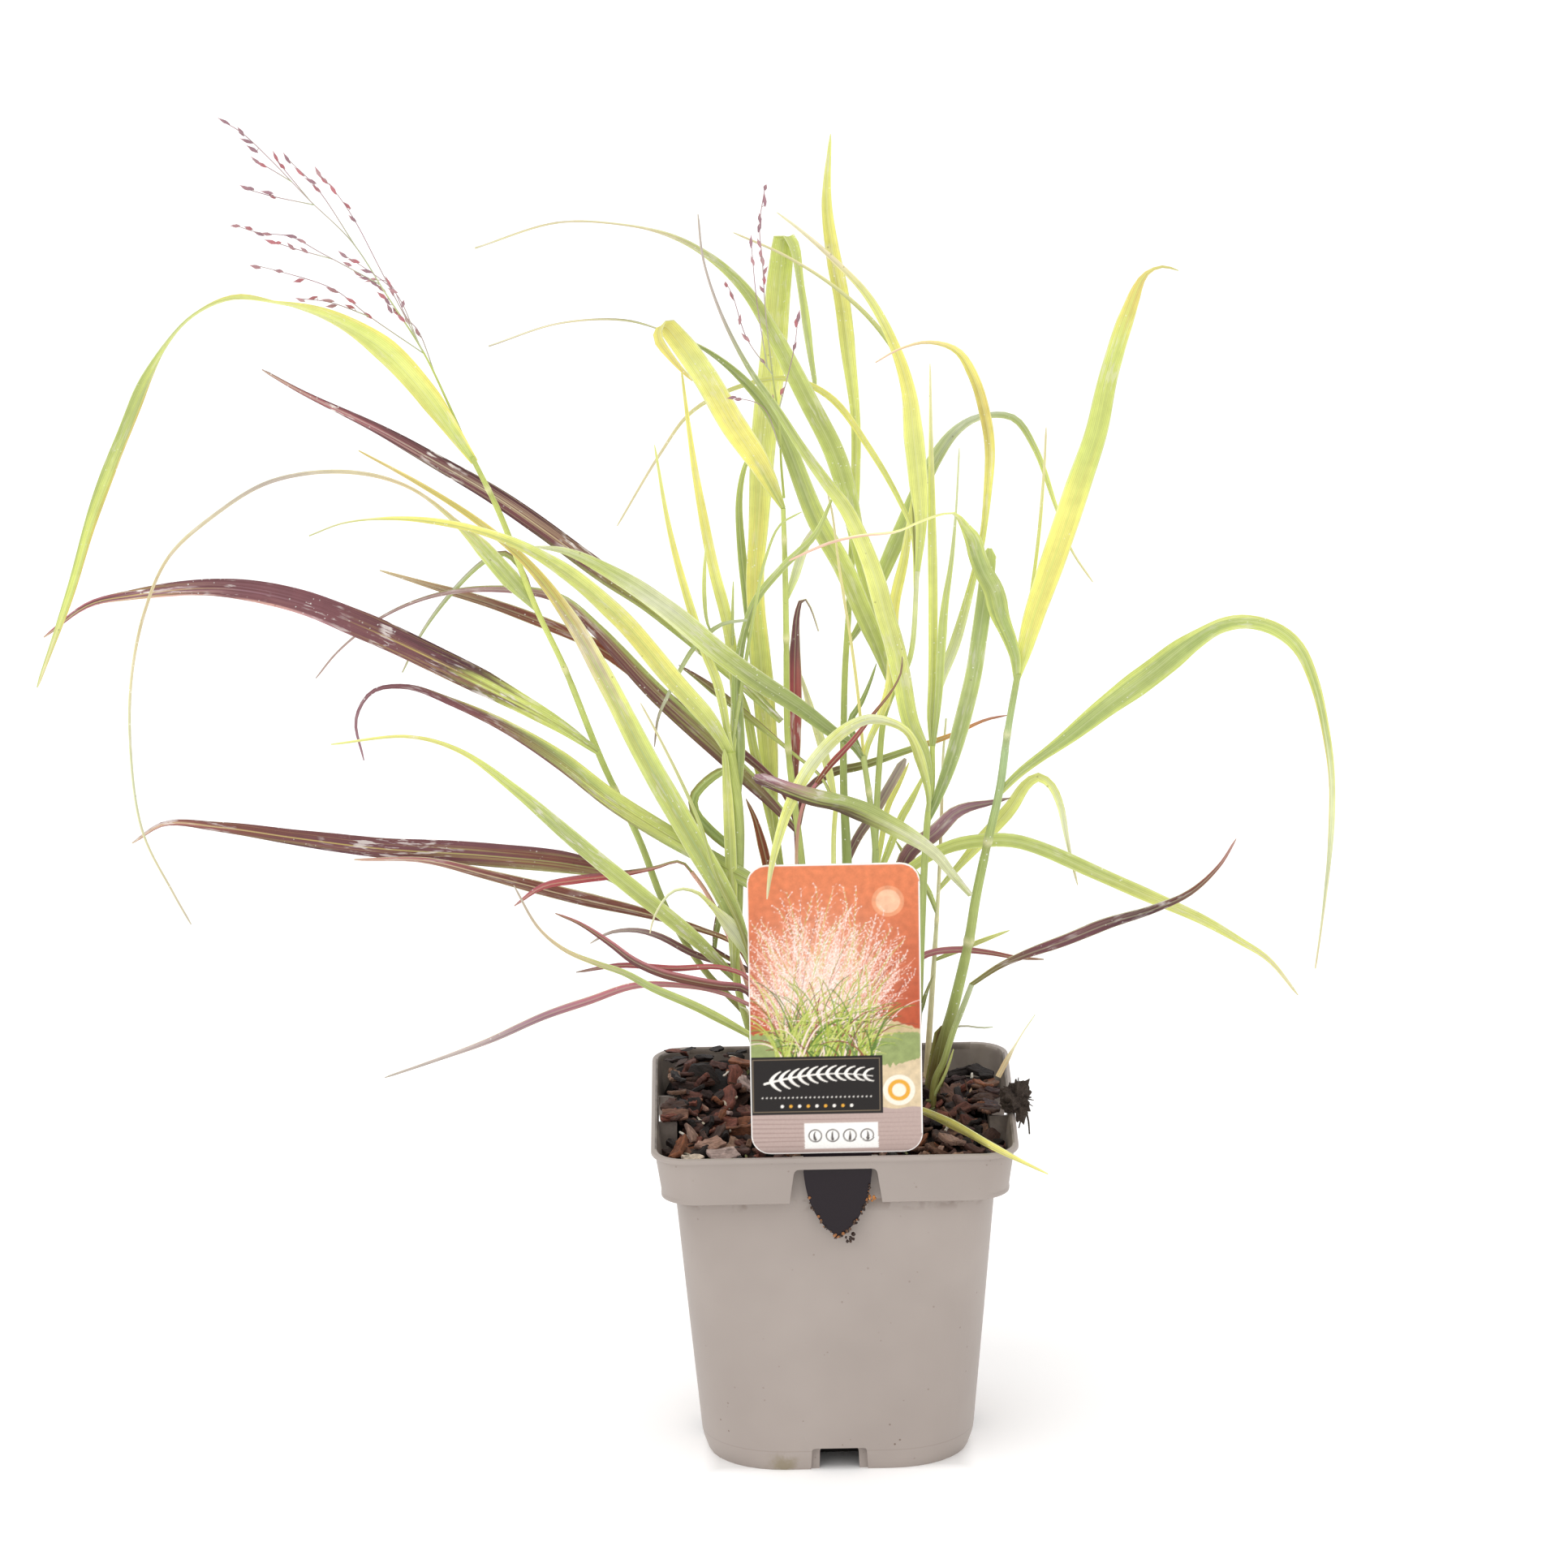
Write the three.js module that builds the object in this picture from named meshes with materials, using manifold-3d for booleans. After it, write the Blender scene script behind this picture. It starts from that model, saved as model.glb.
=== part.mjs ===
// A young switchgrass in a square nursery pot, with its plant label.
//
// Millimetres, +Z up. The origin is the middle of the pot's underside, the pot's sides face
// +X, -X, +Y and -Y, and the label stands in the side that faces -Y, the front.
//
// The grass is laid out as a florist sees it. Every stem and leaf has a route, written as
// [x, z] where it appears on the upright plane through the pot's middle to someone who stands
// in front at VIEWPOINT. Its depth then slides each point along that person's line of sight,
// so that leaves arch towards the front or the back without changing the outline from there.

import * as THREE from 'three';
import Module from 'manifold-3d';
import { mergeVertices } from 'three/addons/utils/BufferGeometryUtils.js';

const wasm = await Module();
wasm.setup();

// ---------------------------------------------------------------- driving dimensions

const POT = {
  rim: 170, // across the lip, side to side
  height: 162,
  wall: 1.3,
  lip: 2.2, // height and overhang of the bead round the rim
  band: 24, // height of the collar under the rim
  shoulder: 6, // how far the collar stands out from the body
  base: 128, // across the body just above the foot
  foot: 8, // height of the bevel at the bottom edge
  floor: 2,
};
const CORNER = { rim: 16, band: 17, body: 22, base: 40 }; // corner radii, getting rounder downwards
const CORNER_STEPS = 5;

const SLOT = { top: 38, bottom: 43, strip: 6.5, wall: 1.2 }; // pocket for a label
// A drain tunnel runs in under the floor from the middle of each bottom edge. Its mouth stands
// back in a shallow porch.
const TUNNEL = { width: 19, height: 10, length: 26 };
const PORCH = { width: 27, height: 11.5, depth: 4.6 };
const DRAIN = { diameter: 9, inset: 47, circle: 84 };

// The mulch is as far across as the room between the label pockets.
const SOIL = { plug: 140, mulch: 152, heap: 12, across: 145.6, gap: 0.35 };
const CHIPS = { count: 49, seed: 11, long: 26, wide: 15, thick: 5 };

const LABEL = { width: 79, height: 139, corner: 9, thickness: 0.8, bottom: 162.5, front: -79.9 };
const SPEAR = { width: 31.5, length: 30.5, neck: 9 };

const LEAF_THICKNESS = 0.7;
const LEAF_FOLD = 0.1; // depth of the midrib groove, as a share of the leaf's width
const LEAF_TIP = 0.9;
const GROOVED = 6.5; // a leaf at least this wide has the groove
const SEGMENT = 28; // length of one facet along a leaf or stem
const ROOT_DEPTH = 136; // stems end at this height in the soil

const VIEWPOINT = new THREE.Vector3(-43, -3724, 1395);
const CROWN = { x: 0, y: 10, z: 150 }; // where the grass comes out of the mulch
const FAN = { from: 130, to: 430, factor: 2.6 }; // how the clump opens out away from the crown

const COLOURS = {
  taupe: 0xa39a8f,
  soil: 0x2c201b,
  bark: 0x4a2c22,
  card: 0xd9693f,
  clod: 0x1d1614,
  straw: 0xb9a37c,
  yellowGreen: 0xa9b93a,
  green: 0x7d9a3c,
  deepGreen: 0x5f7f3a,
  paleGreen: 0xb4c672,
  purple: 0x4a2a33,
  brown: 0x5b3428,
  red: 0x8a3434,
  spikelet: 0x8d6468,
};

// ---------------------------------------------------------------- solids

// A closed lofted skin through rings of points, each ring with the same number of points.
// Opposite faces of a thin leaf are split along the same diagonal, so they never cross.
function loft(rings) {
  const size = rings[0].length;
  const half = size / 2;
  const positions = rings.flat().flatMap((p) => [p.x, p.y, p.z]);
  const faces = [];
  for (let i = 0; i + 1 < rings.length; i += 1) {
    for (let k = 0; k < size; k += 1) {
      const a = i * size + k;
      const b = i * size + ((k + 1) % size);
      const c = a + size;
      const d = b + size;
      if (k < half) faces.push([a, b, d], [a, d, c]);
      else faces.push([a, b, c], [b, d, c]);
    }
  }
  const last = (rings.length - 1) * size;
  for (let k = 2; k < size; k += 1) {
    const [p, q, r] = [1, k, (k + 1) % size];
    faces.push([p, r, q], [last + p, last + q, last + r]);
  }
  return solid(positions, faces.flat());
}

function solid(positions, triangles) {
  let volume = 0;
  const corner = (i) => new THREE.Vector3().fromArray(positions, triangles[i] * 3);
  for (let i = 0; i < triangles.length; i += 3) {
    volume += corner(i).dot(corner(i + 1).cross(corner(i + 2)));
  }
  const outward = volume > 0 ? triangles : triangles.toReversed();
  return new wasm.Manifold(new wasm.Mesh({
    numProp: 3,
    vertProperties: Float32Array.from(positions),
    triVerts: Uint32Array.from(outward),
  }));
}

function fromGeometry(geometry, matrix = new THREE.Matrix4()) {
  const bare = geometry.clone().applyMatrix4(matrix);
  bare.deleteAttribute('normal');
  bare.deleteAttribute('uv');
  const merged = mergeVertices(bare, 1e-4);
  return solid([...merged.attributes.position.array], [...merged.index.array]);
}

function join(solids) {
  return solids.reduce((whole, piece) => whole.add(piece));
}

function box(x, y, z, position) {
  const place = new THREE.Matrix4().makeTranslation(...position);
  return fromGeometry(new THREE.BoxGeometry(x, y, z), place);
}

function toMesh(name, colour, shape, roughness = 0.6) {
  const mesh = shape.getMesh();
  const geometry = new THREE.BufferGeometry();
  geometry.setAttribute('position', new THREE.BufferAttribute(mesh.vertProperties, 3));
  geometry.setIndex(new THREE.BufferAttribute(mesh.triVerts, 1));
  geometry.computeVertexNormals();
  const material = new THREE.MeshStandardMaterial({ color: colour, roughness, metalness: 0 });
  const result = new THREE.Mesh(geometry, material);
  result.name = name;
  return result;
}

// A seeded random number source, so that every build gives the same part.
function seeded(seed) {
  let state = seed;
  return () => {
    state = (state * 1664525 + 1013904223) % 4294967296;
    return state / 4294967296;
  };
}

// ---------------------------------------------------------------- pot

// One level of the pot: a square of the given half width with round corners.
function squareRing(half, radius, z) {
  const points = [];
  for (let quarter = 0; quarter < 4; quarter += 1) {
    for (let step = 0; step <= CORNER_STEPS; step += 1) {
      const angle = (Math.PI / 2) * (quarter + step / CORNER_STEPS);
      const centre = (Math.PI / 2) * (quarter + 0.5);
      const reach = (half - radius) * Math.SQRT2;
      points.push(new THREE.Vector3(
        Math.cos(centre) * reach + Math.cos(angle) * radius,
        Math.sin(centre) * reach + Math.sin(angle) * radius,
        z,
      ));
    }
  }
  return points;
}

const rimHalf = POT.rim / 2;
const bandHalf = rimHalf - POT.lip * 2.1; // at the bottom of the collar
const baseHalf = POT.base / 2;
const bandBottom = POT.height - POT.band;
const shoulderHalf = bandHalf - POT.shoulder;

// The wall's levels from the ground up, as [half width, corner radius, height].
const wallLevels = [
  [baseHalf - POT.foot * 0.4, CORNER.base - 4, 0],
  [baseHalf, CORNER.base, POT.foot],
  [(baseHalf + shoulderHalf) / 2, (CORNER.base + CORNER.body) / 2, bandBottom * 0.52],
  [shoulderHalf, CORNER.body, bandBottom - 0.5],
  [bandHalf, CORNER.band, bandBottom + 0.5],
  [rimHalf - 1.8, CORNER.rim, POT.height - POT.lip - 0.8],
];
const lipLevels = [
  [rimHalf, CORNER.rim + 1, POT.height - POT.lip],
  [rimHalf, CORNER.rim + 1, POT.height - 0.6],
  [rimHalf - 0.7, CORNER.rim, POT.height],
];

// The pot's inside, moved in by the wall and up past the collar's step, less a further gap.
function innerShell(gap, bottom, top) {
  const inset = POT.wall + gap;
  const inner = wallLevels.map(([half, radius, z], i) => (
    [half - inset, Math.max(radius - inset, 2), i === 3 || i === 4 ? z + inset : z]
  ));
  inner.push([inner[5][0], inner[5][1], POT.height + 20]);
  const heights = inner.map(([, , z]) => z).filter((z) => z > bottom && z < top);
  return loft([bottom, ...heights, top].map((z) => {
    const above = Math.max(inner.findIndex(([, , height]) => height >= z), 1);
    const [low, high] = [inner[above - 1], inner[above]];
    const share = (z - low[2]) / (high[2] - low[2]);
    return squareRing(
      THREE.MathUtils.lerp(low[0], high[0], share),
      THREE.MathUtils.lerp(low[1], high[1], share),
      z,
    );
  }));
}

function quarterTurns(shape) {
  return [0, 90, 180, 270].map((angle) => shape.rotate([0, 0, angle]));
}

// A prism standing on the XZ plane, from y = back to y = front.
function frontPrism(outline, front, back) {
  const shape = new THREE.Shape(outline.map(([x, z]) => new THREE.Vector2(x, z)));
  const geometry = new THREE.ExtrudeGeometry(shape, { depth: back - front, bevelEnabled: false });
  const place = new THREE.Matrix4().makeRotationX(Math.PI / 2).setPosition(0, back, 0);
  return fromGeometry(geometry, place);
}

function trapezoid(bottomWidth, topWidth, bottom, top) {
  return [
    [-bottomWidth / 2, bottom],
    [bottomWidth / 2, bottom],
    [topWidth / 2, top],
    [-topWidth / 2, top],
  ];
}

const pocketFace = -shoulderHalf; // the pocket's back wall is flush with the body
const pocketTop = POT.height - 3;
const slotTop = POT.height - SLOT.strip;

// A block as wide as the label pocket, plus extra on both sides, tapering upwards.
function pocketBlock(extra, bottom, top, back) {
  const slope = (SLOT.bottom - SLOT.top) / (slotTop - bandBottom);
  const widthAt = (z) => SLOT.bottom + 2 * extra - slope * (z - bandBottom);
  return frontPrism(trapezoid(widthAt(bottom), widthAt(top), bottom, top), -rimHalf - 2, back);
}

// A drain tunnel and its porch, grown by a wall all round. floor is the height they start at.
function tunnelBlocks(wall, floor) {
  const porch = trapezoid(PORCH.width + 2 * wall, PORCH.width + 2 * wall, floor, PORCH.height + wall);
  const tunnel = trapezoid(TUNNEL.width + 2 * wall, TUNNEL.width + 2 * wall, floor, TUNNEL.height + wall);
  return frontPrism(porch, -rimHalf, PORCH.depth - baseHalf + wall)
    .add(frontPrism(tunnel, -rimHalf, TUNNEL.length - baseHalf + wall));
}

function makePot() {
  const skin = loft([...wallLevels, ...lipLevels].map((level) => squareRing(...level)));
  const cup = skin.subtract(innerShell(0, POT.floor, POT.height + 1));
  const pocket = pocketBlock(SLOT.wall, bandBottom - 1, pocketTop, pocketFace + SLOT.wall)
    .intersect(skin);
  const hollow = pocketBlock(0, bandBottom - 2, pocketTop + 1, pocketFace).intersect(skin)
    .subtract(pocketBlock(2, slotTop, POT.height, -rimHalf + 3.4));
  const drainWalls = tunnelBlocks(POT.wall, 0).intersect(skin);
  let pot = cup.add(join(quarterTurns(pocket.add(drainWalls))));
  pot = pot.subtract(join(quarterTurns(hollow.add(tunnelBlocks(0, -1)))));
  const drill = new THREE.CylinderGeometry(DRAIN.diameter / 2, DRAIN.diameter / 2, 8, 10);
  drill.rotateX(Math.PI / 2);
  const roofHole = fromGeometry(drill, new THREE.Matrix4().makeTranslation(
    0, -DRAIN.inset, TUNNEL.height + POT.wall,
  ));
  const corner = (DRAIN.circle / 2) * Math.SQRT1_2;
  const floorHole = fromGeometry(drill, new THREE.Matrix4().makeTranslation(corner, corner, 0));
  pot = pot.subtract(join(quarterTurns(roofHole.add(floorHole))));
  return toMesh('pot', COLOURS.taupe, pot, 0.55);
}

// ---------------------------------------------------------------- soil and bark mulch

// Room for the four label pockets, which stand inside the collar.
function pocketRoom() {
  const beside = SLOT.wall + SOIL.gap;
  const room = pocketBlock(beside, bandBottom - 2, POT.height + 10, pocketFace + beside);
  return join(quarterTurns(room));
}

// One piece of bark: a slab with a sloping top and ends that aren't square.
function barkChip(random, thick) {
  const long = CHIPS.long * (0.45 + 0.55 * random());
  const wide = CHIPS.wide * (0.45 + 0.55 * random());
  const geometry = new THREE.BoxGeometry(long, wide, thick);
  const position = geometry.attributes.position;
  for (let i = 0; i < position.count; i += 1) {
    const [x, y, z] = [position.getX(i), position.getY(i), position.getZ(i)];
    const skew = 0.22 * Math.sin(x * 7 + y * 3 + z * 5);
    const taper = z > 0 ? 0.68 : 1;
    position.setXYZ(i, x * taper + skew * wide, y * taper + skew * thick, z * (1 + skew));
  }
  return geometry;
}

// The height of the mulch, heaped up in the left rear corner.
function mulchHeight(x, y) {
  const rise = THREE.MathUtils.smoothstep(y - x, 30, 150);
  return SOIL.mulch + SOIL.heap * rise;
}

function makeMulch(sockets) {
  const random = seeded(CHIPS.seed);
  const pieces = [innerShell(SOIL.gap, SOIL.plug + SOIL.gap, SOIL.mulch - 3)];
  const across = Math.ceil(Math.sqrt(CHIPS.count));
  const spread = SOIL.across - 2;
  for (let i = 0; i < CHIPS.count; i += 1) {
    const column = (i % across) + 0.5 + (random() - 0.5) * 0.9;
    const row = Math.floor(i / across) + 0.5 + (random() - 0.5) * 0.9;
    const x = (column / across - 0.5) * spread;
    const y = (row / across - 0.5) * spread;
    const lean = new THREE.Euler((random() - 0.5) * 0.7, (random() - 0.5) * 0.7, random() * Math.PI);
    const top = mulchHeight(x, y);
    const thick = CHIPS.thick * (0.7 + 0.6 * random()) + top - SOIL.mulch;
    const place = new THREE.Matrix4()
      .makeRotationFromEuler(lean)
      .setPosition(x, y, top + 1.5 * random() - thick / 2);
    pieces.push(fromGeometry(barkChip(random, thick), place));
  }
  const envelope = innerShell(SOIL.gap, SOIL.plug + SOIL.gap, POT.height + 12)
    .intersect(box(SOIL.across, SOIL.across, 100, [0, 0, SOIL.mulch]));
  const mulch = join(pieces).intersect(envelope).subtract(pocketRoom()).subtract(sockets);
  return toMesh('bark_mulch', COLOURS.bark, largest(mulch), 0.9);
}

// The biggest of a shape's separate bodies, without loose scraps.
function largest(shape) {
  return shape.decompose().reduce((best, body) => (body.volume() > best.volume() ? body : best));
}

function makeSoil(sockets) {
  const plug = innerShell(SOIL.gap, POT.floor + SOIL.gap, SOIL.plug);
  const drains = join(quarterTurns(tunnelBlocks(POT.wall + SOIL.gap, 0)));
  const soil = plug.subtract(pocketRoom()).subtract(drains).subtract(sockets);
  return toMesh('potting_soil', COLOURS.soil, soil, 1);
}

// ---------------------------------------------------------------- plant label

function makeLabel() {
  const { width, height, corner, bottom } = LABEL;
  const card = new THREE.Shape();
  const left = -width / 2 + 1;
  const right = width / 2 + 1;
  const top = bottom + height;
  const neck = SPEAR.width / 2;
  const spearTip = bottom - SPEAR.neck - SPEAR.length;
  card.moveTo(left + corner, top);
  card.lineTo(right - corner, top);
  card.absarc(right - corner, top - corner, corner, Math.PI / 2, 0, true);
  card.lineTo(right, bottom + corner);
  card.absarc(right - corner, bottom + corner, corner, 0, -Math.PI / 2, true);
  card.lineTo(1 + neck, bottom);
  card.lineTo(1 + neck, bottom - SPEAR.neck);
  const bulge = bottom - SPEAR.neck - SPEAR.length * 0.6;
  card.bezierCurveTo(1 + neck * 0.92, bulge, 1 + neck * 0.42, spearTip + 4, 1, spearTip);
  card.bezierCurveTo(1 - neck * 0.42, spearTip + 4, 1 - neck * 0.92, bulge, 1 - neck, bottom - SPEAR.neck);
  card.lineTo(1 - neck, bottom);
  card.lineTo(left + corner, bottom);
  card.absarc(left + corner, bottom + corner, corner, -Math.PI / 2, -Math.PI, true);
  card.lineTo(left, top - corner);
  card.absarc(left + corner, top - corner, corner, Math.PI, Math.PI / 2, true);
  const geometry = new THREE.ExtrudeGeometry(card, {
    depth: LABEL.thickness, bevelEnabled: false, curveSegments: 5,
  });
  const place = new THREE.Matrix4()
    .makeRotationX(Math.PI / 2)
    .setPosition(0, LABEL.front + LABEL.thickness, 0);
  return toMesh('plant_label', COLOURS.card, fromGeometry(geometry, place), 0.35);
}

// ---------------------------------------------------------------- stems and leaves

// Slides a point of the layout plane along the line of sight to the given depth, which
// counts for more the further the point is from the crown, so that the clump fans out.
function seenFromFront([x, z], depth) {
  const reach = Math.hypot(x - CROWN.x, z - CROWN.z);
  const factor = 1 + (FAN.factor - 1) * THREE.MathUtils.smoothstep(reach, FAN.from, FAN.to);
  const fanned = CROWN.y + (depth - CROWN.y) * factor;
  const share = (fanned - VIEWPOINT.y) / -VIEWPOINT.y;
  return new THREE.Vector3(x, 0, z).sub(VIEWPOINT).multiplyScalar(share).add(VIEWPOINT);
}

// The value at a share of the way along a list of evenly spaced values.
function along(values, share) {
  const place = share * (values.length - 1);
  const index = Math.min(Math.floor(place), values.length - 2);
  if (index < 0) return values[0];
  return values[index] + (values[index + 1] - values[index]) * (place - index);
}

// The curve of a route in space. A given start replaces its first point.
function routeCurve({ route, depth, start }) {
  const flat = route.map(([x, z]) => new THREE.Vector3(x, 0, z));
  const lengths = flat.map((p, i) => (i === 0 ? 0 : p.distanceTo(flat[i - 1])));
  const total = lengths.reduce((sum, step) => sum + step);
  let walked = 0;
  const points = route.map((point, i) => {
    walked += lengths[i];
    return i === 0 && start ? start : seenFromFront(point, along(depth, walked / total));
  });
  return new THREE.CatmullRomCurve3(points, false, 'centripetal');
}

// The same row, starting on the nearest of the curves it grows from.
function grownOn(curves, row) {
  const first = seenFromFront(row.route[0], row.depth[0]);
  const places = curves.flatMap((curve) => curve.getSpacedPoints(80));
  const start = places.reduce((best, place) => (
    place.distanceTo(first) < best.distanceTo(first) ? place : best
  ));
  return { ...row, start };
}

// Evenly spaced stations along a route. Each has its place, its direction and the two
// directions across it: side lies across the view, and face looks towards the front.
function stations(row) {
  const curve = routeCurve(row);
  const count = Math.max(3, Math.round(curve.getLength() / (row.segment ?? SEGMENT)));
  const sight = new THREE.Vector3(0, 1, 0);
  const result = [];
  let side = null;
  for (let i = 0; i <= count; i += 1) {
    const share = i / count;
    const point = curve.getPointAt(share);
    const ahead = curve.getTangentAt(share);
    side = side ?? new THREE.Vector3().crossVectors(ahead, sight);
    side = side.clone().addScaledVector(ahead, -side.dot(ahead)).normalize();
    const face = new THREE.Vector3().crossVectors(side, ahead).normalize();
    const turn = THREE.MathUtils.degToRad(along(row.turn ?? [0, 0], share));
    const turned = side.clone().multiplyScalar(Math.cos(turn)).addScaledVector(face, Math.sin(turn));
    const facing = new THREE.Vector3().crossVectors(turned, ahead);
    result.push({ share, point, side: turned, face: facing, width: along(row.width, share) });
  }
  return result;
}

// The straight pieces between a row's stations.
function chords(row) {
  const points = stations(row).map(({ point }) => point);
  const path = new THREE.CurvePath();
  points.slice(1).forEach((point, i) => path.add(new THREE.LineCurve3(points[i], point)));
  return path;
}

// A leaf blade: a thin strip with a shallow groove along its midrib.
function blade(row) {
  const rings = stations(row).map(({ point, side, face, width }) => {
    const half = Math.max(width, LEAF_TIP) / 2;
    const groove = width * LEAF_FOLD;
    const at = (across, out) => point.clone()
      .addScaledVector(side, across)
      .addScaledVector(face, out);
    const skin = LEAF_THICKNESS / 2;
    if (Math.max(...row.width) < GROOVED) {
      return [at(-half, skin), at(half, skin), at(half, -skin), at(-half, -skin)];
    }
    return [
      at(-half, groove + skin), at(0, skin), at(half, groove + skin),
      at(half, groove - skin), at(0, -skin), at(-half, groove - skin),
    ];
  });
  return loft(rings);
}

// A round stem, with extra all round where it makes room for itself in the soil.
function stem(row, extra = 0) {
  const sides = 5;
  const places = stations(row);
  const rings = places.map(({ point, side, face, width }, i) => {
    const radius = width / 2 + extra;
    const centre = point.clone();
    if (i === 0 && extra > 0) {
      centre.addScaledVector(places[1].point.clone().sub(point).normalize(), -extra);
    }
    return Array.from({ length: sides }, (_, k) => {
      const angle = (2 * Math.PI * k) / sides;
      return centre.clone()
        .addScaledVector(side, Math.cos(angle) * radius)
        .addScaledVector(face, Math.sin(angle) * radius);
    });
  });
  return loft(rings);
}

// ---------------------------------------------------------------- the grass

// Each tiller is a stem rooted in the soil with its leaves grown on. route runs from the base
// to the tip; depth, width and turn are evenly spaced along it, with depth towards the back
// and turn the leaf's roll away from the viewer in degrees.
const TILLERS = [
  {
    name: 'left_flowering_stem',
    colour: COLOURS.green,
    stem: {
      route: [[-8, 140], [-22, 176], [-40, 205], [-59, 227], [-76, 257], [-88, 291], [-104, 328],
        [-121, 375], [-133.5, 404], [-149, 449], [-161, 476]],
      depth: [28, 22, 15, 9, 2, -2, -6],
      width: [3.6, 3.2, 3, 2.8, 2.6, 2.4],
    },
    leaves: [
      { // top leaf, arching far to the left
        route: [[-160, 473], [-183, 508], [-202, 529], [-225, 543], [-248, 550], [-270, 552],
          [-290, 542], [-307, 518], [-320, 490], [-336, 451], [-347, 417], [-365, 370]],
        depth: [-6, -8, -14, -22, -32, -42],
        width: [2.6, 8, 10.5, 9, 5, 6, 6, 5.5, 4, 1.5],
        turn: [0, 0, 15, 60, 78, 35, 10, 0, 0],
      },
      { // long thin arch
        route: [[-132.5, 402], [-147, 420], [-165, 441], [-190, 462], [-219, 470], [-254, 466],
          [-281, 450], [-302, 431], [-314, 405], [-321, 375], [-323, 342], [-319, 300], [-306, 270],
          [-298, 254]],
        depth: [-2, -4, -12, -26, -34, -38],
        width: [2.5, 8, 7, 4, 2.4, 1.8, 1.6, 1.4, 1.2, 0.9],
      },
      { // thin arch in the shade of the one above
        route: [[-134, 405], [-139, 421], [-147, 430], [-156, 427], [-172, 412], [-187, 392],
          [-196, 374]],
        depth: [-2, 5, 9, 10],
        width: [1.4, 2.8, 3, 2, 0.9],
      },
    ],
  },
  {
    name: 'left_leafy_stem',
    colour: COLOURS.yellowGreen,
    stem: {
      route: [[-24, 139], [-34, 180], [-44, 223], [-43, 262], [-42, 302], [-44.5, 333]],
      depth: [9, 4, 1, -1, -5],
      width: [4, 3, 3.4, 5.6, 6, 4.2],
    },
    leaves: [
      { // broad ribbed leaf in front
        route: [[-44.5, 330], [-53, 346], [-71, 368], [-94, 397], [-124, 424], [-153, 439],
          [-189, 447], [-220, 446], [-237, 440]],
        depth: [-6, -14, -24, -32, -38],
        width: [4, 8.5, 9.5, 9.5, 8, 5.5, 3, 1],
        turn: [0, 0, 0, 10, 20],
      },
      { // lower leaf, low on the stem
        route: [[-45, 222], [-62, 241], [-88, 264], [-117, 290], [-146, 317], [-171, 336],
          [-194, 343], [-230, 340]],
        depth: [3, -12, -22, -30, -36],
        width: [3.5, 7.5, 8, 8, 6.5, 3.5, 1],
      },
      { // upright narrow leaf
        route: [[-45, 331], [-50, 365], [-56, 382], [-63, 406], [-71, 440], [-77, 480]],
        depth: [-6, -7, -5, -3],
        width: [2.5, 4.4, 4.2, 3.4, 2, 0.9],
      },
      { // bright leaf behind it
        route: [[-43, 330], [-42, 362], [-45, 394], [-51, 421], [-58, 463], [-61, 487], [-64, 516]],
        depth: [-4, 5, 6, 6, 5],
        width: [3, 5, 5.5, 4.5, 2.5, 0.9],
      },
      { // blue-green leaf that bends right, behind the flowering stem in the middle
        route: [[-40, 308], [-41, 331], [-41, 369], [-38, 388], [-32, 405], [-19, 421], [-4, 436],
          [5, 455]],
        depth: [-4, -3, 2, 5, 6, 6.2],
        width: [3, 6.2, 5.4, 3.4, 3.6, 3.4, 0.9],
      },
      { // thin side leaf
        route: [[-38, 388], [-31, 408], [-27, 425], [-20, 441], [-10, 447]],
        depth: [6, 3, 1, -1],
        width: [1.6, 1.8, 1.5, 0.9],
      },
      { // short curved leaf, first left and then back under itself
        route: [[-43, 283], [-50, 290], [-57, 297], [-62, 304], [-62.5, 311], [-56, 319], [-47, 325]],
        depth: [-1, 3, 8, 10, 6],
        width: [3.4, 3.2, 3, 3, 2.6],
      },
      { // leaf hanging down behind the stem
        route: [[-42, 300], [-44, 285], [-48, 265], [-53, 246], [-54.5, 231]],
        depth: [-2, 10, 14, 14],
        width: [3, 4.6, 4.6, 3.6, 1.2],
      },
    ],
  },
  {
    name: 'front_leaf_shoot',
    colour: COLOURS.yellowGreen,
    stem: {
      route: [[-17, 139], [-30, 185], [-37, 232]],
      depth: [5, -2, -8],
      width: [3, 2.8, 3],
    },
    leaves: [
      { // long straight leaf in front of the left half
        route: [[-36, 229], [-48, 261], [-63, 290], [-83, 328], [-100, 364], [-117, 397],
          [-137, 425], [-160, 446], [-186, 464], [-213, 480]],
        depth: [-8, -14, -17, -20],
        width: [4, 10, 11, 10, 8.5, 6, 3, 1],
      },
      { // short pale leaf that curls over
        route: [[-36, 230], [-46, 247], [-56, 258], [-66, 266], [-74, 267], [-81, 260], [-85, 247]],
        depth: [-8, -15, -20, -24],
        width: [2.4, 4.4, 4, 2.6, 1.6, 0.9],
      },
      { // narrow folded leaf
        route: [[-36, 230], [-42, 248], [-53, 274], [-60, 299], [-68, 319], [-80, 345], [-86, 357]],
        depth: [-8, -20, -22, -22],
        width: [2.4, 2.4, 2, 1.4, 0.9],
      },
    ],
  },
  {
    name: 'ribbed_leaf_shoot',
    colour: COLOURS.yellowGreen,
    stem: {
      route: [[-8, 139], [-18, 190], [-27, 250]],
      depth: [3, 0, -5],
      width: [3, 2.8, 2.8],
    },
    leaves: [
      { // ribbed leaf with a hooked tip
        route: [[-26.5, 246], [-33, 266], [-49, 277], [-75, 293], [-101, 311], [-125, 331],
          [-149, 347], [-173, 359], [-194, 367], [-210, 365], [-218, 352], [-215, 332]],
        depth: [-5, -5.5, -5.5, -5.5, -6, -8, -12],
        width: [3, 8.5, 9.5, 9.5, 9, 7, 4, 1],
      },
    ],
  },
  {
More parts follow.
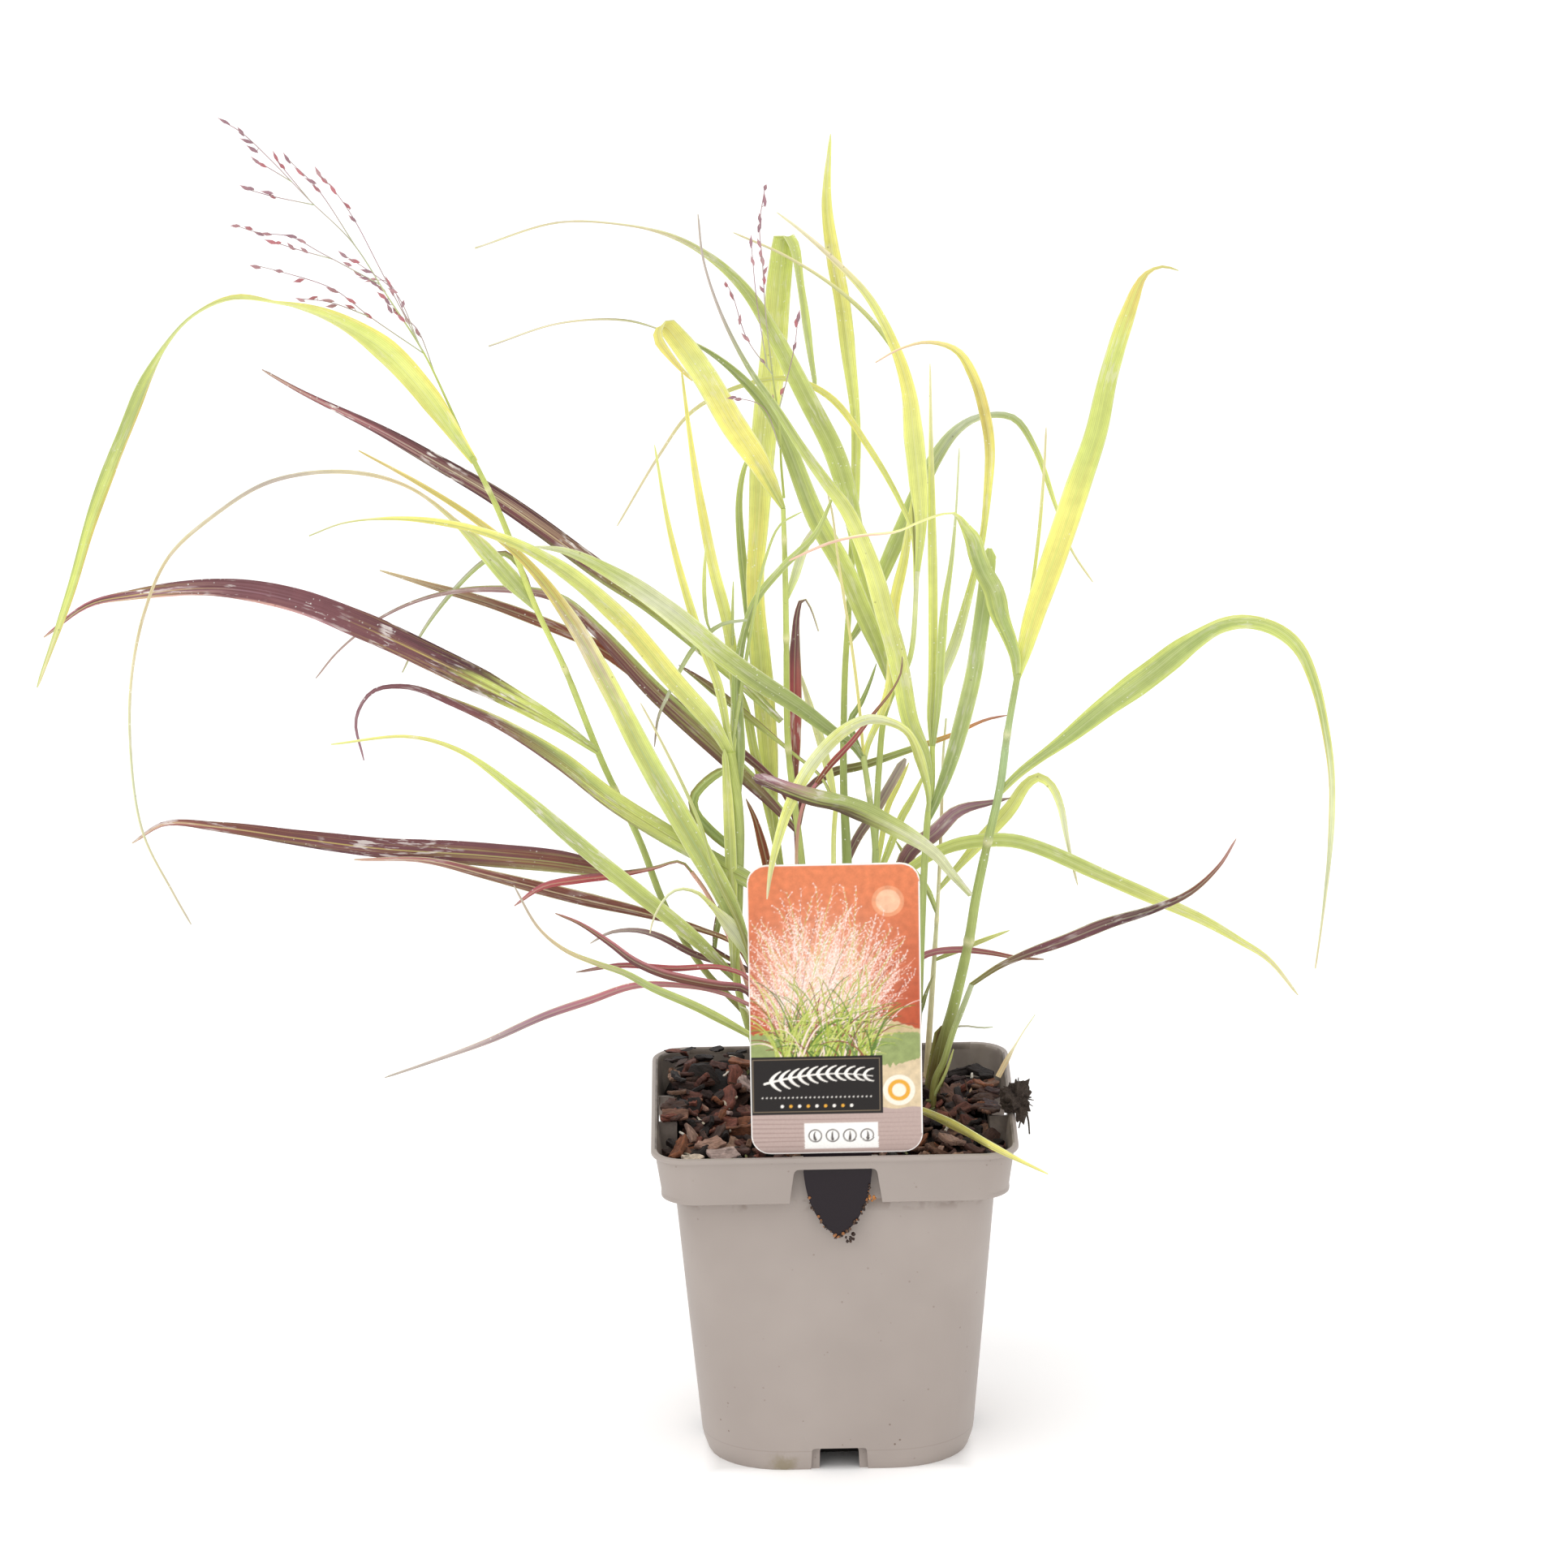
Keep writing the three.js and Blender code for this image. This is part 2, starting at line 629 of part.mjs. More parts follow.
    name: 'red_leaf_shoot_left',
    colour: COLOURS.red,
    stem: {
      route: [[-16, 139], [-33, 200], [-47, 243], [-58, 266], [-64, 275]],
      depth: [13, 9.5, 5.4, 5, 4],
      width: [2.2, 2.2, 2.4, 2],
    },
    leaves: [
      {
        route: [[-62, 272], [-69, 280], [-82, 277], [-100, 274], [-118, 272], [-134, 269],
          [-147, 260]],
        depth: [4, 2, -3, -7, -9],
        width: [1.4, 1.4, 2.4, 4, 4.4, 3, 0.9],
      },
    ],
  },
  {
    name: 'purple_shoot_left_front',
    colour: COLOURS.purple,
    stem: {
      route: [[-14, 139], [-24, 175], [-33, 209]],
      depth: [-2, -9, -14],
      width: [2.8, 2.6, 2.6],
    },
    leaves: [
      { // dark upper leaf with a red tip
        route: [[-32, 207], [-40, 217], [-52, 219], [-66, 222], [-80, 226], [-92, 232], [-103, 241],
          [-117, 251], [-128, 256]],
        depth: [-14, -14, -13, -11, -10],
        width: [2.6, 4.6, 4.6, 4, 2.6, 0.9],
      },
      { // thin leaf above it
        route: [[-32, 207], [-38, 222], [-51, 228], [-74, 228], [-98, 230], [-119, 227]],
        depth: [-14, -9, -6, -5],
        width: [2, 2, 2.6, 3, 2.4, 0.9],
      },
      { // low leaf with a dry tip
        route: [[-32, 207], [-50, 215], [-66, 219], [-91, 220], [-113, 213], [-134, 206],
          [-161, 194], [-189, 184], [-210, 177]],
        depth: [-14, -8, -3, -4, -8, -12],
        width: [2, 2.2, 3.4, 4, 3.4, 1.8, 0.9],
      },
    ],
  },
  {
    name: 'purple_shoot_left_back',
    colour: COLOURS.purple,
    stem: {
      route: [[-12, 140], [-26, 190], [-37, 228]],
      depth: [21, 14, 10],
      width: [2.8, 2.6, 2.4],
    },
    leaves: [
      { // big dark leaf to the far left
        route: [[-36, 226], [-62, 242], [-88, 263], [-102, 275], [-121, 280], [-161, 285],
          [-207, 289], [-247, 295], [-283, 301], [-309, 303], [-324, 294]],
        depth: [10, 8, 4, -4, -14, -20],
        width: [2, 2.4, 6, 11, 12, 11, 9, 7, 4, 1],
      },
      { // dark red leaf below it
        route: [[-36, 226], [-44, 239], [-61, 247], [-89, 256], [-116, 263], [-158, 275],
          [-188, 283], [-221, 284]],
        depth: [10, 9, 4, -2, -8],
        width: [2, 2.6, 4.4, 7, 6.4, 4.6, 2.6, 0.9],
      },
      { // short grey-purple leaf
        route: [[-36, 225], [-51, 230], [-64, 235], [-80, 244], [-91, 247], [-103, 246], [-112, 241]],
        depth: [10, 8, 5, 2],
        width: [1.8, 2.6, 3.4, 3.2, 2, 0.9],
      },
    ],
  },
  {
    name: 'thread_leaf',
    colour: COLOURS.green,
    stem: {
      route: [[-3, 139], [-18, 170], [-30, 190]],
      depth: [-6, -14, -18],
      width: [2, 2, 2],
    },
    leaves: [
      {
        route: [[-28, 187], [-40, 198], [-64, 210], [-80, 219], [-96, 226], [-109, 231],
          [-124, 238], [-136, 249], [-147, 270]],
        depth: [-18, -20, -22, -24],
        width: [1.8, 3.6, 3.2, 2.2, 1.3, 0.9],
      },
    ],
  },
  {
    name: 'centre_flowering_stem',
    colour: COLOURS.green,
    stem: {
      route: [[-3, 139], [-8, 220], [-12.4, 278], [-15.5, 308], [-18, 335], [-18, 387], [-18, 418],
        [-18.4, 449]],
      depth: [16, 15, 13, 11, 9],
      width: [3.6, 3.4, 3, 2.8, 2.6, 2.2],
    },
    leaves: [
      { // broad yellow leaf, folded over at the top
        route: [[-18, 447], [-29, 470], [-41, 489], [-53, 511], [-65, 529], [-72, 536.5], [-74, 531],
          [-68, 521], [-59, 510]],
        depth: [8, 5, 1, -3, -6, -8, -11, -16, -18],
        width: [2.4, 8, 11, 12, 12, 11, 10, 9, 8],
        segment: 11,
      },
      { // small pale leaf
        route: [[-17.6, 404], [-14, 415], [-9, 430], [-2, 443]],
        depth: [10, 19, 25],
        width: [2, 4.4, 4.4, 1],
      },
    ],
  },
  {
    name: 'folded_leaf_shoot',
    colour: COLOURS.yellowGreen,
    stem: {
      route: [[-8, 141], [-15, 220], [-22, 272]],
      depth: [34, 33, 31],
      width: [3.2, 3, 3],
    },
    leaves: [
      { // tall broad leaf, folded over at the top
        route: [[-21.5, 268], [-25.5, 300], [-27, 330], [-30, 376], [-32, 414], [-30, 440],
          [-28, 480], [-24, 520], [-19, 560], [-16, 577], [-12, 572], [-9, 550], [-5, 520], [-3, 505]],
        depth: [31, 30, 29, 28, 28, 28, 27, 27, 25, 21, 20, 20],
        width: [3, 5, 9, 10.5, 8, 7, 8.5, 9.5, 9.5, 9, 8, 7, 5],
        segment: 14,
      },
      { // lower leaf beside it
        route: [[-21.5, 266], [-26, 293], [-31, 321], [-34, 334], [-37, 352], [-43, 372]],
        depth: [31, 25, 23, 24, 24],
        width: [2, 2.4, 4.4, 4.2, 1],
      },
      { // curved olive leaf at the back
        route: [[-29, 372], [-35, 400], [-38, 430], [-38.5, 455], [-35, 471], [-28, 482], [-21, 485]],
        depth: [28, 36, 38, 37],
        width: [2, 4, 5, 5, 3.4, 1],
      },
    ],
  },
  {
    name: 'tall_leaf_shoot',
    colour: COLOURS.green,
    stem: {
      route: [[5, 140], [8, 220], [8.5, 278], [7.5, 316], [8, 346], [9, 372], [11, 398]],
      depth: [25, 24, 25, 27],
      width: [3.4, 5, 5.4, 5, 3.6, 3, 2.8],
    },
    leaves: [
      { // the tallest leaf
        route: [[10.5, 392], [12.5, 420], [15, 460], [15.5, 490], [13, 518], [10, 547], [6.5, 567],
          [3.8, 592], [6, 624]],
        depth: [27, 30, 29, 26, 22],
        width: [2.6, 3.4, 4.6, 3.6, 5.6, 5, 2.4, 0.9],
      },
      { // green leaf arching right, far at the back
        route: [[9.5, 382], [16, 392], [27, 417], [39, 444], [52, 472], [62, 485], [73, 491],
          [88, 490], [98, 475], [107, 448], [114, 427], [124, 411]],
        depth: [27, 33, 34, 33, 28, 22],
        width: [2, 6, 7.6, 8, 6.6, 4.6, 3.6, 2.4, 1.2, 0.9],
        turn: [0, 0, 0, 30, 70, 50, 20, 0],
      },
    ],
  },
  {
    name: 'inner_leafy_stem',
    colour: COLOURS.green,
    stem: {
      route: [[14, 139], [20, 220], [22, 280], [20, 305], [16.8, 330]],
      depth: [20, 18, 15, 12],
      width: [3.2, 3, 2.8, 2.7],
    },
    leaves: [
      { // long dark leaf crossing to the left
        route: [[17, 328], [12, 335], [3, 341], [-12, 353], [-31, 366], [-50, 381], [-71, 400],
          [-94, 417], [-118, 430], [-133, 433]],
        depth: [12, 4, -5, -12, -16, -18, -19, -19],
        width: [2.6, 6.4, 8.6, 9.6, 10, 10, 8.4, 5.6, 1],
      },
      { // yellow leaf going up
        route: [[17, 328], [19, 335], [25, 349], [30, 365], [32, 401], [37, 424], [40, 443], [42, 458]],
        depth: [12, 12, 16, 25, 29],
        width: [2.4, 3.6, 5, 5.4, 5, 3.4, 0.9],
      },
      { // thread leaf
        route: [[17, 328], [15, 357], [12, 384], [7, 420], [4, 447], [2, 456]],
        depth: [12, 10, 9.5, 9.5],
        width: [1.4, 1.4, 1.3, 0.9],
      },
      { // short dark leaf behind
        route: [[17, 327], [11, 346], [16, 355], [20, 364], [23.5, 374]],
        depth: [12, 20, 21, 20],
        width: [2, 3.4, 2.2, 0.9],
      },
    ],
  },
  {
    name: 'broad_leaf_stem',
    colour: COLOURS.green,
    stem: {
      route: [[12, 140], [19, 230], [21.5, 280], [24, 323], [27, 349], [32, 362], [39, 376], [43, 418]],
      depth: [30, 28, 26, 23, 20, 18],
      width: [3.4, 3, 2.8, 2.7, 2.6, 2.2],
    },
    leaves: [
      { // broad leaf arching left
        route: [[31, 360], [24, 383], [18, 398], [9, 420], [-3, 443], [-20, 488], [-34, 508],
          [-51, 523], [-70, 533], [-90, 539], [-120, 538], [-152, 528]],
        depth: [20, 15, 12, 10, 4, -4, -12],
        width: [2.6, 8.6, 9.4, 9.4, 9.6, 9.6, 8, 6, 4, 1],
        turn: [0, 0, 0, 0, 0, 0, 55, 68, 60, 40],
      },
      { // longer leaf arching above it
        route: [[33, 363], [28, 382], [23, 396], [18, 420], [11, 456], [5, 476], [-6, 499],
          [-20, 528], [-34, 552], [-49, 567], [-68, 578], [-92, 584], [-120, 585], [-157, 574]],
        depth: [20, 25, 17, 8, 0, -8, -14, -20],
        width: [2.6, 5, 7, 9.6, 9.6, 9.4, 8, 5.6, 3.6, 2, 1],
        turn: [0, 0, 0, 0, 0, 0, 0, 40, 62, 50],
      },
      { // top leaf, leaning back to the left
        route: [[43, 414], [45, 440], [44, 460], [42, 483], [40, 503], [34, 524], [22, 548],
          [7, 565], [-9, 580], [-19, 588]],
        depth: [18, 17, 15, 12, 8],
        width: [2.2, 5, 9, 10.2, 7.6, 6.2, 5, 4, 2.6, 0.9],
      },
      { // narrow arch far to the left
        route: [[42, 405], [41, 436], [35, 452], [22, 476], [4, 501], [-15, 510], [-37, 507],
          [-60, 495], [-75, 475], [-95, 442]],
        depth: [18, 22, 18, 14, 10, 6],
        width: [1.8, 2.2, 3, 3.4, 2.6, 2, 1.4, 0.9],
      },
      { // thin upper arch
        route: [[43, 416], [42, 440], [41, 480], [38, 512], [28, 531], [9, 551], [-16, 568], [-39, 579]],
        depth: [18, 21, 20, 16, 12],
        width: [1.8, 1.8, 2, 2.4, 1.6, 0.9],
      },
      { // long low leaf to the right
        route: [[19.5, 250], [27, 265], [37, 274], [50, 282], [61, 286], [74, 287.5], [86, 287],
          [99, 283], [124, 271], [149, 259], [174, 247], [192, 236], [205, 227], [219, 209]],
        depth: [28, 26, 27, 26, 20, 10, 2, -4],
        width: [2, 4.4, 6.6, 6.8, 7, 6.6, 5, 3, 1],
      },
      { // short bright leaf going up and right
        route: [[21, 268], [27, 281], [34, 299], [39, 308], [46, 322]],
        depth: [27, 30, 31, 30],
        width: [2, 3.8, 3.8, 1],
      },
      { // short yellow leaf beside it
        route: [[21, 266], [24.5, 287], [28, 305], [33, 315], [38, 326]],
        depth: [27, 31, 33, 34],
        width: [1.8, 2.6, 2.8, 1],
      },
    ],
  },
  {
    name: 'right_leafy_stem',
    colour: COLOURS.yellowGreen,
    stem: {
      route: [[33, 139], [39, 175], [41, 203], [42.5, 235], [44.5, 274], [46.5, 300], [48.5, 314],
        [49, 334]],
      depth: [14, 15, 17, 18],
      width: [3.8, 3.4, 3.4, 3.4, 3.2, 2.4],
    },
    leaves: [
      { // broad leaf arching over to the left
        route: [[48.3, 310], [45, 330], [39, 345], [35, 367], [32, 382], [28, 397], [22, 420],
          [11, 447], [2, 460], [-10, 478], [-20, 495], [-34, 517], [-46, 543], [-53, 567], [-55, 588]],
        depth: [17, 11, 7, 4, 0, -6, -12, -16],
        width: [2.6, 8, 9.4, 9.4, 8.6, 7, 5.4, 4.6, 3.4, 1],
      },
      { // pale leaf that arches forward over the label
        route: [[46.3, 297], [44, 308], [41, 321], [37, 336], [29, 344], [19.5, 347], [8.5, 340],
          [0, 332], [-10, 320], [-18, 305], [-23, 292], [-27, 278], [-29, 261]],
        depth: [18, 12, 2, -10, -24, -42, -62, -82, -92],
        width: [2, 3, 4.4, 3.6, 3.2, 4, 4.4, 3.4, 2.2, 0.9],
        turn: [0, 20, 40, 0, 0],
      },
      { // dark leaf with a folded stub
        route: [[46.6, 298], [50, 306], [57.5, 326], [65, 353], [68.5, 368], [71, 384], [74.5, 409],
          [76.5, 428]],
        depth: [17, 12, 9, 7],
        width: [3, 6, 7.6, 7.8, 7.6, 7.4, 6.8],
      },
      { // upright leaf
        route: [[48.8, 331], [48, 348], [49, 363], [50, 397], [50, 446], [50, 490], [50, 516]],
        depth: [18, 20, 22],
        width: [2, 3.4, 4.4, 4.4, 3.4, 1.8, 0.9],
      },
      { // second upright leaf, in front
        route: [[49, 332], [52, 356], [55, 397], [59, 424], [61, 444], [63, 476]],
        depth: [17.5, 14, 12],
        width: [2, 3.6, 4.4, 2.4, 1, 0.9],
      },
      { // arching leaf with an orange back
        route: [[49.5, 332], [50, 356], [60, 383], [68, 411], [73, 432], [76, 457], [77, 475],
          [75, 491], [70, 509], [62, 522], [49, 526], [36, 523], [25, 517]],
        depth: [18.5, 24, 24, 20, 12, 6],
        width: [2, 5, 5.2, 3.4, 3, 4.6, 5.4, 5, 2, 0.9],
      },
      { // small dark leaf low down
        route: [[41, 200], [43.5, 210], [46, 217], [48, 222]],
        depth: [14.5, 9, 7],
        width: [2, 2.6, 1.6, 0.9],
      },
    ],
  },
  {
    name: 'right_tall_stem',
    colour: COLOURS.green,
    stem: {
      route: [[44, 140], [50, 180], [56.5, 203], [60, 217], [65, 239], [68.5, 260], [74.5, 288],
        [80, 312], [84, 340], [89, 368]],
      depth: [37, 28, 21, 16, 12, 9],
      width: [5, 4.6, 4.2, 3.8, 3.5, 3.2, 3],
    },
    leaves: [
      { // loose sheath round the foot of the stem, cut off square
        route: [[47.5, 167], [50.5, 184], [52.5, 197]],
        depth: [31, 26],
        width: [9, 8.4, 7],
      },
      { // dry thread on the sheath
        route: [[53, 194], [60, 197.5], [68, 197], [76, 197]],
        depth: [27, 22, 20],
        width: [1, 0.9],
      },
      { // big arch to the right
        route: [[80, 310], [89.6, 320], [111, 336], [131, 352], [151, 368], [169, 385], [184, 396],
          [200, 397], [214, 390], [224, 372], [231, 345], [234, 315], [232, 282], [229, 249],
          [227, 225]],
        depth: [13, 9, 2, -10, -24, -36, -44],
        width: [3, 5, 9, 12, 11.4, 8, 7, 5, 4, 3.8, 3.4, 1.6, 0.9],
        turn: [0, 0, 5, 15, 60, 70, 45, 20, 10, 0, 0],
      },
      { // broad yellow leaf, upright
        route: [[89, 366], [97, 396], [107, 425], [117, 455], [126, 482], [132, 509], [141, 538],
          [149, 556], [157, 559.5], [164, 557.5]],
        depth: [9, 10, 14, 18],
        width: [3, 9.4, 11.8, 11, 9.4, 7.8, 5, 1.6, 0.9],
      },
      { // wavy leaf crossing to the left
        route: [[89, 366], [81, 393], [77, 416], [72, 428], [66, 441], [60, 446], [51, 445],
          [43, 441], [33, 436.5], [17, 435], [3, 432], [-16, 424]],
        depth: [9, -2, -12, -20, -26, -30],
        width: [3, 8, 9, 8.6, 5, 4.6, 4.6, 3, 0.9],
        turn: [0, 0, 0, -20, 60, 30, 0, 0],
      },
      { // thin upright leaf
        route: [[89, 366], [94, 396], [99, 432], [102, 466], [103, 485]],
        depth: [9, 15, 22],
        width: [1.4, 1.7, 1.6, 0.9],
      },
    ],
  },
  {
    name: 'thin_back_stem',
    colour: COLOURS.paleGreen,
    stem: {
      route: [[42, 141], [44, 168], [46, 195], [49, 235], [51, 264], [52.5, 292], [54, 330], [55.5, 347]],
      depth: [50, 46, 42, 39, 37],
      width: [4, 2.8, 2.4, 2, 1.7, 1.5, 0.9],
    },
    leaves: [
      { // leaf that arches up and falls to the right
        route: [[51, 263], [56, 270], [70, 286], [85, 303], [92, 314], [98, 318], [104, 314],
          [108, 305], [111, 289], [113, 278], [116, 265]],
        depth: [40, 41, 38, 34, 30],
        width: [2, 3.6, 6.4, 7, 5.4, 4, 3.2, 1.6, 0.9],
        turn: [0, 0, 0, 50, 30, 0],
      },
      { // low leaf to the right
        route: [[48.8, 228], [57, 233], [72, 239], [84, 243.5]],
        depth: [41, 41, 40],
        width: [1.6, 2.8, 2.4, 0.9],
      },
      { // leaf going back to the left
        route: [[50.5, 252], [46, 264], [40, 273], [35, 282], [31, 289]],
        depth: [39, 38, 37],
        width: [1.8, 3, 2.4, 0.9],
      },
    ],
  },
  {
    name: 'right_side_shoot',
    colour: COLOURS.deepGreen,
    stem: {
      route: [[46, 138], [49, 168], [55.5, 188], [62.5, 207], [66.3, 218.5]],
      depth: [20, 17, 15, 13],
      width: [3.4, 3, 2.6, 2.4],
    },
    leaves: [
      {
        route: [[49, 166], [52, 174], [54, 181], [56, 190]],
        depth: [17, 13, 11],
        width: [2, 1.6, 0.9],
      },
    ],
  },
  {
    name: 'red_curved_shoot',
    colour: COLOURS.red,
    stem: {
      route: [[2, 138], [-9, 220], [-15, 278], [-13, 301], [-10, 310], [-5, 317]],
      depth: [5, 5, 3, 1],
      width: [1.8, 1.7, 1.6, 1.6],
    },
    leaves: [
      {
        route: [[-6, 316], [1, 325], [12, 337], [22, 350], [31, 361.5], [35, 370], [35.5, 377]],
        depth: [1, -2, -3, -1, 0],
        width: [2, 3.2, 2.6, 1.6, 1, 0.9],
      },
    ],
  },
  {
    name: 'purple_shoot_centre',
    colour: COLOURS.purple,
    stem: {
      route: [[-3, 140], [-9, 220], [-14, 275], [-15, 300]],
      depth: [26, 26, 24, 22],
      width: [2.8, 2.6, 2.6, 2.4],
    },
    leaves: [
      { // upright red leaf hooked at the top
        route: [[-15, 297], [-15.5, 322], [-15, 350], [-14, 383], [-12.5, 400], [-10, 406],
          [-7, 402], [-3, 390]],
        depth: [22, 23, 22, 20, 18],
        width: [1.6, 2.2, 4.8, 5.4, 5, 3, 1.6, 0.9],
      },
      { // long leaf to the left, dark on top
        route: [[-15, 293], [-28, 310], [-52, 335], [-80, 363], [-106, 393], [-123, 408],
          [-150, 413], [-178, 411], [-204, 401], [-225, 385], [-236, 372]],
        depth: [22, 10, 9, 7, 6, 6, 6],
        width: [2.6, 7.4, 9, 9, 7, 5, 4, 3, 1.6, 0.9],
      },
      { // second one behind it
        route: [[-15, 296], [-20, 312], [-37, 330], [-57, 345], [-83, 367], [-106, 385], [-127, 395],
          [-151, 405], [-187, 417], [-205, 423]],
        depth: [22, 20, 17, 15, 14, 12],
        width: [2, 4, 5.4, 6, 6, 5.6, 4, 0.9],
      },
      { // short red-brown leaf
        route: [[-11.5, 246], [-25, 262], [-30, 284], [-34, 300], [-38, 310]],
        depth: [25, 17, 14, 13],
        width: [2, 4, 4.6, 1],
      },
      { // dark leaf to the right, cut short
        route: [[-10, 232], [2, 262], [13, 289], [21, 301], [28, 313], [36.5, 328]],
        depth: [26, 34, 39, 41],
        width: [2, 2.6, 4, 5, 4.4],
      },
      { // long thin brown leaf to the right
        route: [[-14.7, 292], [-10, 312], [1, 321.5], [16, 325], [36, 331.5], [58, 339], [74, 346],
          [84, 348]],
        depth: [22, 31, 34, 33, 31],
        width: [2, 4.2, 4.4, 3.6, 3, 1.8, 0.9],
      },
    ],
  },
  {
    name: 'pale_leaf_shoot',
    colour: COLOURS.paleGreen,
    stem: {
      route: [[6, 139], [3, 230], [2.5, 290], [4, 308]],
      depth: [12, 14, 16.5],
      width: [2.6, 2.6, 2.4, 2.2],
    },
    leaves: [
      { // pale upright leaf
        route: [[3.8, 304], [1, 321], [-3, 338], [-7, 352], [-12, 371]],
        depth: [16.5, 25, 31, 32],
        width: [2, 4, 4.4, 3.4, 0.9],
      },
      { // narrow leaf to the left with a dry tip
        route: [[3.8, 304], [-3, 320], [-14, 330], [-31, 345], [-45, 357], [-61, 370], [-68, 375]],
        depth: [16.5, 17.5, 17, 16],
        width: [1.4, 1.5, 2, 3.6, 4.4, 0.9],
      },
    ],
  },
  {
    name: 'purple_shoot_right',
    colour: COLOURS.purple,
    stem: {
      route: [[25, 140], [29, 200], [30, 252]],
      depth: [38, 35, 33],
      width: [2.8, 2.6, 2.4],
    },
    leaves: [
      { // broad purple leaf to the right
        route: [[30, 248], [33, 272], [39, 284], [49, 291], [59, 301], [66, 304], [74, 305.5],
          [85, 308]],
        depth: [33, 33, 32, 30],
        width: [2.4, 5, 7.4, 8.4, 7, 3.8, 0.9],
      },
      { // narrow one with a red tip
        route: [[28.7, 195], [34, 222], [44, 232], [58, 234.5], [73, 233], [88, 230], [100, 229]],
        depth: [35, 34, 32, 31],
        width: [2, 2.4, 3.4, 3.4, 2.4, 0.9],
      },
    ],
  },
  {
    name: 'low_leaf_over_rim',
    colour: COLOURS.yellowGreen,
    stem: {
      route: [[25, 140], [30, 156], [36, 160]],
      depth: [6, 3, 0],
      width: [3, 2.8, 2.4],
      segment: 6,
    },
    leaves: [
      {
        route: [[34, 160], [47, 153], [61, 145.4], [74, 137.6], [87.5, 130], [101, 123]],
        depth: [0, -28, -57, -85, -104, -114],
        width: [3, 5.2, 6, 5.6, 3.6, 0.9],
      },
    ],
  },
];

// Coloured leaves that grow on a stem of another colour. Each clasps its stem at a node.
const CLASPING_LEAVES = [
  {
    name: 'left_purple_leaf',
    colour: COLOURS.purple,
    route: [[-106.5, 334], [-124, 347], [-152, 364], [-185, 382], [-215, 397], [-244, 409],
      [-280, 416], [-322, 413], [-340, 409], [-361, 394]],
    depth: [-1, -4, -8, -13, -17, -20],
    width: [3, 8, 12, 13, 13, 12, 10, 7, 3.4, 1],
  },
  {
    name: 'centre_purple_leaf',
    colour: COLOURS.purple,
    route: [[-21, 347], [-45, 372], [-79, 403], [-100, 418], [-129, 441], [-152, 458], [-176, 473],
      [-202, 489], [-238, 508], [-256, 519]],
    depth: [13, 12, 11, 9, 5, 0],
    width: [3, 7, 8.6, 9, 9, 8, 6, 3, 1],
  },
  {
    name: 'purple_edged_leaf',
    colour: COLOURS.brown,
    route: [[66, 261], [57, 272], [50, 281], [38, 290], [23, 298.6], [8, 305.7], [-5, 309],
      [-21, 315], [-34, 320.5]],
    depth: [15, 0, -16, -32, -48, -60, -70],
    width: [2.6, 4.2, 5.4, 7, 8.6, 8.4, 6.4, 4.8],
  },
  {
    name: 'right_purple_leaf',
    colour: COLOURS.purple,
    route: [[68, 221], [79, 226], [90, 231], [110, 238], [130, 246], [150, 252], [168, 260],
      [182, 273], [190, 286]],
    depth: [11, 4, -4, -12, -20],
    width: [2.2, 3.2, 5.6, 6.4, 4.6, 3.4, 2, 0.9],
  },
];

// The flower heads: a main axis that carries on from its stem, with branches that start on it.
// Spikelets hang at the listed points of each branch.
const PANICLES = [
  {
    name: 'left_flower_head',
    axis: {
      route: [[-161.8, 478], [-171, 501], [-182, 526], [-198, 553], [-213, 578], [-232, 598],
        [-249, 617], [-262, 630], [-270, 635]],
      depth: [-4, -8, -10, -12],
    },
    branches: [
      {
        route: [[-182, 524], [-200, 564], [-212, 589], [-221, 603], [-228, 611]],
        depth: [-9, -14],
        seeds: 5,
      },
      { route: [[-212, 576], [-228, 603], [-241, 617]], depth: [-11, -3], seeds: 3 },
      { route: [[-240, 606], [-253, 615], [-257, 617]], depth: [-12, -16], seeds: 2 },
      { route: [[-228, 594], [-249, 600], [-262, 604]], depth: [-12, -18], seeds: 3 },
      {
        route: [[-201, 558], [-227, 573], [-241, 581], [-255, 583], [-267, 587]],
        depth: [-10, -18],
        seeds: 5,
      },
      { route: [[-221, 570], [-235, 574], [-250, 579]], depth: [-13, -6], seeds: 3 },
      { route: [[-181, 521], [-206, 543], [-222, 556], [-247, 565], [-258, 568]], depth: [-10, 6], seeds: 5 },
      { route: [[-208, 544], [-224, 550], [-238, 552]], depth: [-6, -4], seeds: 3 },
      { route: [[-183, 528], [-194, 554], [-208, 566], [-217, 572]], depth: [-10, -18], seeds: 5 },
    ],
  },
  {
    name: 'centre_flower_head',
    axis: {
      route: [[-18, 454], [-19, 470], [-19.5, 490], [-22, 510], [-25, 542], [-26, 566], [-27, 582],
        [-24, 601]],
      depth: [13, 3.5, -1, -7],
    },
    branches: [
      { route: [[-22, 508], [-34, 530], [-40, 550], [-43, 556]], depth: [-1, -9], seeds: 4 },
      { route: [[-20, 492], [-12, 525], [-10, 540]], depth: [4, -4], seeds: 3 },
      { route: [[-22, 510], [-29, 548], [-31, 575]], depth: [-1, -10], seeds: 4 },
      { route: [[-19, 472], [-28, 498], [-41, 502]], depth: [4, -10], seeds: 3 },
    ],
  },
];
const SPIKELET = { length: 5, width: 1.5, stalk: 0.8, axis: 1.5, twig: 0.8 };

function tillerSolid({ stem: culm, leaves }) {
  const curve = routeCurve(culm);
  return join([stem(culm), ...leaves.map((leaf) => blade(grownOn([curve], leaf)))]);
}

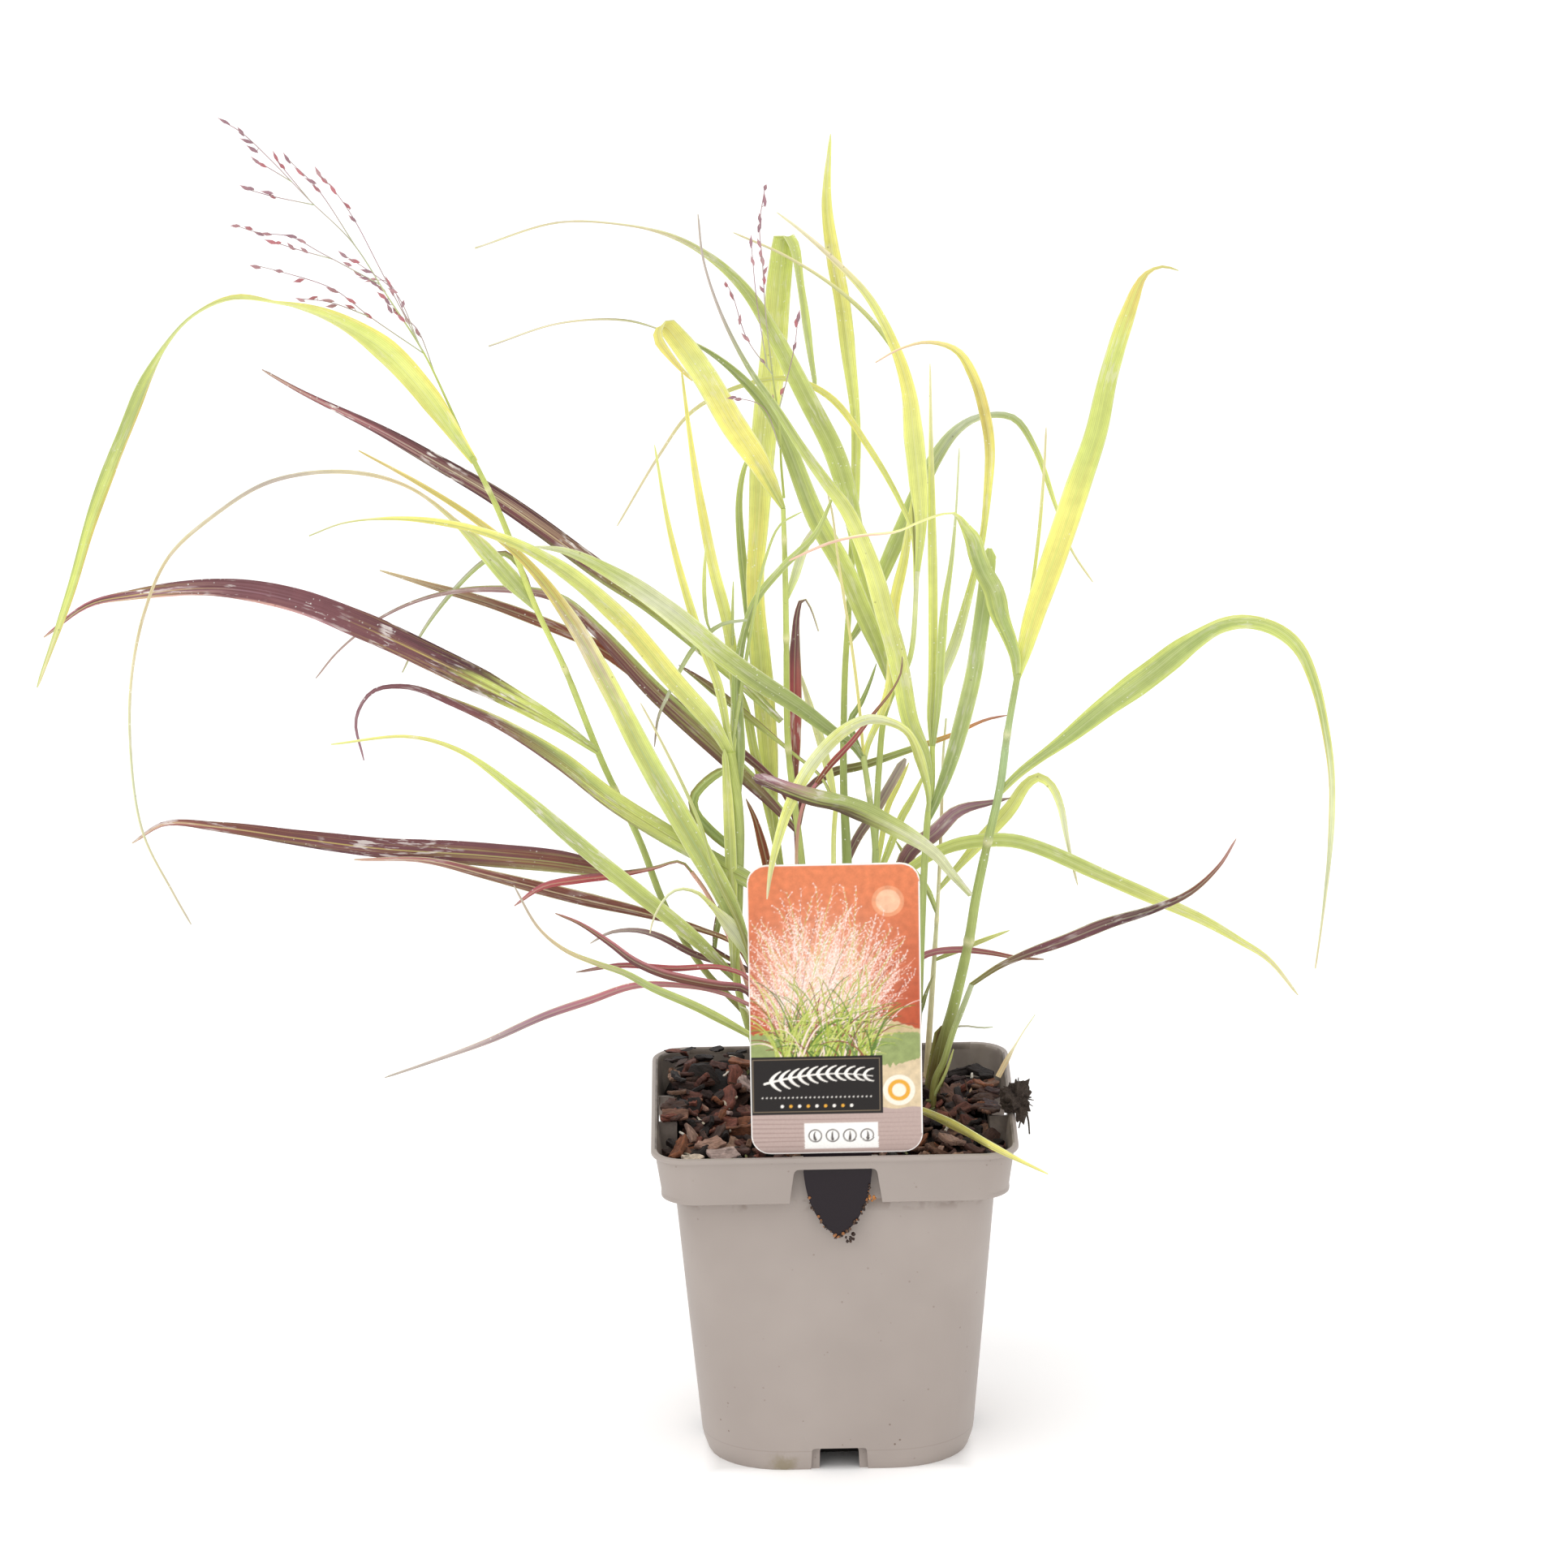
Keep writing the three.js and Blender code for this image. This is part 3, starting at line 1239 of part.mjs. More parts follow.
// The part of a stem near the soil, widened, so that the soil gets a plain hole round it.
function socket({ stem: culm }) {
  const whole = stem(culm, SOIL.gap);
  const above = box(500, 500, 500, [0, 0, SOIL.mulch + 14 + 250]);
  return whole.subtract(above);
}

function spikelet(point, ahead) {
  const body = new THREE.SphereGeometry(1, 4, 2);
  body.scale(SPIKELET.width / 2, SPIKELET.length / 2, SPIKELET.width / 2);
  const lean = new THREE.Quaternion().setFromUnitVectors(new THREE.Vector3(0, 1, 0), ahead);
  const place = new THREE.Matrix4().compose(point, lean, new THREE.Vector3(1, 1, 1));
  return fromGeometry(body, place);
}

function makePanicle({ name, axis, branches }) {
  const mainAxis = { ...axis, width: [SPIKELET.axis, SPIKELET.twig] };
  const pieces = [blade(mainAxis)];
  const curves = [chords(mainAxis)];
  branches.forEach((row) => {
    const branch = { ...grownOn(curves, row), width: [SPIKELET.twig] };
    pieces.push(blade(branch));
    const curve = chords(branch);
    curves.push(curve);
    for (let i = 0; i < branch.seeds; i += 1) {
      const share = 1 - (0.5 * i) / branch.seeds;
      const ahead = curve.getTangentAt(share);
      const aside = new THREE.Vector3(-ahead.z, 0.4, ahead.x).multiplyScalar(i % 2 ? 0.5 : -0.5);
      const lean = ahead.clone().add(aside).normalize();
      const point = curve.getPointAt(share).addScaledVector(lean, SPIKELET.length * 0.35);
      pieces.push(spikelet(point, lean));
    }
  });
  pieces.push(spikelet(curves[0].getPointAt(1), curves[0].getTangentAt(1)));
  return toMesh(name, COLOURS.spikelet, join(pieces));
}

// ---------------------------------------------------------------- loose things on the mulch

const CLOD = { centre: [86.5, -22, 168], size: [7.5, 8, 8.5], knobs: 6, seed: 5 };
const CLOD_ROOTS = [
  { route: [[90, 158], [92, 150], [92.5, 143]], depth: [-22, -24], width: [0.9, 0.8] },
  { route: [[87.5, 158], [88.5, 151], [87.5, 146]], depth: [-25, -27], width: [0.9, 0.8] },
];
const TWIG = {
  route: [[79.5, 172.5], [80, 176], [83, 181], [89, 191], [96, 203]],
  depth: [-22, -20, -14],
  width: [2.4, 2.4, 1.2, 0.9],
  segment: 8,
};

// A crumb of soil with roots, saddled over the right-hand rim.
function makeClod() {
  const random = seeded(CLOD.seed);
  const [width, length, height] = CLOD.size;
  const place = new THREE.Matrix4().makeScale(width, length, height).setPosition(...CLOD.centre);
  const pieces = [fromGeometry(new THREE.IcosahedronGeometry(1, 1), place)];
  for (let i = 0; i < CLOD.knobs; i += 1) {
    const angle = 2.4 * i;
    const at = new THREE.Matrix4().makeTranslation(
      CLOD.centre[0] + Math.cos(angle) * width * 0.7,
      CLOD.centre[1] + Math.sin(angle) * length * 0.7,
      CLOD.centre[2] + (random() - 0.55) * height * 1.5,
    );
    pieces.push(fromGeometry(new THREE.IcosahedronGeometry(2 + 2 * random(), 0), at));
  }
  pieces.push(...CLOD_ROOTS.map(blade));
  const rim = box(
    12, 80, 40,
    [rimHalf + SOIL.gap - 6, CLOD.centre[1], POT.height + SOIL.gap - 20],
  );
  return toMesh('soil_crumb', COLOURS.clod, largest(join(pieces).subtract(rim)), 1);
}

// ---------------------------------------------------------------- the whole part

const part = new THREE.Group();
part.name = 'potted_switchgrass';
const sockets = join(TILLERS.map(socket));

part.add(makePot());
part.add(makeSoil(sockets));
part.add(makeMulch(sockets));
part.add(makeLabel());
TILLERS.forEach((tiller) => part.add(toMesh(tiller.name, tiller.colour, tillerSolid(tiller))));
CLASPING_LEAVES.forEach((leaf) => part.add(toMesh(leaf.name, leaf.colour, blade(leaf))));
PANICLES.forEach((panicle) => part.add(makePanicle(panicle)));
part.add(makeClod());
part.add(toMesh('dry_twig', COLOURS.straw, blade(TWIG)));

export default part;
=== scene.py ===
"""A potted switchgrass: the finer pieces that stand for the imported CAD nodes.

Sizes are millimetres, but those of the materials, the light and the camera, which are metres as
in Blender. Every node has one object, at the origin, with its place in its mesh.
"""
import math
import random

import bpy
from mathutils import Matrix, Vector, noise


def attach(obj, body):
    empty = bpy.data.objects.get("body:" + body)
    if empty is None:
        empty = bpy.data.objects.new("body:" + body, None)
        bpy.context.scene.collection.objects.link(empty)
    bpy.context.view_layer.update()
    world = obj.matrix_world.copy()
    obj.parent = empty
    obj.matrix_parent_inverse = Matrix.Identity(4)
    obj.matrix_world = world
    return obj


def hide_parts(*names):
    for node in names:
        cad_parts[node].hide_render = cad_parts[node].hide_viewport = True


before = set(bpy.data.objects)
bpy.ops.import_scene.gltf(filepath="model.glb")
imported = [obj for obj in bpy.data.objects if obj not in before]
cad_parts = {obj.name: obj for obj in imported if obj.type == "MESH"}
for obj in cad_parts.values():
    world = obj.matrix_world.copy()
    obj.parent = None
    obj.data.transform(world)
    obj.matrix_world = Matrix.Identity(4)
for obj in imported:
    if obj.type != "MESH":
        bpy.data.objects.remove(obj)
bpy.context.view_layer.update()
MM = 0.001

# ------------------------------------------------------------------ colours

PALETTE = {
    "lime": "#dce085", "yellow": "#e9e27e", "gold": "#dac872", "yellow_green": "#cfd87c",
    "fresh": "#bfca76", "green": "#abb771", "leaf_green": "#9cab68", "mid_green": "#86965a",
    "blue_green": "#a8bd8c", "olive": "#87834a", "grey_green": "#b8c09c",
    "pale": "#dde1b4", "cream": "#f1e9c0", "tan": "#ceb68c", "straw": "#dccfa6",
    "ash": "#b9a9a5", "lilac": "#a07d86", "mauve": "#b48b8f", "plum": "#734a4e", "dark_plum": "#523338",
    "wine": "#774a3e", "rose": "#b8767c", "red": "#a85356", "rust": "#84452f",
    "pink": "#e4b4a4", "orange": "#dc9456", "sheath": "#6d6036", "brown": "#5f4734",
}


def linear(code):
    """The linear red, green and blue of a hex colour."""
    values = [int(code[i:i + 2], 16) / 255 for i in (1, 3, 5)]
    return Vector([v / 12.92 if v < 0.04045 else ((v + 0.055) / 1.055) ** 2.4 for v in values])


def vivid(ink):
    """A colour made fuller and lighter, as thin leaves are with light behind them."""
    grey = Vector([sum(ink) / 3] * 3)
    return Vector([max(v * 1.03, 0.004) for v in grey + (ink - grey) * 1.05])


INKS = {name: vivid(linear(code)) for name, code in PALETTE.items()}


def inks_of(names):
    """The inks that a string names, in their order."""
    return [INKS[name] for name in names.split()]


def along(values, share):
    """The value at a share of the way along evenly spaced values."""
    place = min(max(share, 0), 1) * (len(values) - 1)
    index = min(int(place), len(values) - 2)
    if index < 0:
        return values[0]
    return values[index] + (values[index + 1] - values[index]) * (place - index)


def smoothstep(value, low, high):
    """From 0 at low to 1 at high, with soft ends."""
    share = min(max((value - low) / (high - low), 0), 1)
    return share * share * (3 - 2 * share)


# ------------------------------------------------------------------ building meshes


class Shape:
    """Points, faces and their inks and grain, gathered before they become one object.

    tint carries how streaked a point is in its alpha, and vein how scuffed it is.
    """

    def __init__(self):
        self.points = []
        self.faces = []
        self.tints = []
        self.veins = []
        self.grain = []

    def add(self, points, faces, tints, grain, veins=None, streaked=0.0, scuffed=0.0):
        first = len(self.points)
        self.points.extend(points)
        self.faces.extend([tuple(first + i for i in face) for face in faces])
        self.tints.extend([(*tint, streaked) for tint in tints])
        self.veins.extend([(*vein, scuffed) for vein in veins or tints])
        self.grain.extend(grain)

    def finish(self, node, slot, material, sharp=38):
        mesh = bpy.data.meshes.new(node + "_fine")
        mesh.from_pydata([tuple(p * MM) for p in self.points], [], self.faces)
        for name, inks in (("tint", self.tints), ("vein", self.veins)):
            layer = mesh.color_attributes.new(name, "FLOAT_COLOR", "POINT")
            layer.data.foreach_set("color", [v for ink in inks for v in ink])
        layer = mesh.uv_layers.new(name="grain")
        corners = [self.grain[i] for face in self.faces for i in face]
        layer.data.foreach_set("uv", [v for corner in corners for v in corner])
        return place(node, mesh, slot, material, sharp)


def place(node, mesh, slot, material, sharp=38):
    """Puts a mesh in the scene as the piece that stands for a CAD node."""
    mesh.materials.clear()
    mesh.materials.append(material)
    mesh.shade_smooth()
    mesh.set_sharp_from_angle(angle=math.radians(sharp))
    piece = bpy.data.objects.new(node + "_fine", mesh)
    bpy.context.scene.collection.objects.link(piece)
    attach(piece, "root")
    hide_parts(node)
    return piece


def rings_to_faces(count, size, capped=True):
    """Faces of a tube through count rings of size points each."""
    faces = []
    for i in range(count - 1):
        for k in range(size):
            a = i * size + k
            b = i * size + (k + 1) % size
            faces.append((a, b, b + size, a + size))
    if capped:
        faces.append(tuple(range(size))[::-1])
        faces.append(tuple((count - 1) * size + k for k in range(size)))
    return faces


# ------------------------------------------------------------------ layout of the clump

# The photo's viewpoint, and the point that the plant fans out from, front to back.
VIEWPOINT = Vector((-43, -3724, 1395))
CROWN = Vector((0, 10, 150))
FAN = {"low": 130, "high": 430, "factor": 2.6}
ROOT_DEPTH = 136
BARK_LEVEL = 150
# A leaf's keel and ripple as shares of its width, and half its thickness in mm.
LEAF = {"fold": 0.1, "ripple": 0.035, "skin": 0.2, "swell": 0.1, "midrib": 0.12}
# How many points lie across a blade that is wider than so many mm.
ACROSS = ((6, 17), (3.5, 11), (2, 7), (0, 5))
PUCKER = {"shortest": 34, "longest": 58}
# The sheath below each knot, by its distance from the knot in mm.
SHEATH = {"swell": 0.09, "from": 6, "full": 9, "fades": 50, "ends": 80}


def seen_from_front(point, depth):
    """Slides a point of the layout plane along the line of sight to a depth."""
    reach = math.hypot(point[0] - CROWN.x, point[1] - CROWN.z)
    factor = 1 + (FAN["factor"] - 1) * smoothstep(reach, FAN["low"], FAN["high"])
    fanned = CROWN.y + (depth - CROWN.y) * factor
    share = (fanned - VIEWPOINT.y) / -VIEWPOINT.y
    return VIEWPOINT + (Vector((point[0], 0, point[1])) - VIEWPOINT) * share


def layout_place(point):
    """The x and z in the layout plane that a point is seen at."""
    share = VIEWPOINT.y / (VIEWPOINT.y - point.y)
    seen = VIEWPOINT + (point - VIEWPOINT) * share
    return seen.x, seen.z


def row(route, depth, width, look, **extras):
    """One stem or leaf, by evenly spaced values from its base to its tip.

    route is its course in the layout plane, depth how far behind that plane it is, width its
    width, turn its twist in degrees, and look its inks. edges names the inks of its margins, one
    margin before the bar and the other after it, and reach how far from its middle they begin,
    where 1 is the margin itself. core is how much darker its middle is, veins the inks of its
    streaks, streaked and scuffed how many streaks and scuffs it has, and ragged how uneven the
    borders between its inks are. A free leaf starts where its route does and not on its stem.
    knots are the heights of a stem's rings in the layout.
    """
    return {"route": route, "depth": depth, "width": width, "look": look, "turn": (0, 0), **extras}


def curve_of(line, start=None, step=4.0):
    """Evenly spaced points and directions along a row's route."""
    walked = [0.0]
    for a, b in zip(line["route"], line["route"][1:]):
        walked.append(walked[-1] + math.dist(a, b))
    knots = [
        seen_from_front(point, along(line["depth"], far / walked[-1]))
        for point, far in zip(line["route"], walked)
    ]
    if start is not None:
        knots[0] = start
    knots = [2 * knots[0] - knots[1], *knots, 2 * knots[-1] - knots[-2]]
    dense = [knots[1]]
    for p0, p1, p2, p3 in zip(knots, knots[1:], knots[2:], knots[3:]):
        d0, d1, d2 = [max((b - a).length, 1e-4) ** 0.5 for a, b in ((p0, p1), (p1, p2), (p2, p3))]
        t1 = ((p1 - p0) / d0 - (p2 - p0) / (d0 + d1) + (p2 - p1) / d1) * d1
        t2 = ((p2 - p1) / d1 - (p3 - p1) / (d1 + d2) + (p3 - p2) / d2) * d1
        for i in range(1, 17):
            t = i / 16
            dense.append(
                p1 + t1 * t + (3 * (p2 - p1) - 2 * t1 - t2) * t ** 2
                + (2 * (p1 - p2) + t1 + t2) * t ** 3
            )
    far = [0.0]
    for a, b in zip(dense, dense[1:]):
        far.append(far[-1] + (b - a).length)
    count = max(4, round(far[-1] / step))
    points = []
    index = 0
    for i in range(count + 1):
        target = far[-1] * i / count
        while index < len(dense) - 2 and far[index + 1] < target:
            index += 1
        share = (target - far[index]) / max(far[index + 1] - far[index], 1e-9)
        points.append(dense[index].lerp(dense[index + 1], min(share, 1)))
    return points, far[-1]


def nearest(points, goal):
    """The one of the points that is nearest to a goal."""
    return min(points, key=lambda p: (p - goal).length)


def stations(line, start=None, step=4.0):
    """Place, direction, side and face of each station along a row."""
    points, length = curve_of(line, start, step)
    side = None
    found = []
    for i, point in enumerate(points):
        before = points[max(i - 1, 0)]
        after = points[min(i + 1, len(points) - 1)]
        ahead = (after - before).normalized()
        side = ahead.cross(Vector((0, 1, 0))) if side is None else side
        side = (side - ahead * side.dot(ahead)).normalized()
        face = side.cross(ahead).normalized()
        share = i / (len(points) - 1)
        turn = math.radians(along(line["turn"], share))
        turned = side * math.cos(turn) + face * math.sin(turn)
        found.append((share, point, turned, turned.cross(ahead), along(line["width"], share)))
    return found, length


def cross_section(width, far, places, wave, phase):
    """Places round a blade's cut: across it, from -1 to 1, and out from its back in mm."""
    ring = []
    for u in places:
        fold = LEAF["fold"] * width * (math.sqrt(u * u + 0.03) - 0.17) / 0.84
        beat = math.sin(6.28 * far / wave + phase + 2.1 * (u > 0))
        ripple = LEAF["ripple"] * width * u * u * beat
        skin = LEAF["skin"] + LEAF["swell"] * (1 - abs(u))
        skin += LEAF["midrib"] if abs(u) < 0.05 else 0
        ring.append((u, fold + ripple, skin))
    under = [(u, out - skin if abs(u) < 0.99 else out) for u, out, skin in ring]
    return under + [(u, out + skin) for u, out, skin in ring[-2:0:-1]]


def blade_ink(line, inks, edges, u, share, drift):
    """The ink at a place across a blade, before its rim and its light side."""
    tint = along(inks, share + 0.09 * drift * line.get("ragged", 1))
    if len(edges) == 2:
        margin = along(edges[0] if u < 0 else edges[1], share + 0.05 * drift)
        inner = line.get("reach", 0.5)
        return tint.lerp(margin, 0.9 * smoothstep(abs(u) + 0.35 * drift, inner, inner + 0.28))
    centre = 1 - smoothstep(abs(u + 0.3 * drift), 0.25, 0.8)
    tint = tint * (1.04 - line.get("core", 0.16) * centre)
    tint.z *= 1 + 0.1 * centre
    return tint


def blade(shape, line, start=None):
    """A leaf blade: a thin strip with a soft keel, a raised midrib and slightly wavy margins."""
    found, length = stations(line, start)
    widest = max(line["width"])
    across = next(count for least, count in ACROSS if widest > least)
    places = [math.sin(math.pi / 2 * (-1 + 2 * k / (across - 1))) for k in range(across)]
    inks = inks_of(line["look"])
    edges = [inks_of(side) for side in line.get("edges", "").split("|")]
    vein_inks = inks_of(line.get("veins", ""))
    phase = dice.uniform(0, 6.28)
    wave = dice.uniform(PUCKER["shortest"], PUCKER["longest"])
    seed = dice.uniform(0, 99)
    fold_shade = dice.choice((-1, 1)) * dice.uniform(0.03, 0.08)
    points = []
    tints = []
    veins = []
    grain = []
    for share, point, side, face, width in found:
        half = max(width * (1 if share < 1 else 0.3), 0.4) / 2
        far = share * length
        for u, out in cross_section(width, far, places, wave, phase):
            points.append(point + side * (half * u) + face * out)
            grain.append(((u * half + 1e-4) * MM, (far + 400 * seed) * MM))
            lane = u * widest * 0.45 + seed
            drift = noise.noise(Vector((lane, far * 0.011, seed)))
            drift += 0.5 * noise.noise(Vector((lane * 2.7, far * 0.03, seed + 5)))
            tint = blade_ink(line, inks, edges, u, share, drift)
            veins.append(along(vein_inks, share) if vein_inks else tint.lerp(INKS["pale"], 0.4))
            if len(edges) != 2 and widest > 3:
                rim = tint.lerp(INKS["pale"], 0.65)
                tint = tint.lerp(rim, smoothstep(abs(u), 0.86, 0.97))
            # Painted shade: one half of the blade is darker and the other lighter, as if light fell
            # across its fold.
            tint = tint * (1 + fold_shade * math.copysign(smoothstep(abs(u), 0, 0.2), u))
            tints.append(tint * (1 + 0.14 * noise.noise(point * 0.03)))
    size = 2 * (across - 1)
    streaked = line.get("streaked", 0.3 if widest > 3 else 0.1)
    shape.add(points, rings_to_faces(len(found), size), tints, grain, veins, streaked,
              line.get("scuffed", 0.25 if widest > 5 else 0.0))
    return [point for _, point, *_ in found]


def stem(shape, line, size=12):
    """A round stem, with a ring and a paler band at each of its knots."""
    found, length = stations(line, step=3.0)
    first = found[0]
    if line["route"][0][1] < BARK_LEVEL:
        root = first[1].copy()
        root.z = ROOT_DEPTH
        found.insert(0, (0.0, root, *first[2:]))
    knots = []
    for height in line.get("knots", ()):
        lowest = min(found, key=lambda station: abs(layout_place(station[1])[1] - height))
        knots.append(lowest[0] * length)
    inks = inks_of(line["look"])
    seed = dice.uniform(0, 99)
    points = []
    tints = []
    veins = []
    grain = []
    for share, point, side, face, width in found:
        far = share * length
        swell = max([math.exp(-((far - knot) / 2.0) ** 2) for knot in knots] or [0])
        above = min([knot - far for knot in knots if knot > far] or [999])
        dark = max([math.exp(-((far - knot + 4.2) / 1.8) ** 2) for knot in knots] or [0])
        sheath = SHEATH["swell"] * smoothstep(above, SHEATH["from"], SHEATH["full"])
        sheath *= 1 - smoothstep(above, SHEATH["fades"], SHEATH["ends"])
        radius = width / 2 * (1 + 0.16 * swell + sheath)
        tint = along(inks, share) * (1 + 0.12 * noise.noise(point * 0.04))
        tint = tint.lerp(INKS["cream"], 0.55 * swell).lerp(INKS["olive"], 0.4 * dark)
        for k in range(size):
            angle = 2 * math.pi * k / size
            points.append(point + side * (radius * math.cos(angle)) + face * (radius * math.sin(angle)))
            tints.append(tint * (1 + 0.1 * noise.noise(Vector((k * 1.7, far * 0.03, length)))))
            veins.append(tint.lerp(INKS["pale"], 0.5))
            grain.append(((angle * radius + 1) * MM, (far + 400 * seed) * MM))
    shape.add(points, rings_to_faces(len(found), size), tints, grain, veins, 0.35)
    return [point for _, point, *_ in found]


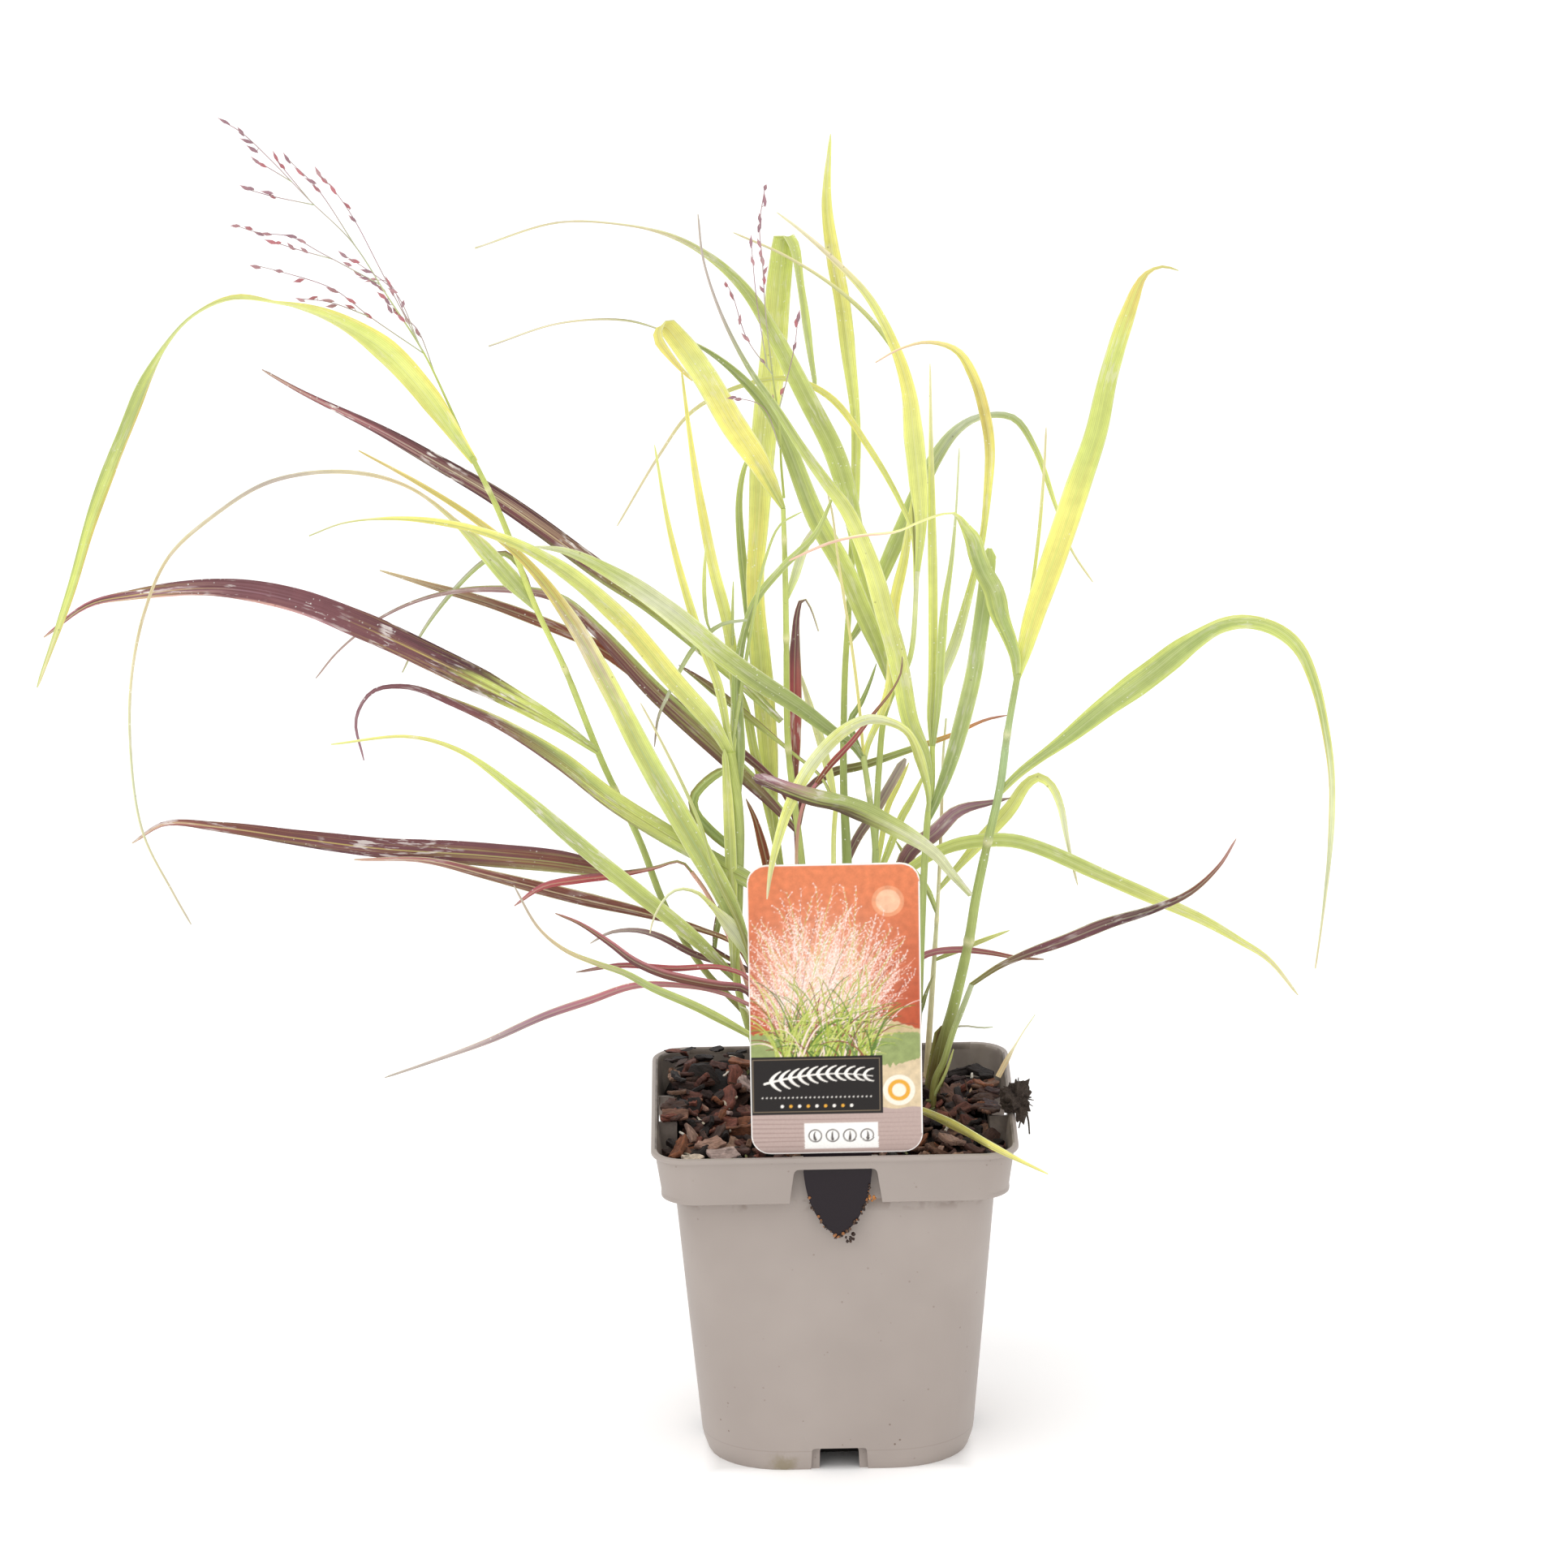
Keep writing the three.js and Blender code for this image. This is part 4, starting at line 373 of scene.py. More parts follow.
TILLERS = {
    "left_flowering_stem": (
        row([(-8, 140), (-22, 176), (-40, 205), (-59, 227), (-76, 257), (-88, 291), (-104, 328),
             (-121, 375), (-133.5, 404), (-149, 449), (-161, 476)], [28, 22, 15, 9, 2, -2, -6],
            [3.6, 3.2, 3, 2.8, 2.6, 2.4], "sheath olive green green fresh yellow_green fresh",
            knots=[316, 375, 461]),
        row([(-160, 473), (-183, 508), (-202, 529), (-225, 543), (-248, 550), (-270, 552), (-290, 542),
             (-307, 518), (-320, 490), (-336, 451), (-347, 417), (-365, 370)],
            [-6, -8, -14, -22, -32, -42], [3.4, 10.5, 12, 10.5, 9, 8.5, 8, 7.5, 6, 4, 1.2],
            "fresh lime yellow_green lime yellow_green green yellow_green yellow_green straw",
            turn=[0, 0, 10, 50, 78, 55, 12, 0, 0, 0, 0],
            edges="yellow yellow green green green|yellow lime yellow gold gold gold"),
        row([(-132.5, 402), (-147, 420), (-165, 441), (-190, 462), (-219, 470), (-254, 466),
             (-281, 450), (-302, 431), (-314, 405), (-321, 375), (-323, 342), (-319, 300), (-306, 270),
             (-298, 254)], [-2, -4, -12, -26, -34, -38],
            [2.5, 9, 8, 2.6, 1.6, 1.8, 2, 2, 2, 2, 1.9, 1.8, 1.7, 1.6, 1.5, 1.4, 1.3, 1.2, 1.1, 1, 0.9],
            "green fresh tan straw ash straw tan straw grey_green straw ash"),
        row([(-134, 405), (-139, 421), (-147, 430), (-156, 427), (-172, 412), (-187, 392), (-196, 374)],
            [-2, 5, 9, 10], [1.4, 2.8, 3, 2, 0.9], "green olive grey_green grey_green ash",
            edges="plum|green"),
    ),
    "left_leafy_stem": (
        row([(-24, 139), (-34, 180), (-44, 223), (-43, 262), (-42, 302), (-44.5, 333)],
            [9, 4, 1, -1, -5], [4, 3, 3.4, 5.6, 6, 4.2], "sheath green fresh green fresh"),
        row([(-44.5, 330), (-53, 346), (-71, 368), (-94, 397), (-124, 424), (-153, 439), (-189, 447),
             (-220, 446), (-237, 440)], [-6, -14, -24, -32, -38],
            [4, 8.5, 9.5, 9.5, 9, 7.6, 5.2, 4, 3.2, 0.9, 0.6],
            "fresh lime yellow lime yellow_green yellow yellow ash", veins="fresh green fresh",
            streaked=0.5),
        row([(-45, 222), (-62, 241), (-88, 264), (-117, 290), (-146, 317), (-171, 336), (-194, 343),
             (-230, 340)], [3, -12, -22, -30, -36], [3.5, 7.5, 8, 7.6, 5.4, 2.6, 1.6, 0.9],
            "green fresh fresh green yellow_green yellow lime", scuffed=0.5),
        row([(-45, 331), (-50, 365), (-56, 382), (-63, 406), (-71, 440), (-77, 480)], [-6, -7, -5, -3],
            [2.5, 4.4, 4.2, 3.4, 2, 0.9], "fresh lime yellow lime"),
        row([(-43, 330), (-42, 362), (-45, 394), (-51, 421), (-58, 463), (-61, 487), (-64, 516)],
            [-4, 5, 6, 6, 5], [3, 5, 5.5, 4.5, 2.5, 0.9], "fresh lime yellow yellow"),
        row([(-40, 308), (-41, 331), (-41, 369), (-38, 388), (-32, 405), (-19, 421), (-4, 436),
             (5, 455)], [-4, -3, 2, 5, 6, 6.2], [3, 6.2, 5.4, 3.4, 3.6, 3.4, 0.9],
            "green leaf_green green fresh"),
        row([(-38, 388), (-31, 408), (-27, 425), (-20, 441), (-10, 447)], [6, 3, 1, -1],
            [1.6, 1.8, 1.5, 0.9], "green fresh"),
        row([(-43, 283), (-50, 290), (-57, 297), (-62, 304), (-62.5, 311), (-56, 319), (-47, 325)],
            [-1, 3, 8, 10, 6], [3.6, 4.8, 5, 4.8, 4.6, 4.4, 3.8],
            "leaf_green mid_green leaf_green green", edges="green|olive"),
        row([(-42, 300), (-44, 285), (-48, 265), (-53, 246), (-54.5, 231)], [-2, 10, 14, 14],
            [3, 4.6, 4.6, 3.6, 1.2], "olive mid_green mid_green", edges="plum|green"),
        row([(-45.5, 226), (-45.5, 255), (-45.6, 282), (-46.4, 308), (-47.6, 334)], [-3, -6, -8],
            [2, 4.8, 5.6, 5.6, 4.6, 2.4], "green lime fresh lime fresh", free=True),
        row([(-42.8, 384), (-42.6, 400), (-42, 414.5)], [4, 4], [1, 1.4, 0.7], "green fresh",
            free=True),
        row([(-53, 391), (-54.6, 396), (-55.5, 408), (-55.2, 420), (-54.2, 432.5)], [-5, -4],
            [1, 2, 1.8, 0.7], "green lime", free=True),
        row([(-36, 396), (-48, 394), (-60, 384), (-66, 375), (-73, 361), (-78, 350), (-80, 336)],
            [-4, -12], [1.2, 2.2, 2.4, 2, 1.4, 0.7], "grey_green green grey_green plum", free=True),
    ),
    "front_leaf_shoot": (
        row([(-17, 139), (-30, 185), (-37, 232)], [5, -2, -8], [3, 2.8, 3], "rose tan leaf_green"),
        row([(-36, 229), (-48, 261), (-63, 290), (-83, 328), (-100, 364), (-117, 397), (-137, 425),
             (-160, 446), (-186, 464), (-213, 480)], [-8, -14, -17, -20],
            [4, 9.5, 11, 10.8, 10, 9, 7, 4.4, 3.3, 2.2, 0.8],
            "green fresh yellow_green yellow_green lime straw gold gold gold tan",
            veins="blue_green blue_green fresh gold", streaked=0.35, core=0.3),
        row([(-37, 233), (-43.4, 243.8), (-50, 252.5), (-56.8, 260.5), (-60.7, 264.3), (-65.5, 266.3),
             (-70.3, 266.6), (-75.2, 263.8), (-79.4, 258), (-82.3, 252.1), (-84, 245.4)],
            [-8, -15, -20, -24], [3, 6.4, 8, 6.4, 3.2, 2, 1.6, 1.4, 1.1, 0.9, 0.6],
            "green pale lime pale straw"),
        row([(-36, 230), (-42, 248), (-53, 274), (-60, 299), (-68, 319), (-80, 345), (-86, 357)],
            [-8, -20, -22, -22], [2.4, 2.4, 2, 1.4, 0.9], "olive fresh straw"),
    ),
    "ribbed_leaf_shoot": (
        row([(-8, 139), (-18, 190), (-27, 250)], [3, 0, -5], [3, 2.8, 2.8], "tan pink leaf_green"),
        row([(-26.5, 246), (-33, 266), (-49, 277), (-75, 293), (-101, 311), (-125, 331), (-149, 347),
             (-173, 359), (-194, 367), (-210, 365), (-218, 352), (-215, 332)],
            [-5, -5.5, -5.5, -5.5, -6, -8, -12], [3, 8.5, 9.5, 9.5, 8.6, 6, 3.2, 1.8, 0.8],
            "leaf_green fresh yellow_green green plum plum lilac",
            edges="green green lime lime plum plum|green green plum plum plum",
            veins="olive olive olive wine plum lilac", streaked=0.75),
    ),
    "red_leaf_shoot_left": (
        row([(-16, 139), (-33, 200), (-47, 243), (-58, 266), (-64, 275)], [13, 9.5, 5.4, 5, 4],
            [2.2, 2.2, 2.4, 2], "tan pink pink pink"),
        row([(-62, 272), (-69, 280), (-82, 277), (-100, 274), (-118, 272), (-134, 269), (-147, 260)],
            [4, 2, -3, -7, -9], [1.4, 1.4, 2.4, 4, 4.4, 3, 0.9], "olive rose red red rose",
            edges="green plum rose|red red"),
    ),
    "purple_shoot_left_front": (
        row([(-14, 139), (-24, 175), (-33, 209)], [-2, -9, -14], [2.8, 2.6, 2.6], "wine rose"),
        row([(-32, 207), (-40, 217), (-52, 219), (-66, 222), (-80, 226), (-92, 232), (-103, 241),
             (-117, 251), (-128, 256)], [-14, -14, -13, -11, -10], [2.6, 4.6, 4.6, 4, 2.6, 0.9],
            "plum wine plum rust", edges="rose rose|plum"),
        row([(-32, 207), (-38, 222), (-51, 228), (-74, 228), (-98, 230), (-119, 227)],
            [-14, -9, -6, -5], [2, 2, 2.6, 3, 2.4, 0.9], "rose red red plum"),
        row([(-32, 207), (-50, 215), (-66, 219), (-91, 220), (-113, 213), (-134, 206), (-161, 194),
             (-189, 184), (-210, 177)], [-14, -8, -3, -4, -8, -12], [2, 2.2, 3.4, 4, 3.4, 1.8, 0.9],
            "rose rose rose lilac ash ash"),
    ),
    "purple_shoot_left_back": (
        row([(-12, 140), (-26, 190), (-37, 228)], [21, 14, 10], [2.8, 2.6, 2.4], "tan rose"),
        row([(-36, 226), (-62, 242), (-88, 263), (-102, 275), (-121, 280), (-161, 285), (-207, 289),
             (-247, 295), (-283, 301), (-309, 303), (-324, 294)], [10, 8, 4, -4, -14, -20],
            [2, 2.4, 6, 11, 12, 11, 9, 7, 4, 1], "plum plum wine plum plum wine rose",
            edges="dark_plum plum wine|green green plum dark_plum wine", veins="olive green gold straw",
            streaked=0.4, scuffed=0.6, ragged=1.8),
        row([(-36, 226), (-44, 239), (-61, 247), (-89, 256), (-116, 263), (-158, 275), (-188, 283),
             (-221, 284)], [10, 9, 4, -2, -8], [2, 2.6, 4.4, 7, 6.4, 4.6, 2.6, 0.9],
            "rust wine wine rose", veins="straw", streaked=0.4),
        row([(-36, 225), (-51, 230), (-64, 235), (-80, 244), (-91, 247), (-103, 246), (-112, 241)],
            [10, 8, 5, 2], [1.8, 2.6, 3.4, 3.2, 2, 0.9], "plum plum ash"),
    ),
    "thread_leaf": (
        row([(-3, 139), (-18, 170), (-30, 190)], [-6, -14, -18], [2, 2, 2], "tan olive"),
        row([(-28, 187), (-37.6, 194), (-62, 208.3), (-84.2, 219), (-96, 226), (-109, 231), (-124, 238),
             (-136, 249), (-147, 270)], [-18, -20, -22, -24], [2, 4.6, 4, 2.8, 1.5, 0.9],
            "fresh fresh green tan ash"),
        row([(-42.5, 208.6), (-39.5, 207), (-38, 203.7)], [-19, -18], [0.8, 1.2, 0.7],
            "grey_green straw", free=True),
    ),
    "centre_flowering_stem": (
        row([(-3, 139), (-8, 220), (-12.4, 278), (-15.5, 308), (-18, 335), (-18, 387), (-18, 418),
             (-18.4, 449)], [16, 15, 13, 11, 9], [3.6, 3.4, 3, 2.8, 2.6, 2.2],
            "wine leaf_green green fresh fresh fresh", knots=[335, 387, 434]),
        row([(-18, 447), (-29, 470), (-41, 489), (-53, 511), (-65, 529), (-72, 536.5), (-74, 531),
             (-68, 521), (-59, 510)], [8, 5, 1, -3, -6, -8, -11, -16, -18],
            [2.4, 8, 11, 12, 12, 11.6, 11, 9, 5, 1.5], "fresh yellow yellow lime yellow gold"),
        row([(-17.6, 404), (-14, 415), (-9, 430), (-2, 443)], [10, 19, 25], [2, 4.4, 4.4, 1],
            "fresh pale cream"),
    ),
    "folded_leaf_shoot": (
        row([(-8, 141), (-15, 220), (-22, 272)], [34, 33, 31], [3.2, 3, 3], "sheath olive leaf_green"),
        row([(-21.5, 268), (-25.5, 300), (-27, 330), (-30, 376), (-32, 414), (-30, 440), (-27, 480),
             (-22, 520), (-18, 560), (-15, 577), (-12, 572), (-9, 550), (-5, 520), (-3, 505)],
            [31, 30, 29, 28, 28, 28, 27, 27, 25, 21, 20, 20],
            [3, 5, 9, 10.5, 8.5, 8.5, 11, 12.4, 12.2, 11.4, 9.5, 8, 5],
            "green yellow_green lime yellow_green yellow lime lime lime yellow_green fresh green"),
        row([(-21.5, 266), (-26, 293), (-31, 321), (-34, 334), (-37, 352), (-43, 372)],
            [31, 25, 23, 24, 24], [2, 2.4, 4.4, 4.2, 1], "green yellow_green fresh"),
        row([(-29, 372), (-35, 400), (-38, 430), (-38.5, 455), (-35, 471), (-28, 482), (-21, 485)],
            [28, 36, 38, 37], [2, 4, 5, 5, 3.4, 1], "olive mid_green fresh"),
    ),
    "tall_leaf_shoot": (
        row([(5, 140), (8, 220), (8.5, 278), (7.5, 316), (8, 346), (9, 372), (11, 398)],
            [25, 24, 25, 27], [3.4, 5, 5.4, 5, 3.6, 3, 2.8],
            "wine olive mid_green leaf_green green fresh"),
        row([(10.5, 392), (12.5, 420), (15, 460), (15.5, 490), (13, 518), (10, 547), (6.5, 567),
             (3.8, 592), (6, 624)], [27, 30, 29, 26, 22], [2.6, 3.4, 4.4, 4.6, 7.4, 7.4, 4.8, 0.9],
            "green yellow_green lime yellow lime"),
        row([(9.5, 382), (16, 392), (27, 417), (39, 444), (52, 472), (62, 485), (73, 491), (88, 490),
             (98, 475), (107, 448), (114, 427), (124, 411)], [27, 33, 34, 33, 28, 22],
            [2, 6, 7.6, 8, 6.6, 4.6, 3.6, 2.4, 1.2, 0.9],
            "green fresh green green grey_green green yellow_green lime straw",
            turn=[0, 0, 0, 30, 70, 50, 20, 0]),
    ),
    "inner_leafy_stem": (
        row([(14, 139), (20, 220), (22, 280), (20, 305), (16.8, 330)], [20, 18, 15, 12],
            [3.2, 3, 2.8, 2.7], "wine olive leaf_green green", knots=[313]),
        row([(17, 328), (12, 335), (3, 341), (-12, 353), (-31, 366), (-50, 381), (-71, 400), (-94, 417),
             (-118, 430), (-133, 433)], [12, 4, -5, -12, -16, -18, -19, -19],
            [2.6, 6.4, 8.6, 9.6, 10, 10, 8.4, 5.6, 1],
            "mid_green leaf_green green fresh pale fresh pale"),
        row([(17, 328), (19, 335), (25, 349), (30, 365), (32, 401), (37, 424), (40, 443), (42, 458)],
            [12, 12, 16, 25, 29], [2.4, 3.6, 5, 5.4, 5, 3.4, 0.9], "yellow_green yellow lime"),
        row([(17, 328), (15, 357), (12, 384), (7, 420), (4, 447), (2, 456)], [12, 10, 9.5, 9.5],
            [1.4, 1.4, 1.3, 0.9], "yellow straw"),
        row([(17, 327), (11, 346), (16, 355), (20, 364), (23.5, 374)], [12, 20, 21, 20],
            [2, 3.4, 2.2, 0.9], "mid_green leaf_green"),
    ),
    "broad_leaf_stem": (
        row([(12, 140), (19, 230), (21.5, 280), (24, 323), (27, 349), (32, 362), (39, 376), (43, 418)],
            [30, 28, 26, 23, 20, 18], [3.4, 3, 2.8, 2.7, 2.6, 2.2],
            "wine olive leaf_green green fresh pale", knots=[356]),
        row([(31, 360), (24, 383), (18, 398), (9, 420), (-3, 443), (-20, 488), (-34, 508), (-51, 523),
             (-70, 533), (-90, 539), (-120, 538), (-152, 528)], [20, 15, 12, 10, 4, -4, -12],
            [2.6, 8.6, 9.4, 9.4, 8, 5.4, 3.6, 2.6, 2, 1.6, 1],
            "green fresh yellow_green green green mid_green olive tan ash",
            turn=[0, 0, 0, 0, 0, 0, 55, 68, 60, 40]),
        row([(33, 363), (28, 382), (23, 396), (18, 420), (11, 456), (5, 476), (-6, 499), (-20, 528),
             (-34, 552), (-49, 567), (-68, 578), (-92, 584), (-120, 585), (-157, 574)],
            [20, 25, 17, 8, 0, -8, -14, -20], [2.6, 5, 7.4, 9.8, 9.4, 8.2, 5.6, 3.6, 2.8, 2, 1],
            "fresh yellow_green fresh fresh fresh fresh green straw tan straw",
            turn=[0, 0, 0, 0, 0, 0, 0, 40, 62, 50]),
        row([(43, 414), (45, 440), (44, 460), (42, 483), (40, 503), (34, 524), (22, 548), (7, 565),
             (-9, 580), (-19, 588)], [18, 17, 15, 12, 8], [2.2, 5, 9, 9.6, 6.8, 5, 4, 3, 2, 0.8],
            "fresh lime lime yellow lime straw cream"),
        row([(42, 405), (41, 436), (35, 452), (22, 476), (4, 501), (-15, 510), (-37, 507), (-60, 495),
             (-75, 475), (-95, 442)], [18, 22, 18, 14, 10, 6], [1.8, 2.2, 3, 3.4, 2.6, 2, 1.4, 0.9],
            "lime lime yellow lime straw straw"),
        row([(43, 416), (42, 440), (41, 480), (38, 512), (28, 531), (9, 551), (-16, 568), (-39, 579)],
            [18, 21, 20, 16, 12], [1.8, 1.8, 2, 2.4, 1.6, 0.9], "olive fresh straw"),
        row([(19.5, 250), (27, 265), (37, 274), (50, 282), (61, 286), (74, 287.5), (86, 287), (99, 283),
             (124, 271), (149, 259), (174, 247), (192, 236), (205, 227), (219, 209)],
            [28, 26, 27, 26, 20, 10, 2, -4], [2, 4.4, 6.6, 6.8, 7, 6.6, 5, 3, 1],
            "yellow_green yellow_green fresh fresh lime lime straw"),
        row([(21, 268), (27, 281), (34, 299), (39, 308), (46, 322)], [27, 30, 31, 30], [2, 3.8, 3.8, 1],
            "fresh lime"),
        row([(21, 266), (24.5, 287), (28, 305), (33, 315), (38, 326)], [27, 31, 33, 34],
            [1.8, 2.6, 2.8, 1], "yellow_green yellow"),
    ),
    "right_leafy_stem": (
        row([(33, 139), (39, 175), (41, 203), (42.5, 235), (44.5, 274), (46.5, 300), (48.5, 314),
             (49, 334)], [14, 15, 17, 18], [3.8, 3.4, 3.4, 3.4, 3.2, 2.4],
            "olive olive leaf_green green fresh"),
        row([(48.3, 310), (45, 330), (39, 345), (35, 367), (32, 382), (28, 397), (22, 420), (11, 447),
             (2, 460), (-10, 478), (-20, 495), (-34, 517), (-46, 543), (-53, 567), (-55, 588)],
            [17, 11, 7, 4, 0, -6, -12, -16], [2.6, 8, 9.4, 9, 7, 5, 3.4, 2, 1.2, 0.9],
            "green yellow_green lime lime fresh leaf_green ash ash"),
        row([(46.3, 297), (47, 309), (43, 328), (38, 340), (31, 345), (19.5, 347), (8.5, 342),
             (0, 334.5), (-9, 323), (-17, 308), (-23, 291), (-27, 275), (-29, 261)],
            [18, 12, 2, -10, -24, -42, -62, -82, -92],
            [1.4, 3, 5.2, 3.4, 4.6, 5.8, 6.4, 6.2, 5.6, 4.4, 3, 0.9],
            "green fresh lime lime pale lime pale lime lime lime straw",
            turn=[0, 0, 0, -30, -62, -80, -85, -85, -80]),
        row([(46.6, 298), (50, 306), (57.5, 326), (65, 353), (68.5, 368), (71, 384), (74.5, 409),
             (76.5, 428)], [17, 12, 9, 7], [3, 6, 7.6, 7.8, 7.6, 7.4, 6.8],
            "mid_green leaf_green green leaf_green fresh"),
        row([(48.8, 331), (48, 348), (49, 363), (50, 397), (50, 446), (50, 490), (50, 516)],
            [18, 20, 22], [2, 3.4, 4.4, 4.4, 3.4, 1.8, 0.9], "green lime lime cream"),
        row([(49, 332), (52, 356), (55, 397), (59, 424), (61, 444), (63, 476)], [17.5, 14, 12],
            [2, 3.6, 4.4, 2.4, 1, 0.9], "green fresh pale"),
        row([(49.5, 332), (50, 356), (60, 383), (68, 411), (73, 432), (76, 457), (77, 475), (75, 491),
             (70, 509), (62, 522), (49, 526), (36, 523), (25, 517)], [18.5, 24, 24, 20, 12, 6],
            [2, 5, 5.2, 3.4, 3, 4.6, 5.4, 5, 2, 0.9],
            "green pale yellow_green yellow gold yellow pink"),
        row([(41, 200), (43.5, 210), (46, 217), (48, 222)], [14.5, 9, 7], [2, 2.6, 1.6, 0.9],
            "mid_green olive"),
    ),
    "right_tall_stem": (
        row([(44, 140), (50, 180), (56.5, 203), (60, 217), (65, 239), (68.5, 260), (74.5, 288),
             (80, 312), (84, 340), (89, 368)], [37, 28, 21, 16, 12, 9],
            [7.5, 6.6, 5, 4.4, 4, 3.6, 3.3, 3], "sheath sheath green green leaf_green blue_green green",
            knots=[238, 288, 340]),
        row([(47.5, 167), (50.5, 184), (52.5, 197)], [31, 26], [9, 8.4, 7], "brown sheath brown",
            edges="sheath|olive"),
        row([(53.1, 195.8), (57.5, 196.4), (61.5, 197), (65.4, 196.8), (70.4, 195.9), (75.8, 196.3)],
            [27, 22, 20], [1, 0.9], "ash grey_green"),
        row([(80, 310), (89.6, 320), (111, 336), (131, 352), (151, 367), (170, 382), (183, 389.5),
             (196, 391), (209, 387), (219, 378), (226, 362), (231.5, 338), (234.5, 311), (233.5, 280),
             (230, 245), (227, 222)], [13, 9, 2, -10, -24, -36, -44],
            [3, 5, 9, 12, 11.4, 8, 7, 5, 4, 3.8, 3.4, 1.6, 0.9],
            "green leaf_green green leaf_green fresh green pale grey_green straw",
            turn=[0, 0, 5, 15, 60, 70, 45, 20, 10, 0, 0],
            edges="yellow_green fresh yellow_green gold lime|fresh yellow_green yellow_green lime "
            "lime pale straw", streaked=0.4),
        row([(89, 366), (97, 396), (107, 425), (117, 455), (126, 482), (132, 509), (141, 538),
             (149, 556), (157, 559.5), (164, 557.5)], [9, 10, 14, 18],
            [3, 7, 9.4, 10.8, 11.5, 11.9, 12, 11.8, 11.2, 10.5, 9.8, 9, 8.4, 7.9, 5.8, 1.6, 0.9],
            "yellow_green yellow yellow yellow yellow_green yellow_green yellow_green gold tan",
            veins="yellow_green", streaked=0.4),
        row([(89, 366), (87.8, 376), (85.4, 384), (81, 395.5), (78, 408), (73.6, 416.6), (70.5, 425.4),
             (68.9, 431.5), (65.5, 438), (60, 445), (54, 444.4), (44, 441), (33, 436.5), (17, 435),
             (3, 432), (-16, 424)], [9, 4, -2, -7, -12, -20, -26, -30],
            [3, 5.6, 7.2, 10, 9.4, 8.4, 7.8, 3.2, 3, 3.4, 3.2, 2.6, 2, 0.9],
            "green leaf_green leaf_green green leaf_green fresh cream cream pink pink pink",
            edges="yellow_green fresh green yellow_green lime cream pink|fresh yellow_green fresh "
            "yellow_green lime cream pink", turn=[0, 0, 0, 0, 0, 30, 40, 30, 20, 0, 0]),
        row([(89, 366), (94, 396), (99, 432), (102, 466), (103, 485)], [9, 15, 22],
            [1.4, 1.7, 1.6, 0.9], "yellow_green lime straw"),
    ),
    "thin_back_stem": (
        row([(42, 141), (44, 168), (46, 195), (49, 235), (51, 264), (52.5, 292), (54, 330),
             (55.5, 347)], [50, 46, 42, 39, 37], [4, 2.8, 2.4, 2, 1.7, 1.5, 0.9],
            "tan straw pale straw pale", knots=[235, 251]),
        row([(51, 263), (56, 270), (70, 286), (85, 303), (92, 314), (98, 318), (104, 314), (108, 305),
             (111, 289), (113, 278), (116, 265)], [40, 41, 38, 34, 30],
            [2, 3.6, 6.4, 7, 5.4, 4, 3.2, 1.6, 0.9], "fresh lime lime lime pale straw",
            turn=[0, 0, 0, 50, 30, 0]),
        row([(48.8, 228), (57, 233), (72, 239), (84, 243.5)], [41, 41, 40], [1.6, 2.8, 2.4, 0.9],
            "green lime"),
        row([(50.5, 252), (46, 264), (40, 273), (35, 282), (31, 289)], [39, 38, 37], [1.8, 3, 2.4, 0.9],
            "green fresh"),
    ),
    "right_side_shoot": (
        row([(46, 138), (48.4, 170.7), (52.4, 179.4), (55, 187.7), (57.5, 195.4), (61.6, 205.7),
             (66.1, 217.5)], [20, 17, 15, 13], [4, 3.4, 3, 2.6], "brown olive green grey_green"),
        row([(45.7, 159.3), (48.8, 164.9), (52.3, 171.6), (54.9, 178.3), (57.2, 185.6)], [17, 13, 11],
            [1.8, 1.4, 0.9], "green lime"),
    ),
    "red_curved_shoot": (
        row([(2, 138), (-9, 220), (-15, 278), (-13, 301), (-10, 310), (-5, 317)], [5, 5, 3, 1],
            [1.8, 1.7, 1.6, 1.6], "rust rust tan rose"),
        row([(-6, 316), (1, 325), (12, 337), (22, 350), (31, 361.5), (35, 370), (35.5, 377)],
            [1, -2, -3, -1, 0], [2, 3.2, 2.6, 1.6, 1, 0.9], "rust red rust wine"),
    ),
    "purple_shoot_centre": (
        row([(-3, 140), (-9, 220), (-14, 275), (-15, 300)], [26, 26, 24, 22], [2.8, 2.6, 2.6, 2.4],
            "wine rust plum"),
        row([(-15, 297), (-15.5, 322), (-15, 350), (-14, 383), (-12.5, 400), (-10, 406), (-7, 402),
             (-3, 390)], [22, 23, 22, 20, 18], [1.6, 3, 6.4, 7.4, 6.8, 4, 1.8, 0.9],
            "plum wine red red plum plum ash", scuffed=0.5),
        row([(-15, 293), (-28, 310), (-52, 335), (-80, 363), (-106, 393), (-123, 408), (-150, 413),
             (-178, 411), (-204, 401), (-225, 385), (-236, 372)], [22, 10, 9, 7, 6, 6, 6],
            [2.6, 7.4, 9, 9, 7, 5, 3.2, 1.8, 1.1, 0.7], "plum olive plum wine lilac lilac lilac",
            edges="green green plum|plum plum rose", streaked=0.5, scuffed=0.5, ragged=1.8),
        row([(-15, 296), (-20, 312), (-37, 330), (-57, 345), (-83, 367), (-106, 385), (-127, 395),
             (-151, 405), (-187, 417), (-205, 423)], [22, 20, 17, 15, 14, 12],
            [2, 4, 5.4, 6, 6, 5.6, 4, 0.9], "wine plum rust wine tan"),
        row([(-11.5, 246), (-25, 262), (-30, 284), (-34, 300), (-38, 310)], [25, 17, 14, 13],
            [2, 4, 4.6, 1], "rust rust"),
        row([(-10, 232), (2, 262), (13, 289), (21, 301), (28, 313), (36.5, 328)], [26, 34, 39, 41],
            [2, 2.6, 4, 5, 4.4], "plum plum ash"),
